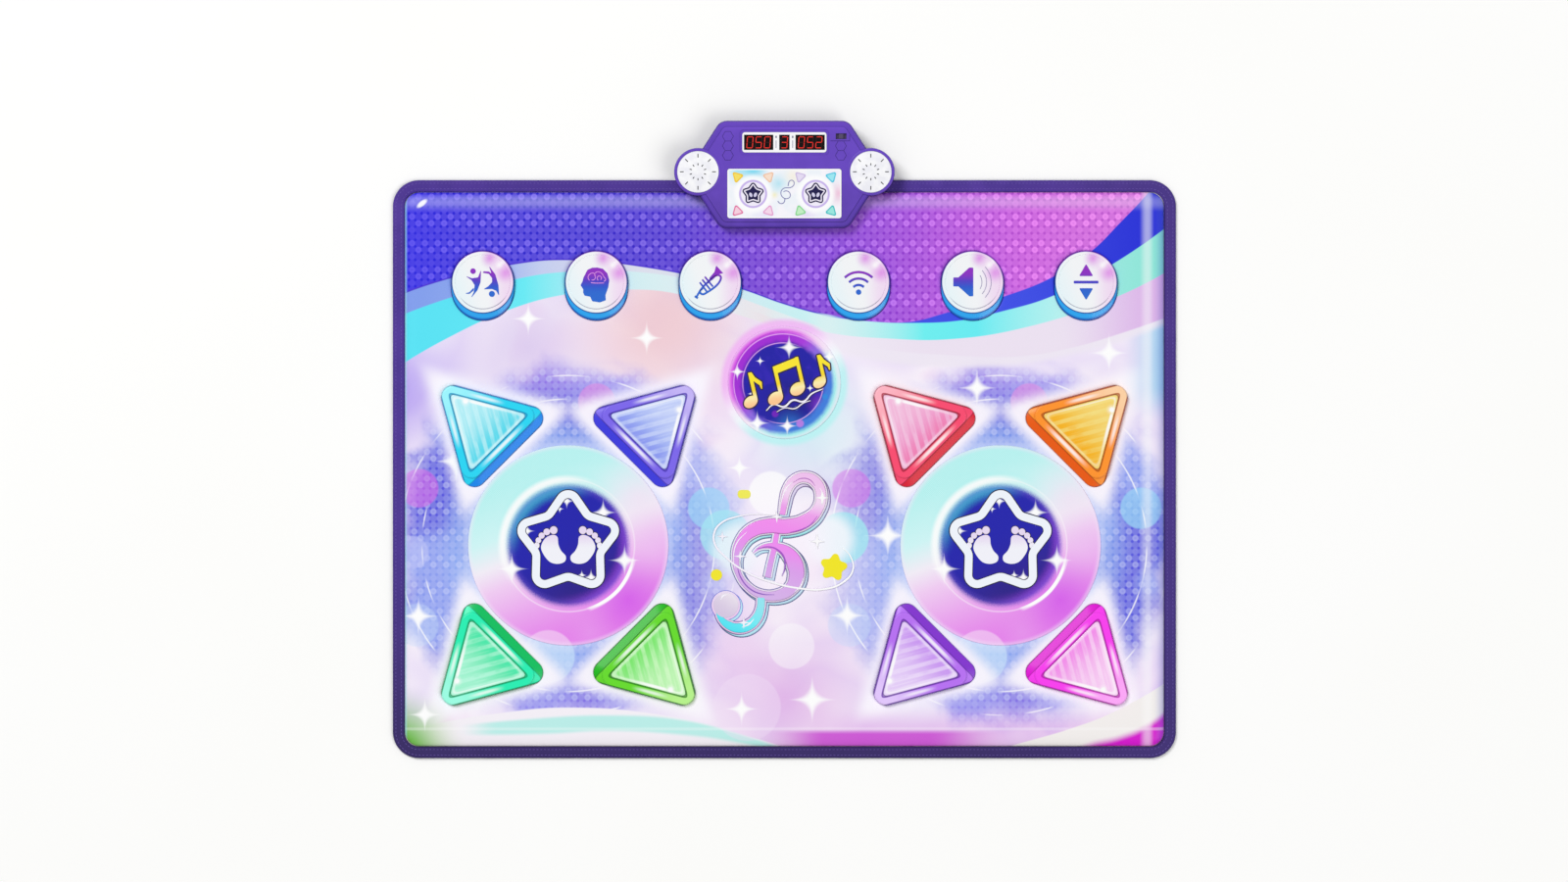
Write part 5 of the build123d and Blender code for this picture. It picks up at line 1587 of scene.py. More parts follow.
@dataclass
class GripBase:
    """The rubberised cloth underneath, with its field of grip studs."""

    sheet_bottom: float = 0.6
    sheet_top: float = 1.95
    stud_pitch: float = 15.0
    stud_radius: float = 2.6
    margin: float = 12.0

    def build(self, cloth: Finish, rubber: Finish) -> Piece:
        """Makes the cloth and its studs as one piece.

        Args:
            cloth: the cloth's material.
            rubber: the studs' material.

        Returns:
            The base.
        """
        outline = densified(LAYOUT.panel(0.4), 20)
        body = relief("grip_cloth", [outline], self.sheet_bottom, self.sheet_top - self.sheet_bottom, cloth,
            0.2)
        inner_w = LAYOUT.width - 2 * (LAYOUT.border + self.margin)
        inner_d = LAYOUT.depth - 2 * (LAYOUT.border + self.margin)
        carrier = mesh_piece("grip_studs", np.array([(0, 0, self.sheet_bottom)]), [])
        run = NodeRun(
            "stud_field",
            [("Width", "NodeSocketFloat", inner_w * MM), ("Depth", "NodeSocketFloat", inner_d * MM),
             ("Columns", "NodeSocketInt", int(inner_w / self.stud_pitch)), ("Rows", "NodeSocketInt",
                 int(inner_d / self.stud_pitch)),
             ("Radius", "NodeSocketFloat", self.stud_radius * MM), ("Drop", "NodeSocketFloat",
                 self.sheet_bottom * MM)],
        )
        field_mesh = run.node("GeometryNodeMeshGrid")
        for label, target in (("Width", "Size X"), ("Depth", "Size Y"), ("Columns", "Vertices X"),
            ("Rows", "Vertices Y")):
            run.link(run.start.outputs[label], field_mesh.inputs[target])
        ball = run.node("GeometryNodeMeshUVSphere")
        ball.inputs["Segments"].default_value = 8
        ball.inputs["Rings"].default_value = 4
        ball.inputs["Radius"].default_value = 1
        sizes = run.node("ShaderNodeCombineXYZ")
        run.link(run.start.outputs["Radius"], sizes.inputs[0])
        run.link(run.start.outputs["Radius"], sizes.inputs[1])
        run.link(run.start.outputs["Drop"], sizes.inputs[2])
        placed = run.node("GeometryNodeInstanceOnPoints")
        run.link(field_mesh.outputs["Mesh"], placed.inputs["Points"])
        run.link(ball.outputs["Mesh"], placed.inputs["Instance"])
        run.link(sizes.outputs[0], placed.inputs["Scale"])
        lift = run.node("GeometryNodeTransform")
        lift.inputs["Translation"].default_value = (0, 0, (self.sheet_bottom + 0.01) * MM)
        run.link(placed.outputs[0], lift.inputs["Geometry"])
        run.close(lift.outputs[0], rubber)
        studs = run.apply(carrier)
        return joined("grip_base", [body, studs])


# ---------------------------------------------------------------- soft rings under the pads and keys
@dataclass
class ReturnRings:
    """The foam rings that push each pad and key back up."""

    inner: float = 19.2
    outer: float = 26.8
    bottom: float = 11.42
    top: float = 12.98
    keep: float = 0.04
    around: int = 40
    section: int = 12

    def build(self, joint: str, centre: Point, finish: Finish) -> Piece:
        """Makes one ring with bulging sides.

        Args:
            joint: the name of the press joint of its pad or key, used in the ring's name.
            centre: its centre.
            finish: the foam.

        Returns:
            The ring.
        """
        around, section, rows = self.around, self.section, []
        middle, half = (self.inner + self.outer) / 2, (self.outer - self.inner) / 2
        level, tall = (self.bottom + self.top) / 2, (self.top - self.bottom) / 2
        for angle in np.linspace(0, 2 * math.pi, section, endpoint=False):
            reach = middle + half * math.copysign(abs(math.cos(angle)) ** 0.5, math.cos(angle))
            rise = level + tall * math.copysign(abs(math.sin(angle)) ** 0.5, math.sin(angle))
            ring = circle(centre, reach, around)
            rows.append(np.c_[ring, np.full(around, rise)])
        faces = []
        for k in range(section):
            for j in range(around):
                here, on = k * around, (k + 1) % section * around
                faces.append((here + j, here + (j + 1) % around, on + (j + 1) % around, on + j))
        made = mesh_piece(f"{joint}_ring", np.vstack(rows), faces)
        weld(made)
        made.data.materials.append(finish)
        return made


# ---------------------------------------------------------------- step pads
@dataclass
class StepPad:
    """One translucent step pad: a glossy rim, a dark groove line and a domed window."""

    spot: StepPadSpot
    rim_width: float = 12.0
    crown: float = 23.0
    pocket_floor: float = 20.6
    window_gap: float = 0.35
    window_rise: float = 2.1

    def edge_reach(self, sheet: Sheet, at: Wire) -> tuple[Wire, Wire]:
        """How far in from the crown's outline a place is, and the place in the pad's own axes."""
        own = sheet.turned(at, self.spot.centre, self.spot.turn)
        inradius = LAYOUT.pad_side / (2 * math.sqrt(3))
        reach: Wire | None = None
        for angle in (60, 180, 300):
            side = sheet.along(own, angle)
            reach = side if reach is None else sheet.math("SMOOTH_MAX", reach, side, 13)
        return inradius - reach, own

    def body_finish(self) -> Finish:
        """The glossy moulding: pale at its outer corner, deep at the inner ones, with painted highlights along
        its rim and painted shade at the foot of its wall.
        """
        hue = self.spot.hue
        sheet = Sheet(f"{self.spot.node}_gloss", Coat(roughness=0.34, coat=0.12, coat_roughness=0.2,
            specular=0.25))
        at = sheet.flat_place()
        z = sheet.split(sheet.place())[2]
        inset, own = self.edge_reach(sheet, at)
        outward = sheet.split(own)[0]
        colour = sheet.mix(hue.rim, hue.rim_light, outward.fade(0, 62))
        # painted highlights along the middle of the rim on the two sides beside the outer corner
        for angle, half in ((60, 30), (300, 30)):
            ahead = sheet.along(own, angle).fade(33, 40)
            middle = sheet.along(own, angle - 90 if angle > 180 else angle + 90)
            glint = (middle + 6).size().fade(half, 5) * inset.fade(2.5, 6) * inset.fade(10.5, 7) * ahead
            colour = sheet.mix(colour, WHITE, glint * 0.72)
        # painted highlight along the rim on the player's side
        front = outward.fade(-32, -38)
        across = sheet.split(own)[1]
        shine = across.size().fade(46, 12) * inset.fade(3, 6) * inset.fade(10.8, 8) * front
        colour = sheet.mix(colour, WHITE, shine * 0.78)
        colour = sheet.mix(colour, hue.line, inset.fade(1.9, 0.9) * 0.9)
        colour = sheet.mix(colour, hue.line, (inset - 11.2).size().fade(1.1, 0.4) * 0.85)
        colour = sheet.mix(colour, hue.face, inset.fade(11.8, 12.6))
        wall = sheet.mix(hue.wall, hue.rim, z.fade(21.4, 22.6) * 0.5)
        # painted shade towards the foot of the wall
        wall = sheet.mix(wall, hue.line, z.fade(17.6, 16.4) * 0.35)
        colour = sheet.mix(colour, wall, inset.fade(0.6, -0.4))
        sheet.paint(colour)
        return sheet.material

    def window_finish(self) -> Finish:
        """The window: slanting bands of light under gloss, painted shade towards its inner corners, a painted
        highlight line inside its edge, and a painted highlight spot with a painted highlight streak beside it.
        """
        hue = self.spot.hue
        sheet = Sheet(f"{self.spot.node}_window", Coat(roughness=0.22, coat=0.25, coat_roughness=0.08,
            specular=0.3))
        at = sheet.flat_place()
        inset, own = self.edge_reach(sheet, at)
        inset = inset - self.rim_width
        slant = sheet.along(own, 60)
        lean = sheet.along(own, 150)
        broken = sheet.noise(at, 0.045, 2)
        band = sheet.math("SINE", slant * 0.5).fade(-0.35, 0.6) * (broken.fade(0.35, 0.6) * 0.6 + 0.4)
        fine = sheet.math("SINE", slant * 1.17 + 0.8).fade(0.1, 0.9) * broken.fade(0.6, 0.4)
        outward = sheet.split(own)[0]
        bright = outward.fade(-34, 34) * 0.62 + band * (lean.fade(-46, 30) * 0.3 + 0.16) + fine * 0.14
        colour = sheet.mix(hue.face, hue.stripe, bright.least(1))
        # painted shade towards the inner corners
        deep = sheet.mix(hue.rim, hue.face, 0.45)
        colour = sheet.mix(colour, deep, outward.fade(0, -30) * (1 - band) * 0.4)
        colour = sheet.mix(colour, hue.stripe, inset.fade(7, 2.5) * 0.55)
        # painted highlight line along the bevel inside the window's edge
        colour = sheet.mix(colour, WHITE, (inset - 3.4).size().fade(1.5,
            0.3) * (outward.fade(-30, 20) * 0.3 + 0.2))
        colour = sheet.mix(colour, hue.line, inset.fade(1.3, 0.5) * 0.6)
        # painted highlight spot near the outer corner and a painted highlight streak running from it
        spot = (42, -8.6)
        for centre, reach, soft, share in ((spot, 3.3, 1.3, 1), (spot, 5, 4.6, 0.6)):
            colour = sheet.mix(colour, WHITE, sheet.disc(own, centre, reach, soft) * share)
        tail = sheet.turned(own, spot, -150)
        run, off, _ = sheet.split(tail)
        streak = run.fade(4, 9) * run.fade(62, 24) * (off - 1.4).size().fade(3, 0.8)
        sheet.paint(sheet.mix(colour, WHITE, streak * 0.9))
        return sheet.material

    def window(self) -> Piece:
        """Makes the domed window that fills the pad's pocket.

        Returns:
            The window.
        """
        rings = []
        inset = self.rim_width + self.window_gap
        base = self.pocket_floor + 0.03
        steps = [(0, base), (0, base + self.window_rise * 0.62), (0.5, base + self.window_rise * 0.84),
            (1.4, base + self.window_rise)]
        steps += [(s, base + self.window_rise - 0.35 * math.sin(min(s - 1.4,
            5) / 5 * math.pi) + 0.2 * min(1, s / 20)) for s in (2.6, 4, 6)]
        steps += [(s, base + self.window_rise + 0.35 * (s - 6) / 22) for s in (9, 13, 18, 23, 28)]
        outline = LAYOUT.triangle(inset, step=1.4)
        outline = densified(outline, 5)
        span = len(outline)
        for shrink, level in steps:
            factor = 1 - shrink / (LAYOUT.pad_side / (2 * math.sqrt(3)) - inset)
            ring = turned(outline * factor, self.spot.centre, self.spot.turn)
            rings.append(np.c_[ring, np.full(span, level)])
        middle = np.array([[*self.spot.centre, steps[-1][1] + 0.03]])
        points = np.vstack([*rings, middle])
        faces: list[tuple[int, ...]] = [tuple(range(span - 1, -1, -1))]
        for k in range(len(steps) - 1):
            for j in range(span):
                here, on = k * span, (k + 1) * span
                faces.append((here + j, here + (j + 1) % span, on + (j + 1) % span, on + j))
        last = (len(steps) - 1) * span
        faces += [(last + j, last + (j + 1) % span, len(points) - 1) for j in range(span)]
        made = mesh_piece(f"{self.spot.node}_window", points, faces)
        made.data.materials.append(self.window_finish())
        return made


# ---------------------------------------------------------------- function keys
class KeyFinish:
    """The pearl top of a function key with its blue wall, a painted rose reflection, a painted glint and a
    painted highlight ray at its upper right, and painted shade in its groove and at the foot of its wall.
    """

    def __init__(self, spot: KeySpot) -> None:
        """Holds the key's column."""
        self.spot = spot

    def build(self) -> Finish:
        """Writes the material."""
        sheet = Sheet(f"{self.spot.node}_pearl", Coat(roughness=0.25, coat=0.25, coat_roughness=0.1,
            specular=0.3))
        at = sheet.flat_place()
        x, y = self.spot.centre
        own = sheet.turned(at, (x, y), 0)
        across, up, _ = sheet.split(own)
        z = sheet.split(sheet.place())[2]
        span = sheet.reach(own)
        colour = sheet.mix("F4F6F8", "E9F6FA", sheet.along(own, 200).fade(6, 40))
        # painted rose reflection towards the upper right, with a painted white glint in it
        colour = sheet.mix(colour, "F1D2F2", sheet.along(own, 0).fade(4, 36) * 0.75)
        colour = sheet.spots(own, colour, (
            ((10, 33), 7, 10, "D86AE4", 0.85),
            ((31, 14), 8, 11, "DC7CE6", 0.9),
            ((22, 24), 9, 12, "F3DDF6", 0.6),
            ((23, 24), 2.2, 5, "FFFFFF", 0.95),
        ))
        # painted highlight ray towards the upper right
        ray = sheet.along(own, 135).size().fade(5, 0.5) * sheet.along(own, 45).fade(24, 40)
        colour = sheet.mix(colour, WHITE, ray * 0.5)
        # painted shade on the lower side of the groove
        arc = (sheet.reach(own, (0, 1.2)) - 38.6).size().fade(0.8, 0.3) * up.fade(-18, -30)
        colour = sheet.mix(colour, "9A9AB0", arc * 0.8)
        line = sheet.mix("7A3CB8", "1C3C9C", up.fade(34, 6))
        colour = sheet.mix(colour, line, span.fade(42.2, 43))
        # painted shade at the foot of the wall
        wall = sheet.mix("28A8F4", "0E58B8", z.fade(18.2, 17.2))
        wall = sheet.mix(wall, "1C6CC8", z.fade(20.4, 21.2) * 0.8)
        wall = sheet.mix(wall, "8A50C8", up.fade(4, 30))
        colour = sheet.mix(colour, wall, span.fade(43.7, 44.2).most(z.fade(20.6, 20.2)))
        sheet.paint(colour)
        return sheet.material


@dataclass
class KeyIcons:
    """The raised printed signs on the six keys."""

    level: float = 21.97
    rise: float = 0.4

    def ink(self) -> Finish:
        """Ink that runs from violet at the top to blue at the bottom."""
        sheet = Sheet("sign_ink", Coat(roughness=0.35, coat=0.2))
        y = sheet.split(sheet.place())[1]
        grain = sheet.noise(sheet.place(), 0.4, 2) * 3
        share = (y - LAYOUT.key_y + grain).fade(18, -16)
        sheet.paint(sheet.ramp(share, [(0, "8C1CC0"), (0.4, "4C34C4"), (0.75, "1E50CC"), (1, "1464D0")]))
        return sheet.material

    def grey(self) -> Finish:
        """The grey ink of the sound waves."""
        return mottled("wave_ink", "8E86B0", "A8A0C4", Coat(roughness=0.4))

    def rose(self) -> Finish:
        """The rose ink of the lines on the head."""
        return mottled("rose_ink", "D87CE0", "E8A4EC", Coat(roughness=0.4))

    def flat(self, name: str, spot: KeySpot, shapes: Sequence[Sequence[Point]], soft: float,
        ink: Finish) -> Piece:
        """Raised flat shapes, given from the key's centre."""
        outlines = [rounded(shape, soft, 0.4) + np.asarray(spot.centre) for shape in shapes]
        return relief(name, outlines, self.level, self.rise, ink)

    def lines(self, name: str, spot: KeySpot, paths: Sequence[Sequence[Point]], width: float, ink: Finish,
              lift: float = 0.0) -> Piece:
        """Raised lines, given from the key's centre."""
        x, y = spot.centre
        made = [
            brushed_line(name, [(x + a, y + b) for a, b in path], [width] * len(path), self.level + lift,
                self.rise, ink)
            for path in paths
        ]
        return joined(name, made)

    def arc(self, centre: Point, radius: float, start: float, end: float, parts: int = 6) -> list[Point]:
        """Points on an arc."""
        angles = np.radians(np.linspace(start, end, parts))
        return [(centre[0] + radius * math.cos(a), centre[1] + radius * math.sin(a)) for a in angles]

    def build(self) -> list[tuple[Piece, KeySpot]]:
        """Makes every sign.

        Returns:
            Each piece and the key it lies on.
        """
        ink, grey, rose = self.ink(), self.grey(), self.rose()
        made: list[tuple[Piece, KeySpot]] = []
        first = [(-24.7, 9), (-14.9, 5.4), (-6.5, 6.6), (-2.2, 17.7), (-3.1, 0), (-7.3, -11.2),
            (-17.1, -23.3), (-12.4, -14), (-11.2, -4.2), (-15.7, 2.8)]
        leg = [(-25.3, -16), (-18.5, -14), (-12.4, -7.6), (-12.6, -11.6), (-18.5, -16.4)]
        second = [(8.7, 23), (17.6, 11), (22, -4), (23, -19.1), (18.8, -12), (12.9, -9.6), (1.1, -10),
            (8.1, -5.6), (13.2, 0), (13.2, 5.6), (8.6, 11.6), (-0.3, 13.2), (1.7, 15.2), (9, 14.8),
            (12.4, 11.6)]
        people = [self.flat("dancers", KeySpot.DANCE, [outline[::-1]], 0.35, ink) for outline in (first,
            leg, second)]
        heads = [relief("heads", [circle(np.add(KeySpot.DANCE.centre, c), r, 24)], self.level, self.rise,
            ink) for c, r in (((-13.5, 15.4), 3.9), ((12.9, -16.5), 4.2))]
        made.append((joined("dance_sign", people + heads), KeySpot.DANCE))
        head = [(1.4, 20.5), (9.3, 18.8), (15.6, 12.4), (18.3, 2.8), (16.9, -7), (12.9, -18.3),
            (13.5, -25.3), (5, -28.4), (-5.6, -26.7), (-8.4, -20.4), (-16.4, -18.8), (-18.3, -14.6),
            (-18, -10.4), (-21.9, -4.2), (-19.2, 0.8), (-17.8, 6.4), (-12.2, 17.2), (-5.6, 20.2)]
        made.append((self.flat("memory_sign", KeySpot.MEMORY, [head[::-1]], 1.1, ink), KeySpot.MEMORY))
        folds = [
            [(-9.4, 2.2), (-11.4, 6.6), (-8.4, 11.6), (-3.2, 12.4), (-1.4, 9.6)],
            [(-1.6, 12.8), (2.4, 14.6), (7.6, 12.4), (10.8, 7.4), (13.2, 3.6), (10.8, 0.8)],
            [(-7.4, -0.6), (-3.4, -1.2), (11, -1.2)],
            [(-6.6, 3), (-3, 3.4), (-1.2, 8), (-2.6, 9.8)],
            [(2.6, 2.4), (1.4, 6.4), (4.4, 8.6), (7.4, 6.2), (6.2, 3.2)],
        ]
        made.append((self.lines("memory_folds", KeySpot.MEMORY, folds, 1.15, rose, 0.22), KeySpot.MEMORY))
        bell = [(8.4, 23.3), (18.3, 12.6), (11.2, 10.8), (2.2, 2.4), (-1.4, 5.6), (6, 14.4)]
        horn = [self.flat("bell", KeySpot.INSTRUMENT, [bell[::-1]], 0.6, ink)]
        tubes = [[(1.4, 5), (-12.6, -9.8), (-19.4, -20.8)], [(-21.6, -19.6), (-17.4, -22.6)],
                 [(-4, -1), (8.4, 9.4), (13.2, 9.2), (15, 5.4), (-6, -15.2), (-11.4, -16.8), (-14.4, -13.4),
                     (-10.6, -8.4)]]
        valves = [[(-14.6, -0.3), (-4.6, -13.4)], [(-11.2, 3.7), (-0.4, -9.8)], [(-7.6, 7.6), (3.8, -6.2)]]
        horn.append(self.lines("tubes", KeySpot.INSTRUMENT, tubes, 2.9, ink))
        horn.append(self.lines("valves", KeySpot.INSTRUMENT, valves, 2.5, ink))
        made.append((joined("instrument_sign", horn), KeySpot.INSTRUMENT))
        waves = [self.arc((0, -15), radius, 48, 132) for radius in (11, 20, 29)]
        beacon = [self.lines("beacon", KeySpot.WIRELESS, waves, 3.4, ink)]
        beacon.append(relief("beacon_dot", [circle(np.add(KeySpot.WIRELESS.centre, (0, -14)), 3.8, 24)],
            self.level, self.rise, ink))
        made.append((joined("wireless_sign", beacon), KeySpot.WIRELESS))
        horn_box = [(-27, 6.6), (-19.8, 6.6), (-4.6, 20.4), (0.9, 20.4), (0.9, -19.8), (-4.6, -19.8),
            (-19.8, -6), (-27, -6)]
        made.append((self.flat("volume_sign", KeySpot.VOLUME, [horn_box[::-1]], 1, ink), KeySpot.VOLUME))
        sound = [self.arc((-6, 0), 19, 30, -30), self.arc((-6, 0), 25.5, 40, -40),
            self.arc((-6, 0), 32, 42, -42)]
        made.append((self.lines("volume_waves", KeySpot.VOLUME, sound, 0.9, grey), KeySpot.VOLUME))
        levels = [[(-9.9, 8.5), (9.9, 8.5), (0, 25.6)], [(-9.9, -8.5), (0, -25.2), (9.9, -8.5)],
            [(-17.3, -1.9), (17.3, -1.9), (17.3, 1.9), (-17.3, 1.9)]]
        made.append((self.flat("level_sign", KeySpot.LEVEL, levels, 1.1, ink), KeySpot.LEVEL))
        return made


# ---------------------------------------------------------------- standing discs
@dataclass
class StandingDisc:
    """A player's standing disc: its print, the outlines of its star and the raised feet."""

    player: Player
    dish_floor: float = 16.8
    star_point: float = 87.7
    star_waist: float = 0.6
    star_shift: float = 3.4
    star_band: float = 11.0

    @property
    def centre(self) -> Point:
        """The centre of the disc."""
        return self.player.value * LAYOUT.disc_x, LAYOUT.disc_y

    def star(self) -> np.ndarray:
        """The plump star's outer outline."""
        corners = star_corners(self.star_point, self.star_point * self.star_waist, 90, (0, self.star_shift))
        return densified(rounded(corners, [18, 9] * 5, 1.2), 3) + np.asarray(self.centre)

    def finish(self) -> Finish:
        """The disc's print: a candy ring round a night-blue dish, with a silver star band, painted highlights
        round the dish's rim, strongest at the upper left and on the lower-right wall, and a painted highlight on
        the top of the star band.
        """
        sheet = Sheet(f"{self.player.word}_disc_print", Coat(roughness=0.38, coat=0.12, coat_roughness=0.2,
            specular=0.25))
        at = sheet.turned(sheet.flat_place(), self.centre, 0)
        z = sheet.split(sheet.place())[2]
        span = sheet.reach(at)
        high = sheet.along(at, 112)
        ring = sheet.ramp(
            high.fade(-150, 150),
            [(0.03, "E680EC"), (0.2, "ECA8F0"), (0.4, "F2CDF4"), (0.55, "F3EEF8"), (0.72, "CFF6F6"),
                (0.95, "B4F2F0")],
        )
        ring = sheet.mix(ring, "F3E4F6", sheet.disc(at, (98, 66), 30, 50) * 0.9)
        ring = sheet.mix(ring, "EFC0F4", sheet.disc(at, (118, 4), 16, 44) * 0.8)
        ring = sheet.mix(ring, "D455EC", sheet.disc(at, (84, -76), 24, 52))
        ring = sheet.mix(ring, "E9A0F0", sheet.disc(at, (30, -122), 12, 38) * 0.7)
        ring = sheet.mix(ring, "FBE6FA", sheet.disc(at, (-28, -156), 37, 1.6) * 0.45)
        # painted highlight round the rim of the dish, strongest at the upper left
        ring = sheet.mix(ring, WHITE, (span - 92).size().fade(9, 1) * sheet.along(at, 140).fade(10,
            80) * 0.85)
        ring = sheet.mix(ring, WHITE, (span - 93).size().fade(1.6, 0.5) * 0.35)
        dots = sheet.math("SINE", sheet.split(at)[0] * 2.1) * sheet.math("SINE", sheet.split(at)[1] * 2.1)
        ring = sheet.mix(ring, "FFFFFF", dots.fade(0.3, 0.9) * span.fade(98, 108) * high.fade(20, 90) * 0.35)
        ring = sheet.mix(ring, "F4E6FC", span.fade(133, 140.5) * 0.45)
        shade = sheet.noise(at, 0.6, 2) * 8
        dish = sheet.mix("1A1AAC", "2A1890", sheet.along(at, -60).fade(-20, 70))
        dish = sheet.mix(dish, "1E1670", sheet.disc(at, (6, -60), 10, 40) * 0.5)
        dish = sheet.mix(dish, "3CB4D4", (span + shade).fade(66, 88) * sheet.along(at, 128).fade(30, 78))
        dish = sheet.mix(dish, "8C3CD4", (span + shade).fade(68, 90) * sheet.along(at, -28).fade(10, 80))
        dish = sheet.mix(dish, "6C52D2", (span + shade).fade(76, 90) * 0.5)
        colour = sheet.mix(dish, ring, (span + shade * 0.6).fade(82, 92.5))
        # painted highlight on the lower-right wall of the dish
        turn = sheet.along(at, -42)
        side = sheet.along(at, 48)
        painted_rim_highlight = (span - (92.5 + 1.6)).size().fade(3.6, 2.2) * turn.fade(52, 68) * side.size().fade(50, 44)
        taper = (span - 94 + side.size() * 0.03).size().fade(3, 1.6) * side.size().fade(56, 20)
        colour = sheet.mix(colour, WHITE, (painted_rim_highlight * (0.35 + taper)).least(1))
        inner = sheet.glints(at, (((49, 46), 17), ((79, -21), 20), ((-79, -33), 20), ((-2, 62), 10),
                             ((-57.5, 20), 10), ((32, -45), 11), ((19, -42), 7), ((-12, 51), 6)), 1.5)
        colour = sheet.mix(colour, WHITE, inner)
        band = sheet.mix("DCE9F6", "E8E4F8", sheet.noise(at, 0.03, 1))
        # painted highlight on the top of the star band
        band = sheet.mix(band, "F6FBFF", z.fade(17.9, 18.38) * 0.7)
        colour = sheet.mix(colour, band, z.fade(17.62, 17.7))
        sheet.paint(colour)
        return sheet.material

    def outline_ink(self) -> Finish:
        """The near-black ink of the star's outlines."""
        return mottled(f"{self.player.word}_outline_ink", "100A34", "1A1248", Coat(roughness=0.5))

    def foot_finish(self) -> Finish:
        """The pale vinyl of the feet."""
        sheet = Sheet(f"{self.player.word}_foot_vinyl", Coat(roughness=0.4, coat=0.2))
        y = sheet.split(sheet.place())[1] - self.centre[1]
        sheet.paint(sheet.mix("F3F3FB", "E6D3F2", y.fade(-6, 16) * 0.8))
        return sheet.material

    def build(self) -> list[Piece]:
        """Makes the outlines and the feet.

        Returns:
            The pieces.
        """
        ink = self.outline_ink()
        star = self.star()
        band = shifted(star, -self.star_band)
        rings = [shifted(star, 1.5), shifted(star, 0.04), shifted(band, -0.04), shifted(band, -1)]
        lines = [relief("ring", rings[k : k + 2], self.dish_floor - 0.02, 0.22, ink, 0.05) for k in (0, 2)]
        outlines = joined(f"{self.player.word}_star_outlines", lines)
        sole = [(-38.1, -2.1), (-32.6, 9.4), (-22.3, 14.6), (-15.2, 11.8), (-13.7, 1.2), (-9.9, -7.6),
            (-3.4, -15.2), (-4.9, -22.8), (-14.4, -26.1), (-25.5, -23.4), (-34.4, -13.2)]
        toes = [((-20.4, 21.2), 5.4, 5.6), ((-30, 18.8), 4.7, 4.8), ((-37.2, 13.6), 4.3, 4.4),
            ((-41.8, 7), 4, 4.2), ((-44, -0.2), 3.8, 4.6)]
        vinyl = self.foot_finish()
        feet = []
        for side in (1, -1):
            outline = np.asarray(sole) * (side, 1)
            soft = self.smooth(outline if side > 0 else outline[::-1])
            shapes = [soft]
            for middle, wide, tall in toes:
                ring = circle((0, 0), 1, 24) * (wide, tall)
                shapes.append(ring + (middle[0] * side, middle[1]))
            for shape in shapes:
                feet.append(relief("foot", [shifted(shape, 1) + np.asarray(self.centre)],
                    self.dish_floor - 0.02, 0.25, ink, 0.05))
                feet.append(relief("foot", [shape + np.asarray(self.centre)], self.dish_floor + 0.1, 0.7,
                    vinyl, 0.28))
        return [outlines, joined(f"{self.player.word}_feet", feet)]

    def smooth(self, outline: np.ndarray) -> np.ndarray:
        """A closed outline drawn as one flowing curve through its points."""
        points = []
        count = len(outline)
        for k in range(count):
            a, b, c, d = (outline[(k + j - 1) % count] for j in range(4))
            for t in np.linspace(0, 1, 8, endpoint=False):
                points.append(0.5 * (2 * b + (c - a) * t + (2 * a - 5 * b + 4 * c - d) * t**2 + (3 * b - a - 3 * c + d) * t**3))
        return np.array(points)


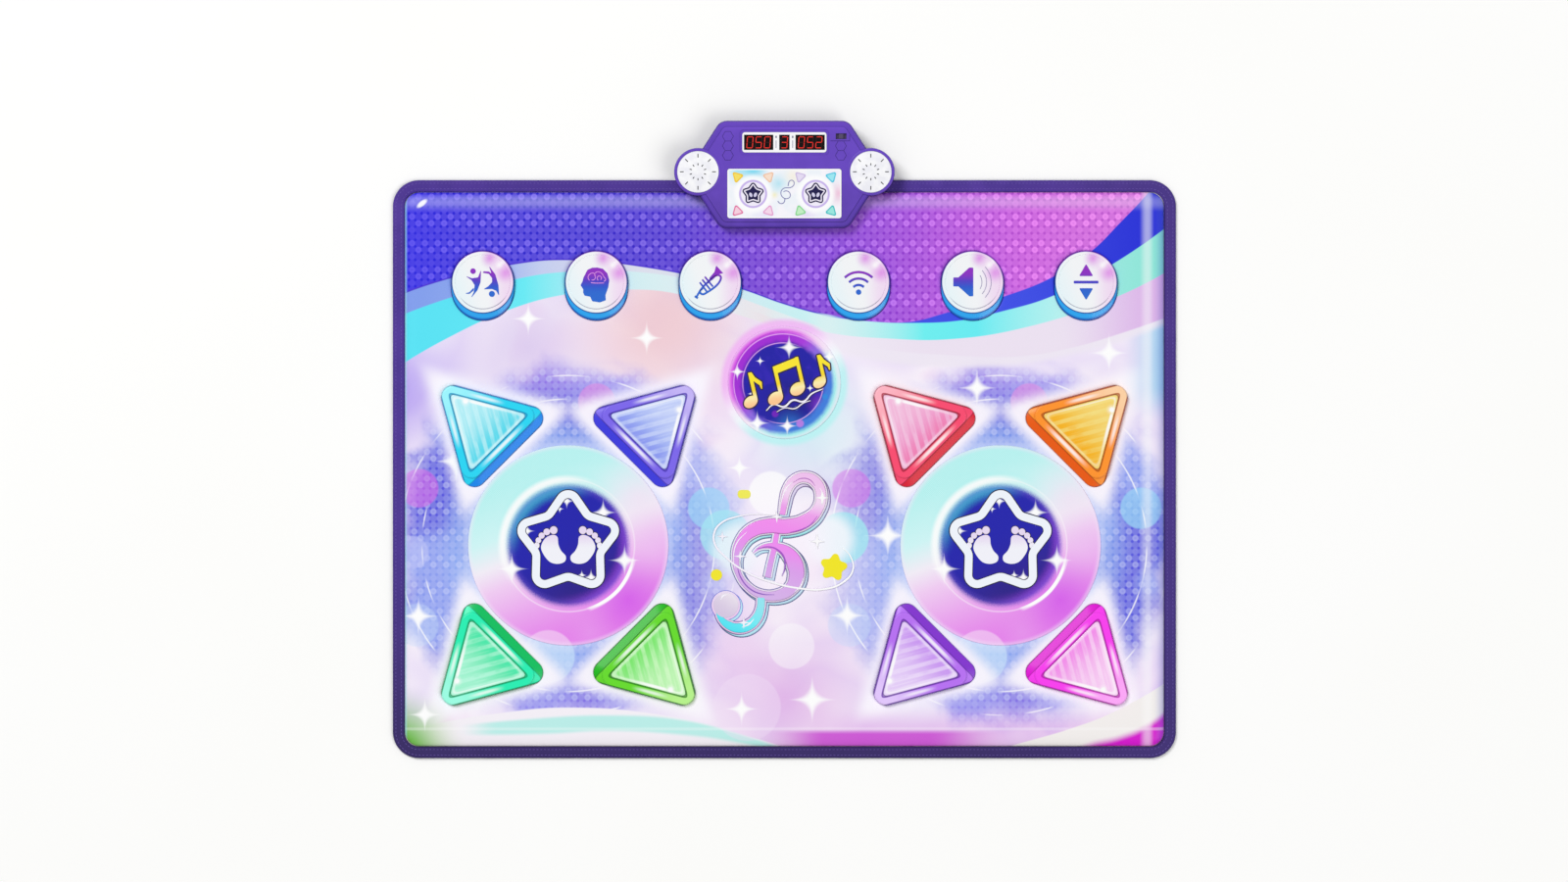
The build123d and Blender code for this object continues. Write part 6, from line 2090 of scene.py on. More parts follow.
# ---------------------------------------------------------------- badge
@dataclass
class TitleBadge:
    """The round badge: a night sky in a rose and aqua ring, with gold notes in place of a title."""

    floor: float = 17.0
    tilt: float = 13.0

    @property
    def centre(self) -> Point:
        """The badge's centre."""
        return 0, LAYOUT.badge_y

    def finish(self) -> Finish:
        """The badge's print."""
        sheet = Sheet("badge_print", Coat(roughness=0.35, coat=0.12, coat_roughness=0.15, specular=0.25))
        at = sheet.turned(sheet.flat_place(), self.centre, 0)
        span = sheet.reach(at, (-2, -1))
        rose = sheet.along(at, 135)
        halo = sheet.ramp(
            rose.fade(-80, 80),
            [(0.05, "A8F2F0"), (0.3, "CFF5F6"), (0.46, "F5DEF8"), (0.62, "F2BFF4"), (0.8, "E678EE"),
                (0.95, "E060EA")],
        )
        halo = sheet.mix(halo, "F6F2F4", sheet.disc(at, (-52, -50), 12, 30) * 0.8)
        halo = sheet.mix(halo, "F8E9F8", span.fade(72, 79.5) * 0.6)
        violet = sheet.ramp(
            rose.fade(-70, 70),
            [(0.05, "3E7CDC"), (0.3, "6A5AD8"), (0.5, "8E6AE0"), (0.72, "A838DC"), (0.95, "A028D4")],
        )
        sky = sheet.mix("1C18A4", "140E56", sheet.disc(at, (12, -22), 10, 44))
        cloud = sheet.noise(at, 0.035, 3, 0.8)
        sky = sheet.mix(sky, "3A22C0", cloud.fade(0.45, 0.7) * 0.6)
        sky = sheet.mix(sky, "1E8CD4", sheet.disc(at, (8, -62), 6, 26))
        sky = sheet.mix(sky, "9A30CC", sheet.disc(at, (48, -30), 4, 18) * 0.8)
        ragged = sheet.noise(at, 0.12, 2) * 6
        colour = sheet.mix(sky, violet, (span + ragged).fade(56, 66))
        colour = sheet.mix(colour, halo, (span + ragged * 0.4).fade(67.5, 76))
        thin = (span - 69).size().fade(1.1, 0.3) * rose.fade(-10, 50)
        thin = thin.most((span - 56.5).size().fade(1, 0.3) * rose.size().fade(10, 46))
        colour = sheet.mix(colour, "FFC4FF", thin * 0.6)
        for centre, reach, ink in (((-13, -44), 4.6, "7A1CC0"), ((22, -57.5), 5.2, "C47CE4"),
            ((16.5, -36), 2.4, "7CA8F4"), ((57, -20), 4, "2C8CE0")):
            colour = sheet.mix(colour, ink, sheet.disc(at, centre, reach, 1.4) * 0.8)
        shine = sheet.glints(at, (((6.5, 49), 17), ((-66, 15), 12), ((-38, -57), 17), ((4, -61), 14),
            ((63, 36), 11), ((-34, 30), 7), ((36, -8), 6), ((-46, -16), 6)), 1.4)
        sheet.paint(sheet.mix(colour, WHITE, shine))
        return sheet.material

    def gold(self) -> Finish:
        """The gold of the notes: deep at the top, pale at the foot."""
        sheet = Sheet("note_gold", Coat(roughness=0.3, metallic=0.0, coat=0.5, coat_roughness=0.1))
        at = sheet.turned(sheet.flat_place(), self.centre, self.tilt)
        up = sheet.split(at)[1] + sheet.noise(at, 0.2, 2) * 4
        sheet.paint(sheet.ramp(up.fade(-28, 30), [(0.05, "FFC890"), (0.25, "FFF0B0"), (0.5, "FAD818"),
            (0.9, "FCE820")]))
        return sheet.material

    def shade(self) -> Finish:
        """The dark ink round the notes."""
        return mottled("note_shade", "1A0A3C", "2C1058", Coat(roughness=0.4), 0.3)

    def note(self, x: float, y: float, size: float, tail: bool) -> list[np.ndarray]:
        """The outlines of one note with its stem.

        Args:
            x: where its head is.
            y: how high the head is.
            size: its scale.
            tail: whether it has a flag.

        Returns:
            Outlines that overlap.
        """
        head = turned(circle((0, 0), 1, 28) * (11.4, 8.4), (x, y), 24)
        head = np.asarray((x, y)) + (head - (x, y)) * size
        right = x + 8.2 * size
        top = y + 44 * size
        stem = rounded([(right - 2.4, y + 1), (right + 2.6, y + 1), (right + 2.6, top), (right - 2.4, top)],
            0.8, 0.6)
        shapes = [head, stem]
        if tail:
            flag = [(right - 2, top), (right + 2.6, top), (right + 6, top - 9 * size),
                (right + 15 * size, top - 18 * size), (right + 12.6 * size, top - 33 * size),
                (right + 10.4 * size, top - 22 * size), (right + 2.4, top - 14 * size),
                (right - 2, top - 14 * size)]
            shapes.append(rounded(flag[::-1], 0.9, 0.6))
        return shapes

    def build(self) -> list[Piece]:
        """Makes the notes, the dark ink round them and the white ribbon line under them.

        Returns:
            The pieces.
        """
        shapes = self.note(-52, -16, 0.92, True) + self.note(-17, -19, 1, False) + self.note(16, -13, 1,
            False) + self.note(48, -11, 0.86, True)
        left, right = -17 + 8.2, 16 + 8.2
        beam = [(left - 2.4, 14), (right + 2.6, 20), (right + 2.6, 31), (left - 2.4, 25)]
        shapes.append(rounded(beam, 0.8, 0.6))
        gold, shade = self.gold(), self.shade()
        bright, dark = [], []
        for k, shape in enumerate(shapes):
            own = turned(densified(shape, 2), self.centre, self.tilt)
            lift = 0.015 * k
            dark.append(relief("shade", [shifted(own, 1.9)], self.floor - 0.02, 0.3 + lift, shade, 0.08))
            bright.append(relief("note", [own], self.floor + 0.2, 0.75 + lift, gold, 0.3))
        white = mottled("ribbon_white", "F2ECFF", WHITE, Coat(roughness=0.3, coat=0.3), 0.3)
        paths = (
            [(-34, -33), (-22, -27), (-8, -33), (6, -27), (20, -32), (34, -24), (50, -21)],
            [(-20, -38), (-8, -35), (6, -39), (20, -34), (30, -33)],
        )
        ribbons = []
        for path, width in zip(paths, (2.6, 1.7)):
            own = turned(np.asarray(path, float), self.centre, self.tilt)
            widths = [width * (0.35 + 0.65 * math.sin(math.pi * (k + 0.4) / len(path))) for k in range(len(path))]
            dark.append(brushed_line("shade", own.tolist(), [w + 2.4 for w in widths], self.floor, 0.5,
                shade))
            ribbons.append(brushed_line("ribbon", own.tolist(), widths, self.floor + 0.35, 0.5, white))
        return [joined("note_shades", dark), joined("gold_notes", bright), joined("badge_ribbons", ribbons)]


# ---------------------------------------------------------------- clef
@dataclass
class ClefPrint:
    """The puffed clef between the players, with its orbit line, star and dots."""

    lie: float = 15.98
    ball: Point = (-82.0, -190.6)
    main: tuple[tuple[float, float, float], ...] = (
        (-3, -64, 8.5), (-0.5, -47, 11), (4.6, -28, 12.5), (14, -15.8, 13.5), (28.8, -11.4, 14.5), (43.5,
            -17.6, 16),
        (51.3, -34.6, 15.5), (46.5, -56.5, 15.5), (29.5, -72.5, 20), (4.5, -80, 21.5), (-22, -79.5,
            21.5), (-46, -86.5, 19.5),
        (-62, -103.5, 15.5), (-68.2, -126, 10.5), (-64, -147, 9), (-51, -165, 10), (-31.5, -176, 12),
        (-10, -177, 15), (8, -168, 18), (16.5, -152, 22), (15, -134, 24), (6, -119, 20),
        (-9, -109.4, 12), (-24, -107.6, 7.5), (-36, -111, 4), (-44, -117.5, 1.2),
    )
    stem: tuple[tuple[float, float, float], ...] = ((-10.6, -90, 8), (-14.6, -112, 8), (-19.4, -132, 8.6),
        (-23.6, -152, 9))
    hook: tuple[tuple[float, float, float], ...] = (
        (-32.4, -180, 11), (-33.4, -194, 11.5), (-38.6, -208, 13.5), (-50, -219, 14.5), (-64, -222.6, 14),
        (-78, -218.8, 12), (-88.6, -210, 8.5), (-95, -199, 4),
    )

    def wash(self, name: str, stops: Sequence[Stop], angle: float, low: float, high: float,
        gloss: float = 0.35) -> Finish:
        """A glossy puff ink whose colour runs in one direction."""
        sheet = Sheet(name, Coat(roughness=0.3, coat=gloss, coat_roughness=0.12))
        at = sheet.flat_place()
        along = sheet.along(at, angle) + sheet.noise(at, 0.05, 1) * 6
        sheet.paint(sheet.ramp(along.fade(low, high), stops))
        return sheet.material

    def stroke(self, name: str, line: Stroke, extra: float, lift: float, rise: float, ink: Finish) -> Piece:
        """One stroke with its width grown by an extra."""
        return brushed_line(name, [(x, y) for x, y, _ in line], [w + extra for *_, w in line],
            self.lie + lift, rise, ink)

    def build(self) -> list[Piece]:
        """Makes the layers of the clef and what floats round it.

        Returns:
            The pieces.
        """
        edge = self.wash("clef_edge", [(0, "4C5CD0"), (0.5, "6C74DC"), (1, "9C68DC")], 90, -240, 0)
        pale = self.wash("clef_pale", [(0, "F0C4EE"), (0.4, "EAF2FC"), (1, "F8EEFC")], 90, -240, 0)
        side = self.wash("clef_side_ink", [(0, "B8E8F8"), (0.35, "D4E4F8"), (0.7, "A4F0F4"), (1, "E8D4F4")],
            80, -230, 0)
        rose = self.wash(
            "clef_rose",
            [(0, "D8B4EC"), (0.22, "DDA0EE"), (0.4, "F08CF2"), (0.62, "F48CF0"), (0.8, "F0A0EE"),
                (0.92, "F6DCF6"), (1, "F2C0F0")],
            72, -190, 10,
        )
        aqua = self.wash("clef_aqua", [(0, "48E4F4"), (0.5, "6CF0FA"), (1, "94E8F4")], 60, -240, -170)
        pearl = self.wash("clef_pearl", [(0, "D8C8E4"), (0.45, "EDE4F0"), (0.75, "F6F4FA"), (1, "DCE8F8")],
            60, -220, -150)
        plum = self.wash("clef_plum", [(0, "8C5CC4"), (0.5, "A848C8"), (1, "B060C0")], 90, -190, 0)
        layers = []
        for extra, lift, rise, ink, name, slip in (
            (6.4, 0, 0.3, edge, "clef_shadow_line", 2.6), (4.8, 0.1, 0.32, side, "clef_side", 2.6),
            (5.4, 0.16, 0.4, edge, "clef_outline", 0), (4, 0.3, 0.42, pale, "clef_border", 0),
        ):
            lines = [[(x + slip, y - slip * 1.2, w) for x, y, w in line] for line in (self.main, self.stem,
                self.hook)]
            parts = [self.stroke(name, line, extra, lift, rise, ink) for line in lines]
            parts.append(relief(name, [circle((self.ball[0] + slip, self.ball[1] - slip), 18.2 + extra / 2,
                40)], self.lie + lift, rise, ink, 0.15))
            layers.append(joined(name, parts))
        rose_parts = [self.stroke("clef_strokes", self.main, -0.6, 0.5, 0.75, rose),
            self.stroke("stem", self.stem, -0.6, 0.45, 0.65, rose)]
        layers.append(joined("clef_strokes", rose_parts))
        layers.append(self.stroke("clef_hook", self.hook, -0.6, 0.5, 0.75, aqua))
        ball = relief("clef_ball", [circle(self.ball, 17.4, 40)], self.lie + 0.5, 0.7, pearl, 0.35)
        layers.append(ball)
        creases = [
            self.stroke("crease", ((-66.5, -135, 0.6), (-61, -152, 1.7), (-49, -167, 1.7),
                (-33, -174.6, 1.6), (-14, -176, 0.6)), 0, 1.05, 0.35, plum),
            self.stroke("crease", ((-38, -111.5, 0.6), (-22, -108.8, 1.6), (-9.5, -113, 2),
                (-0.5, -124, 2.4), (0.5, -139, 1.8), (-3.5, -150, 0.6)), 0, 1.05, 0.4, plum),
            self.stroke("crease", ((46, -66, 0.6), (36, -78, 1.8), (22, -85, 1.6), (8, -88.4, 0.6)), 0, 1,
                0.4, plum),
            self.stroke("crease", ((12, -18.6, 0.5), (24, -12.8, 1.2), (36, -15, 1.2), (43, -23, 0.5)), 0,
                1.1, 0.3, plum),
        ]
        layers.append(joined("clef_creases", creases))
        white = self.wash("orbit_white", [(0, "F8F4FF"), (1, WHITE)], 0, -100, 100)
        left = ((-12, -64.6, 0.6), (-40, -62.6, 1.6), (-66, -66.4, 2.2), (-88, -75, 2.6), (-98, -88, 2.8),
            (-97.4, -105, 2.8), (-83, -122.4, 2.8),
                (-56, -142.6, 2.8), (-20, -157.6, 2.8), (22, -167, 2.8), (56, -168, 2.6), (82, -158.6,
                    2.6), (96, -141, 2.4), (93, -123, 2), (82, -110, 0.8))
        layers.append(self.stroke("orbit_line", left, 0, 1.15, 0.4, white))
        yellow = self.wash("star_yellow", [(0, "FBF6C8"), (0.4, "F8F070"), (0.7, "F2EC10"), (1, "F4E800")],
            -10, 44, 92)
        star = star_corners(25, 13, 80, (69, -137.5))
        floats = [relief("float", [rounded(star, [5, 4] * 5, 1)], self.lie, 0.6, yellow, 0.25)]
        lemon = self.wash("dot_yellow", [(0, "F4E81C"), (1, "F2EE58")], 60, -180, -20)
        floats.append(relief("float", [rounded_box(18, 12, 5, (-56.5, -35), 0.8)], self.lie, 0.6, lemon,
            0.25))
        floats.append(relief("float", [circle((-95.2, -148.2), 8, 32)], self.lie, 0.6, lemon, 0.25))
        layers.append(joined("star_floats", floats))
        lights = [
            self.stroke("light", ((-6.6, -60, 0.5), (-3.6, -42, 1.4), (2.4, -27, 1.6), (12, -17, 0.5)), 0,
                1.1, 0.3, white),
            self.stroke("light", ((50, -26, 0.5), (54.6, -38, 2.2), (53, -50, 0.5)), 0, 1.1, 0.3, white),
            self.stroke("light", ((-52, -87, 0.5), (-66.4, -103, 1.6), (-71.4, -122, 1.4),
                (-69.4, -140, 0.5)), 0, 1.1, 0.3, white),
            self.stroke("light", ((-89.6, -184, 0.5), (-86, -177.6, 3), (-78.6, -175.4, 0.6)), 0, 1.1, 0.3,
                white),
            self.stroke("light", ((-60, -221.6, 0.5), (-50, -217.4, 2.6), (-42.4, -209.4, 0.6)), 0, 1.1,
                0.3, white),
            self.stroke("light", ((14, -172.6, 0.5), (22.4, -164, 1.8), (26.6, -152, 0.5)), 0, 1.1, 0.3,
                white),
        ]
        for x, y, size in ((-10.6, -66.6, 9), (52.6, -40, 10), (-62, -122, 9), (-87, -94, 8),
            (-57, -215, 9), (46, -101, 11)):
            points = [(x + reach * math.cos(k * math.pi / 4), y + reach * math.sin(k * math.pi / 4)) for k,
                reach in enumerate([size, size * 0.24] * 4)]
            lights.append(relief("light", [np.asarray(points)], self.lie + 1.2, 0.3, white, 0.05))
        layers.append(joined("clef_lights", lights))
        return layers


# ---------------------------------------------------------------- hard finishes
@dataclass(frozen=True)
class Grain:
    """A finish that is one colour with the small unevenness of its stuff."""

    name: str
    light: str
    dark: str
    coat: Coat
    scale: float = 0.05
    relief_depth: float = 0.02
    relief_scale: float = 2.0

    def build(self) -> Finish:
        """Writes the material."""
        sheet = Sheet(self.name, self.coat)
        at = sheet.place()
        mottle = sheet.noise(at, self.scale, 3)
        sheet.paint(sheet.ramp(mottle, [(0.3, self.dark), (0.7, self.light)]))
        sheet.emboss(sheet.noise(at, self.relief_scale, 2), self.relief_depth, 0.25)
        return sheet.material


class HardFinish(Enum):
    """The plain finishes of the hard parts."""

    BEZEL = Grain("bezel_white", "FFFFFF", "F6F6FC", Coat(roughness=0.25, coat=0.3))
    SMOKED = Grain("smoked_window", "060102", "0C0203", Coat(roughness=0.2, coat=0.1, coat_roughness=0.05,
        specular=0.2))
    BOARD = Grain("board_green", "1F7A45", "17653A", Coat(roughness=0.45, coat=0.2))
    CHIP = Grain("component_black", "202024", "141416", Coat(roughness=0.5))
    GUIDE = Grain("light_guide", "F0F6FF", "E4ECFA", Coat(roughness=0.2, clearness=0.6))
    LAMP = Grain("lamp_white", "FFFDF2", "F4F0DC", Coat(roughness=0.3))
    CONTACT = Grain("spring_nickel", "D8D8DC", "B8B8BE", Coat(roughness=0.3, metallic=1.0))
    SCREW = Grain("screw_steel", "C4C4CC", "9C9CA6", Coat(roughness=0.32, metallic=1.0), 0.4)
    BASKET = Grain("basket_steel", "A4A6AC", "888A92", Coat(roughness=0.4, metallic=1.0))
    MAGNET = Grain("ferrite", "2C2C30", "1E1E22", Coat(roughness=0.65))
    PAPER = Grain("cone_paper", "6C665E", "565048", Coat(roughness=0.85), 0.3, 0.08, 0.9)
    KNOB = Grain("knob_black", "2A1C48", "1A1232", Coat(roughness=0.45))
    RUBBER = Grain("foot_rubber", "2A2A2E", "1C1C20", Coat(roughness=0.75))
    FOAM = Grain("foam", "F2EEE2", "E2DCCC", Coat(roughness=0.9), 0.5, 0.3, 0.6)
    FILM = Grain("circuit_film", "CFE0D8", "BCD2C8", Coat(roughness=0.35, coat=0.3))
    CARBON = Grain("contact_ink", "2E3034", "202226", Coat(roughness=0.5))
    TONGUE = Grain("tongue_cloth", "4A3590", "3A2878", Coat(roughness=0.8, sheen=0.3), 0.8, 0.15, 1.2)
    BASE = Grain("grip_cloth", "3A3A42", "2C2C34", Coat(roughness=0.85, sheen=0.2), 0.6, 0.12, 1.1)
    STUD = Grain("grip_rubber", "26262C", "1C1C22", Coat(roughness=0.6))

    def build(self) -> Finish:
        """Writes the finish's material, once."""
        kept = bpy.data.materials.get(self.value.name)
        return kept or self.value.build()


# ---------------------------------------------------------------- console
@dataclass
class Console:
    """The scoring console: its case, grilles, digits and step map."""

    panel_centre: Point = (0.0, 385.6)
    panel_size: Point = (159.5, 69.1)
    panel_top: float = 35.2
    map_half: float = 43.8
    display_y: float = 457.2
    display_top: float = 34.5
    segment: float = 1.15
    digit_size: Point = (8.0, 15.4)
    digit_pitch: float = 12.2
    lean: float = 0.08

    def case(self, name: str) -> Finish:
        """The purple moulding, darker towards the front, with a painted highlight along its back edge, painted
        shade in its grooves and in the recess round the bezel, and painted shade down its walls.
        """
        sheet = Sheet(name, Coat(roughness=0.38, coat=0.1, coat_roughness=0.2, specular=0.3))
        at = sheet.place()
        x, y, z = sheet.split(at)
        colour = sheet.mix("6340BC", "5A3AAA", y.fade(440, 345))
        # painted highlight along the back edge of the top
        colour = sheet.mix(colour, "7448D0", y.fade(466, 486) * 0.6)
        colour = sheet.mix(colour, "7650D4", z.fade(34.7, 35) * y.fade(474, 482) * 0.5)
        colour = sheet.mix(colour, "6C48C8", sheet.noise(at, 0.03, 2).fade(0.4, 0.65) * 0.35)
        # painted shade in the grooves, along the plateau's edge and in the recess round the bezel
        colour = sheet.mix(colour, "22105E", z.fade(34.96, 34.7) * z.fade(34.3, 34.5) * 0.9)
        colour = sheet.mix(colour, "4A2AA0", z.fade(34.25, 34.1) * 0.25)
        # painted shade down the walls, darkest low down
        colour = sheet.mix(colour, "2A1468", z.fade(33.6, 30.5) * 0.85)
        colour = sheet.mix(colour, "22104E", z.fade(26, 18) * 0.7)
        sheet.paint(colour)
        sheet.emboss(sheet.noise(at, 3, 2), 0.05, 0.2)
        return sheet.material

    def grille(self) -> Finish:
        """The white speaker grille, with painted shade low down in its rings."""
        sheet = Sheet("grille_white", Coat(roughness=0.35, coat=0.2))
        at = sheet.place()
        z = sheet.split(at)[2]
        colour = sheet.mix("FBFBFD", "EFEFF6", sheet.noise(at, 0.08, 2).fade(0.35, 0.65))
        # painted shade low down in the rings
        sheet.paint(sheet.mix(colour, "34344C", z.fade(34.9, 34.3) * 0.9))
        return sheet.material

    def cell_finish(self) -> Finish:
        """The cells: green sleeve with a dark band at one end."""
        sheet = Sheet("cell_sleeve", Coat(roughness=0.3, coat=0.4))
        y = sheet.split(sheet.place())[1]
        colour = sheet.mix("2F9A52", "1C1C22", y.fade(440, 441))
        sheet.paint(sheet.mix(colour, "D8D8DC", y.fade(425.5, 425)))
        return sheet.material

    def lit(self) -> Finish:
        """A lit red segment."""
        sheet = Sheet("segment_red", Coat(roughness=0.5, glow=0.3, specular=0.2))
        glow = sheet.noise(sheet.place(), 0.6, 1)
        red = sheet.ramp(glow, [(0.3, "C81E16"), (0.7, "DC342C")])
        sheet.paint(red)
        sheet.shine(red)
        return sheet.material

    def unlit(self) -> Finish:
        """An unlit segment, barely seen in the dark."""
        return mottled("segment_dark", "240404", "340707", Coat(roughness=0.5, specular=0.2), 0.6)

    def digits(self) -> Piece:
        """The seven-segment figures of the three displays.

        Returns:
            One piece of lit and unlit segments.
        """
        wide, tall = self.digit_size
        half, bar = tall / 2, self.segment
        upright = [(-bar / 2, 0.5), (0, 0), (bar / 2, 0.5), (bar / 2, half - 0.7), (0, half - 0.2),
            (-bar / 2, half - 0.7)]
        level = [(0.2, 0), (0.9, -bar / 2), (wide - 0.9, -bar / 2), (wide - 0.2, 0), (wide - 0.9, bar / 2),
            (0.9, bar / 2)]
        places = {
            "a": (level, 0, tall), "g": (level, 0, half), "d": (level, 0, 0),
            "f": (upright, 0, half), "e": (upright, 0, 0), "b": (upright, wide, half), "c": (upright, wide,
                0),
        }
        shown = {"0": "abcdef", "2": "abged", "3": "abgcd", "5": "afgcd"}
        lit, unlit = self.lit(), self.unlit()
        made = []
        for text, middle in (("050", -36), ("3", 0), ("052", 36)):
            for k, figure in enumerate(text):
                left = middle + (k - (len(text) - 1) / 2) * self.digit_pitch - wide / 2
                for letter, (shape, x, y) in places.items():
                    points = [(left + x + a + (y + b - half) * self.lean,
                        self.display_y - half + y + b) for a, b in shape]
                    on = letter in shown[figure]
                    made.append(relief("segment", [np.asarray(points)], self.display_top - 0.02,
                        0.12 if on else 0.05, lit if on else unlit, 0.02))
        return joined("score_figures", made)

    def panel_print(self) -> Finish:
        """The pastel ground of the step map."""
        sheet = Sheet("step_panel_print", Coat(roughness=0.3, coat=0.2, coat_roughness=0.1, specular=0.25))
        at = sheet.turned(sheet.flat_place(), self.panel_centre, 0)
        x, y, _ = sheet.split(at)
        colour = sheet.mix("F8F6FC", "EFF4FA", sheet.noise(at, 0.05, 2).fade(0.35, 0.6))
        colour = sheet.spots(at, colour, (
            ((-44, 38), 14, 16, "50D4F0", 1), ((-66, 32), 6, 18, "7CE0F4", 0.9), ((-8, 14), 5, 16, "8CDCEE",
                0.9),
            ((12, 24), 6, 12, "F8F0DC", 0.9), ((-14, -2), 2, 6, "F4EC90", 0.8), ((76, 0), 6, 18, "F0A8CC",
                0.9),
            ((30, -34), 6, 22, "DCC4F4", 0.8), ((-30, -36), 6, 20, "D8D0F8", 0.7), ((-76, -28), 4, 10,
                "C8E4F8", 0.6), ((70, 34), 4, 16, "F4E4F8", 0.8),
        ))
        for side in (-1, 1):
            own = sheet.turned(at, (self.map_half * side, -0.6), 0)
            span = sheet.reach(own)
            colour = sheet.mix(colour, WHITE, span.fade(30, 22) * 0.85)
            colour = sheet.mix(colour, "C4AEEA", (span - 18.2).size().fade(2.2, 0.8) * 0.95)
            colour = sheet.mix(colour, "F0EAFA", span.fade(16.6, 15.6) * 0.9)
        edge = (x.size() - (self.panel_size[0] / 2 - 1.6)).most(y.size() - (self.panel_size[1] / 2 - 1.6))
        sheet.paint(sheet.mix(colour, WHITE, edge.fade(-0.4, 0.2)))
        return sheet.material

    def map_marks(self) -> Piece:
        """The small pads, stars and clef of the step map.

        Returns:
            One piece.
        """
        inks = {
            (-1, -1, 1): ("F4C822", "F8E060"), (-1, 1, 1): ("F2C4A4", "FAE0CC"), (1, -1, 1): ("CDBCE4",
                "E6DCF4"), (1, 1, 1): ("4CC8E4", "9CE8F4"),
            (-1, -1, -1): ("E46CA0", "F8D0E0"), (-1, 1, -1): ("E8A0D0", "F6D8EC"), (1, -1, -1): ("84D88C",
                "C4F0C4"), (1, 1, -1): ("34C0C4", "98E8E0"),
        }
        made = []
        level = self.panel_top - 0.02
        for (player, across, row), (edge, face) in inks.items():
            rim = Grain(f"map_{edge.lower()}", edge, edge, Coat(roughness=0.3, coat=0.3)).build()
            top = Grain(f"map_{face.lower()}", face, face, Coat(roughness=0.3, coat=0.3)).build()
            centre = (self.panel_centre[0] + player * self.map_half + across * 22,
                self.panel_centre[1] - 0.6 + row * 24)
            corners = [(10.6 * math.cos(a), 10.6 * math.sin(a)) for a in (0, 2 * math.pi / 3,
                4 * math.pi / 3)]
            shape = turned(rounded(corners, 2.4, 0.5), centre, outward(across, row))
            made.append(relief("mark", [shape], level, 0.22, rim, 0.06))
            inner = turned(rounded([(x * 0.7, y * 0.7) for x, y in corners], 1.4, 0.5), centre,
                outward(across, row))
            made.append(relief("mark", [inner], level + 0.15, 0.16, top, 0.05))
        night = Grain("map_night", "18104C", "140C40", Coat(roughness=0.4, specular=0.25)).build()
        silver = Grain("map_silver", "DCD8F0", "C4C0E4", Coat(roughness=0.35)).build()
        ink = Grain("map_ink", "8484B8", "7474AC", Coat(roughness=0.35)).build()
        for player in (-1, 1):
            centre = np.array((self.panel_centre[0] + player * self.map_half, self.panel_centre[1] - 0.2))
            star = densified(rounded(star_corners(17, 10.4, 90), [3, 1.4] * 5, 0.4), 0.8)
            made.append(relief("mark", [shifted(star, 0.6) + centre, shifted(star, -1.3) + centre], level,
                0.16, night, 0.04))
            made.append(relief("mark", [shifted(star, -3) + centre], level, 0.14, night, 0.04))
            for side in (-1, 1):
                sole = circle((0, 0), 1, 24) * (2.1, 3.3)
                made.append(relief("mark", [turned(sole, centre + (side * 3.2, -1.6), side * -24)],
                    level + 0.1, 0.14, silver, 0.03))
        scale = 0.155
        for line, width in ((ClefPrint().main, 1.2), (ClefPrint().hook, 1.3)):
            path = [(4.4 + (x + 8) * scale, self.panel_centre[1] + 1 + (y + 125) * scale) for x, y, _ in line]
            made.append(brushed_line("mark", path, [width] * len(path), level, 0.2, ink))
        return joined("step_map_marks", made)

    def display_ticks(self) -> Piece:
        """The small grey marks between the display windows."""
        grey = Grain("tick_grey", "8888A0", "787890", Coat(roughness=0.4)).build()
        made = []
        for x in (-11.6, 11.6):
            for row, (wide, tall) in enumerate(((2.2, 3.2), (1, 11))):
                y = self.display_y + (7.6 if row == 0 else -2.6)
                made.append(relief("tick", [rounded_box(wide, tall, 0.4, (x, y), 0.3)], 35.08, 0.1, grey,
                    0.03))
        return joined("display_ticks", made)


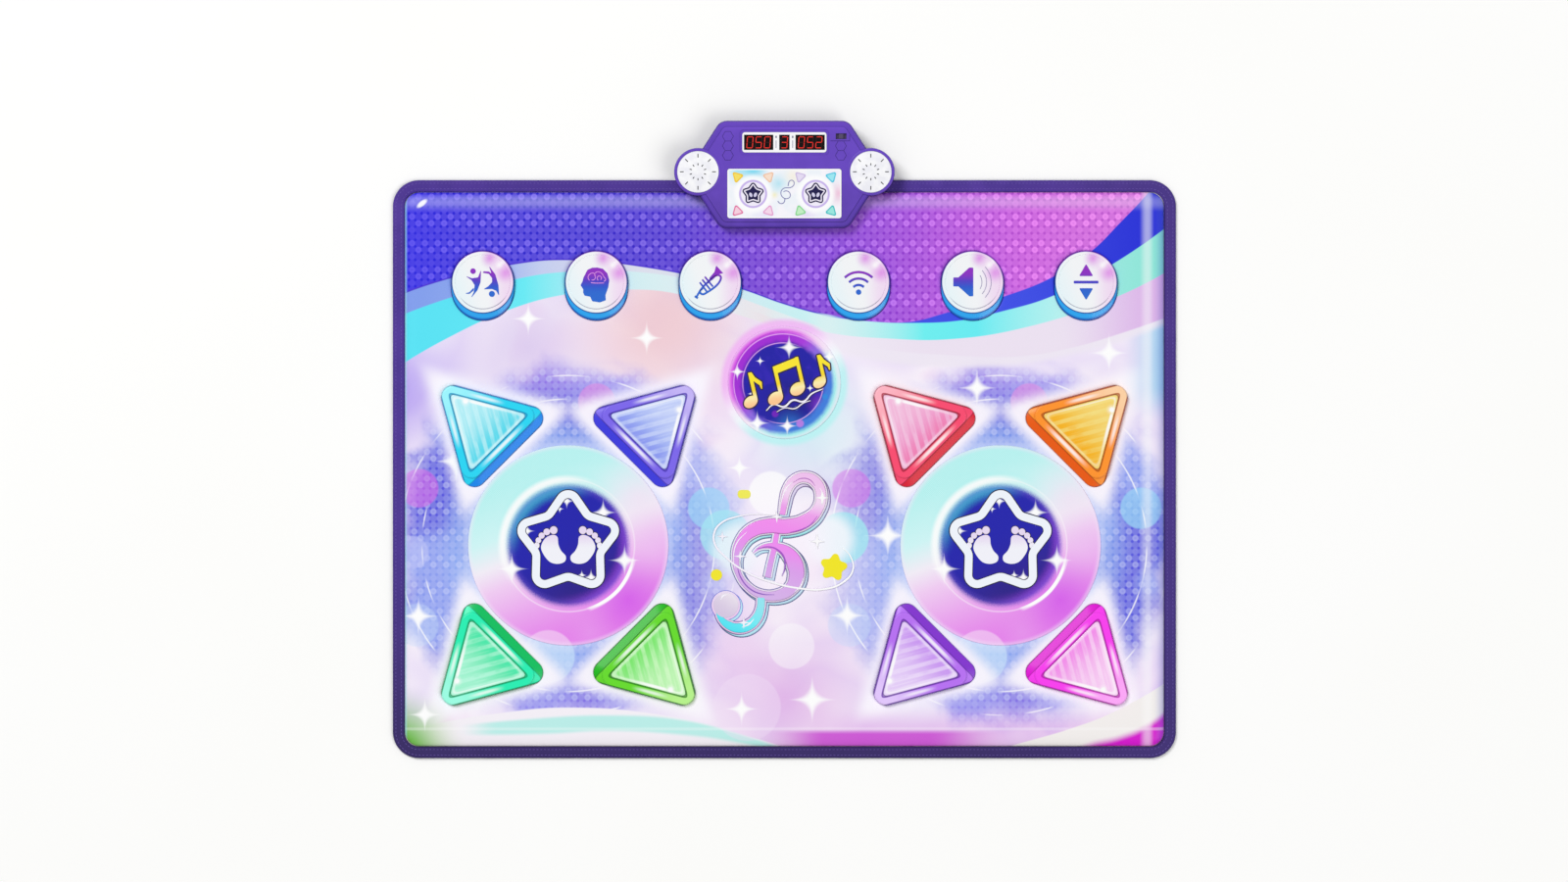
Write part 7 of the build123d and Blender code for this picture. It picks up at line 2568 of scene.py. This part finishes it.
# ---------------------------------------------------------------- studio
@dataclass
class Studio:
    """A white floor, soft light and the camera straight above."""

    camera_x: float = -0.55
    camera_y: float = 39.6
    camera_height: float = 7.343
    lens: float = 120.0
    floor_half: float = 6.0
    surround: float = 0.4
    backdrop: float = 0.96

    def floor(self) -> Piece:
        """A plain white floor with a soft grain."""
        half = self.floor_half * 1000
        made = mesh_piece("floor", np.array([(-half, -half, -0.05), (half, -half, -0.05),
            (half, half, -0.05), (-half, half, -0.05)]), [(0, 1, 2, 3)])
        sheet = Sheet("studio_floor", Coat(roughness=0.9, specular=0.1))
        tone = sheet.noise(sheet.place(), 0.002, 1)
        sheet.paint(sheet.ramp(tone, [(0.3, "FEFEFC"), (0.7, "FFFFFE")]))
        made.data.materials.append(sheet.material)
        made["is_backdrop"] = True
        return made

    def lamp(self, name: str, place: tuple[float, float, float], size: float, power: float) -> None:
        """A square soft light aimed at the middle of the mat."""
        light = bpy.data.lights.new(name, "AREA")
        light.size = size
        light.energy = power
        made = linked(name, light)
        made.location = place
        made.rotation_euler = (-Vector(place)).to_track_quat("-Z", "Y").to_euler()

    def world(self) -> None:
        """An even white surround."""
        world = bpy.data.worlds.new("surround")
        world.use_nodes = True
        world.node_tree.nodes["Background"].inputs["Color"].default_value = (1, 1, 1, 1)
        tree = world.node_tree
        ray = tree.nodes.new("ShaderNodeLightPath")
        level = tree.nodes.new("ShaderNodeMapRange")
        level.inputs["To Min"].default_value, level.inputs["To Max"].default_value = self.surround, self.backdrop
        tree.links.new(ray.outputs["Is Camera Ray"], level.inputs["Value"])
        tree.links.new(level.outputs["Result"], tree.nodes["Background"].inputs["Strength"])
        bpy.context.scene.world = world

    def camera(self) -> None:
        """Looks straight down from high up."""
        lens = bpy.data.cameras.new("camera")
        lens.lens = self.lens
        lens.sensor_width = 36
        lens.clip_end = 50
        made = linked("camera", lens)
        made.location = (self.camera_x * MM, self.camera_y * MM, self.camera_height)
        bpy.context.scene.camera = made

    def build(self) -> None:
        """Sets up the whole studio."""
        self.floor()
        self.world()
        self.lamp("key_light", (-5.2, 5.6, 9.2), 5, 720)
        self.lamp("fill_light", (6, -3.6, 8.4), 7, 380)
        self.camera()
        settings = bpy.context.scene.view_settings
        settings.view_transform = "Standard"
        settings.look = "None"


# ---------------------------------------------------------------- assembly
@dataclass
class DanceMat:
    """The whole object, dressed layer by layer."""

    bench: Bench

    def soft_layers(self) -> None:
        """The padded cover, the edge tape with its stitches, the base and the clef's puffed print."""
        cover = PaddedCover()
        skin = cover.build()
        skin.data.materials.append(CoverPrint().finish())
        self.bench.mount(skin, "mat", "printed_cover", ("cover", "wadding"))
        tape = EdgeTape()
        band = tape.build()
        band.data.materials.append(tape.finish())
        self.bench.mount(band, "mat", "binding_cloth", ("edge_binding",))
        thread = tape.thread()
        rows = []
        for inset, level in tape.stitch_rows:
            outline = densified(LAYOUT.plate(inset, 2.5), 8)
            rows.append(stitch_row("stitches", outline, level, tape.stitch_pitch, tape.stitch_length,
                tape.stitch_radius, thread))
        self.bench.mount(joined("tape_stitches", rows), "mat", "binding_cloth")
        base = GripBase().build(HardFinish.BASE.build(), HardFinish.STUD.build())
        self.bench.mount(base, "mat", "base_cloth", ("non_slip_base",))
        for layer in ClefPrint().build():
            cover.carry(layer)
            self.bench.mount(layer, "mat", "printed_cover")

    def hidden_layers(self) -> None:
        """The foam, film and contacts under the cover."""
        for node, finish in (
            ("foam_core", HardFinish.FOAM), ("spacer_foam", HardFinish.FOAM), ("circuit_film",
                HardFinish.FILM),
            ("contact_rings", HardFinish.CARBON), ("membrane_tail", HardFinish.FILM), ("anchor_tongue",
                HardFinish.TONGUE),
        ):
            self.bench.dress(node, finish.build())

    def pads_and_keys(self) -> None:
        """The step pads and the function keys, with their windows, signs and return rings."""
        foam = HardFinish.FOAM.build()
        rings = ReturnRings()
        stands_for: tuple[str, ...] = ("return_rings",)
        for spot in StepPadSpot:
            pad = StepPad(spot)
            self.bench.dress(spot.node, pad.body_finish())
            self.bench.mount(pad.window(), spot.node, spot.hue.slot)
        for spot in KeySpot:
            self.bench.dress(spot.node, KeyFinish(spot).build())
        for sign, spot in KeyIcons().build():
            self.bench.mount(sign, spot.node, "key_print")
        for spot in [*StepPadSpot, *KeySpot]:
            joint = f"{spot.node}_press"
            ring = rings.build(joint, spot.centre, foam)
            self.bench.mount(ring, "mat", "return_foam", stands_for)
            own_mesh(ring)
            stands_for = ()

    def discs_and_badge(self) -> None:
        """The two standing discs and the badge."""
        for player in Player:
            disc = StandingDisc(player)
            self.bench.dress(f"{player.word}_standing_disc", disc.finish())
            for piece in disc.build():
                self.bench.mount(piece, "mat", "disc_print")
        badge = TitleBadge()
        self.bench.dress("title_badge", badge.finish())
        for piece in badge.build():
            self.bench.mount(piece, "mat", "badge_print")

    def console(self) -> None:
        """The console outside and in."""
        desk = Console()
        for node in ("front_shell", "rear_shell", "battery_door"):
            self.bench.dress(node, desk.case(f"{node}_purple"))
        grille = desk.grille()
        for side in ("left", "right"):
            self.bench.dress(f"{side}_speaker_grille", grille)
            self.bench.dress(f"{side}_speaker_basket", HardFinish.BASKET.build())
            self.bench.dress(f"{side}_speaker_magnet", HardFinish.MAGNET.build())
            self.bench.dress(f"{side}_speaker_cone", HardFinish.PAPER.build())
        self.bench.dress("step_panel", desk.panel_print())
        self.bench.dress("battery_cells", desk.cell_finish())
        for node, finish in (
            ("score_bezel", HardFinish.BEZEL), ("left_score_display", HardFinish.SMOKED), ("round_display",
                HardFinish.SMOKED),
            ("right_score_display", HardFinish.SMOKED), ("main_board", HardFinish.BOARD), ("led_board",
                HardFinish.BOARD),
            ("board_components", HardFinish.CHIP), ("board_screws", HardFinish.SCREW), ("case_screws",
                HardFinish.SCREW),
            ("clamp_screws", HardFinish.SCREW), ("battery_door_screws", HardFinish.SCREW), ("clamp_bar",
                HardFinish.SCREW),
            ("light_guide", HardFinish.GUIDE), ("led_chips", HardFinish.LAMP), ("battery_contacts",
                HardFinish.CONTACT),
            ("rubber_feet", HardFinish.RUBBER), ("power_switch_body",
                HardFinish.CHIP), ("power_switch_knob", HardFinish.KNOB),
        ):
            self.bench.dress(node, finish.build())
        self.bench.mount(desk.digits(), "mat", "display_black")
        self.bench.mount(desk.map_marks(), "mat", "panel_print")
        self.bench.mount(desk.display_ticks(), "mat", "bezel_white")


def main() -> list:
    """Builds everything and returns the model's box as it was loaded."""
    logging.basicConfig(level=logging.INFO, format="%(message)s", stream=sys.stdout)
    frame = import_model()
    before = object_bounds()
    mat = DanceMat(Bench(frame))
    mat.soft_layers()
    mat.hidden_layers()
    mat.pads_and_keys()
    mat.discs_and_badge()
    mat.console()
    Studio().build()
    undressed = [name for name, made in frame["nodes"].items() if not made.data.materials]
    LOG.info("nodes with no finish: %s", undressed)
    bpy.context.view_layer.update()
    return before


if __name__ == "__main__":
    main()
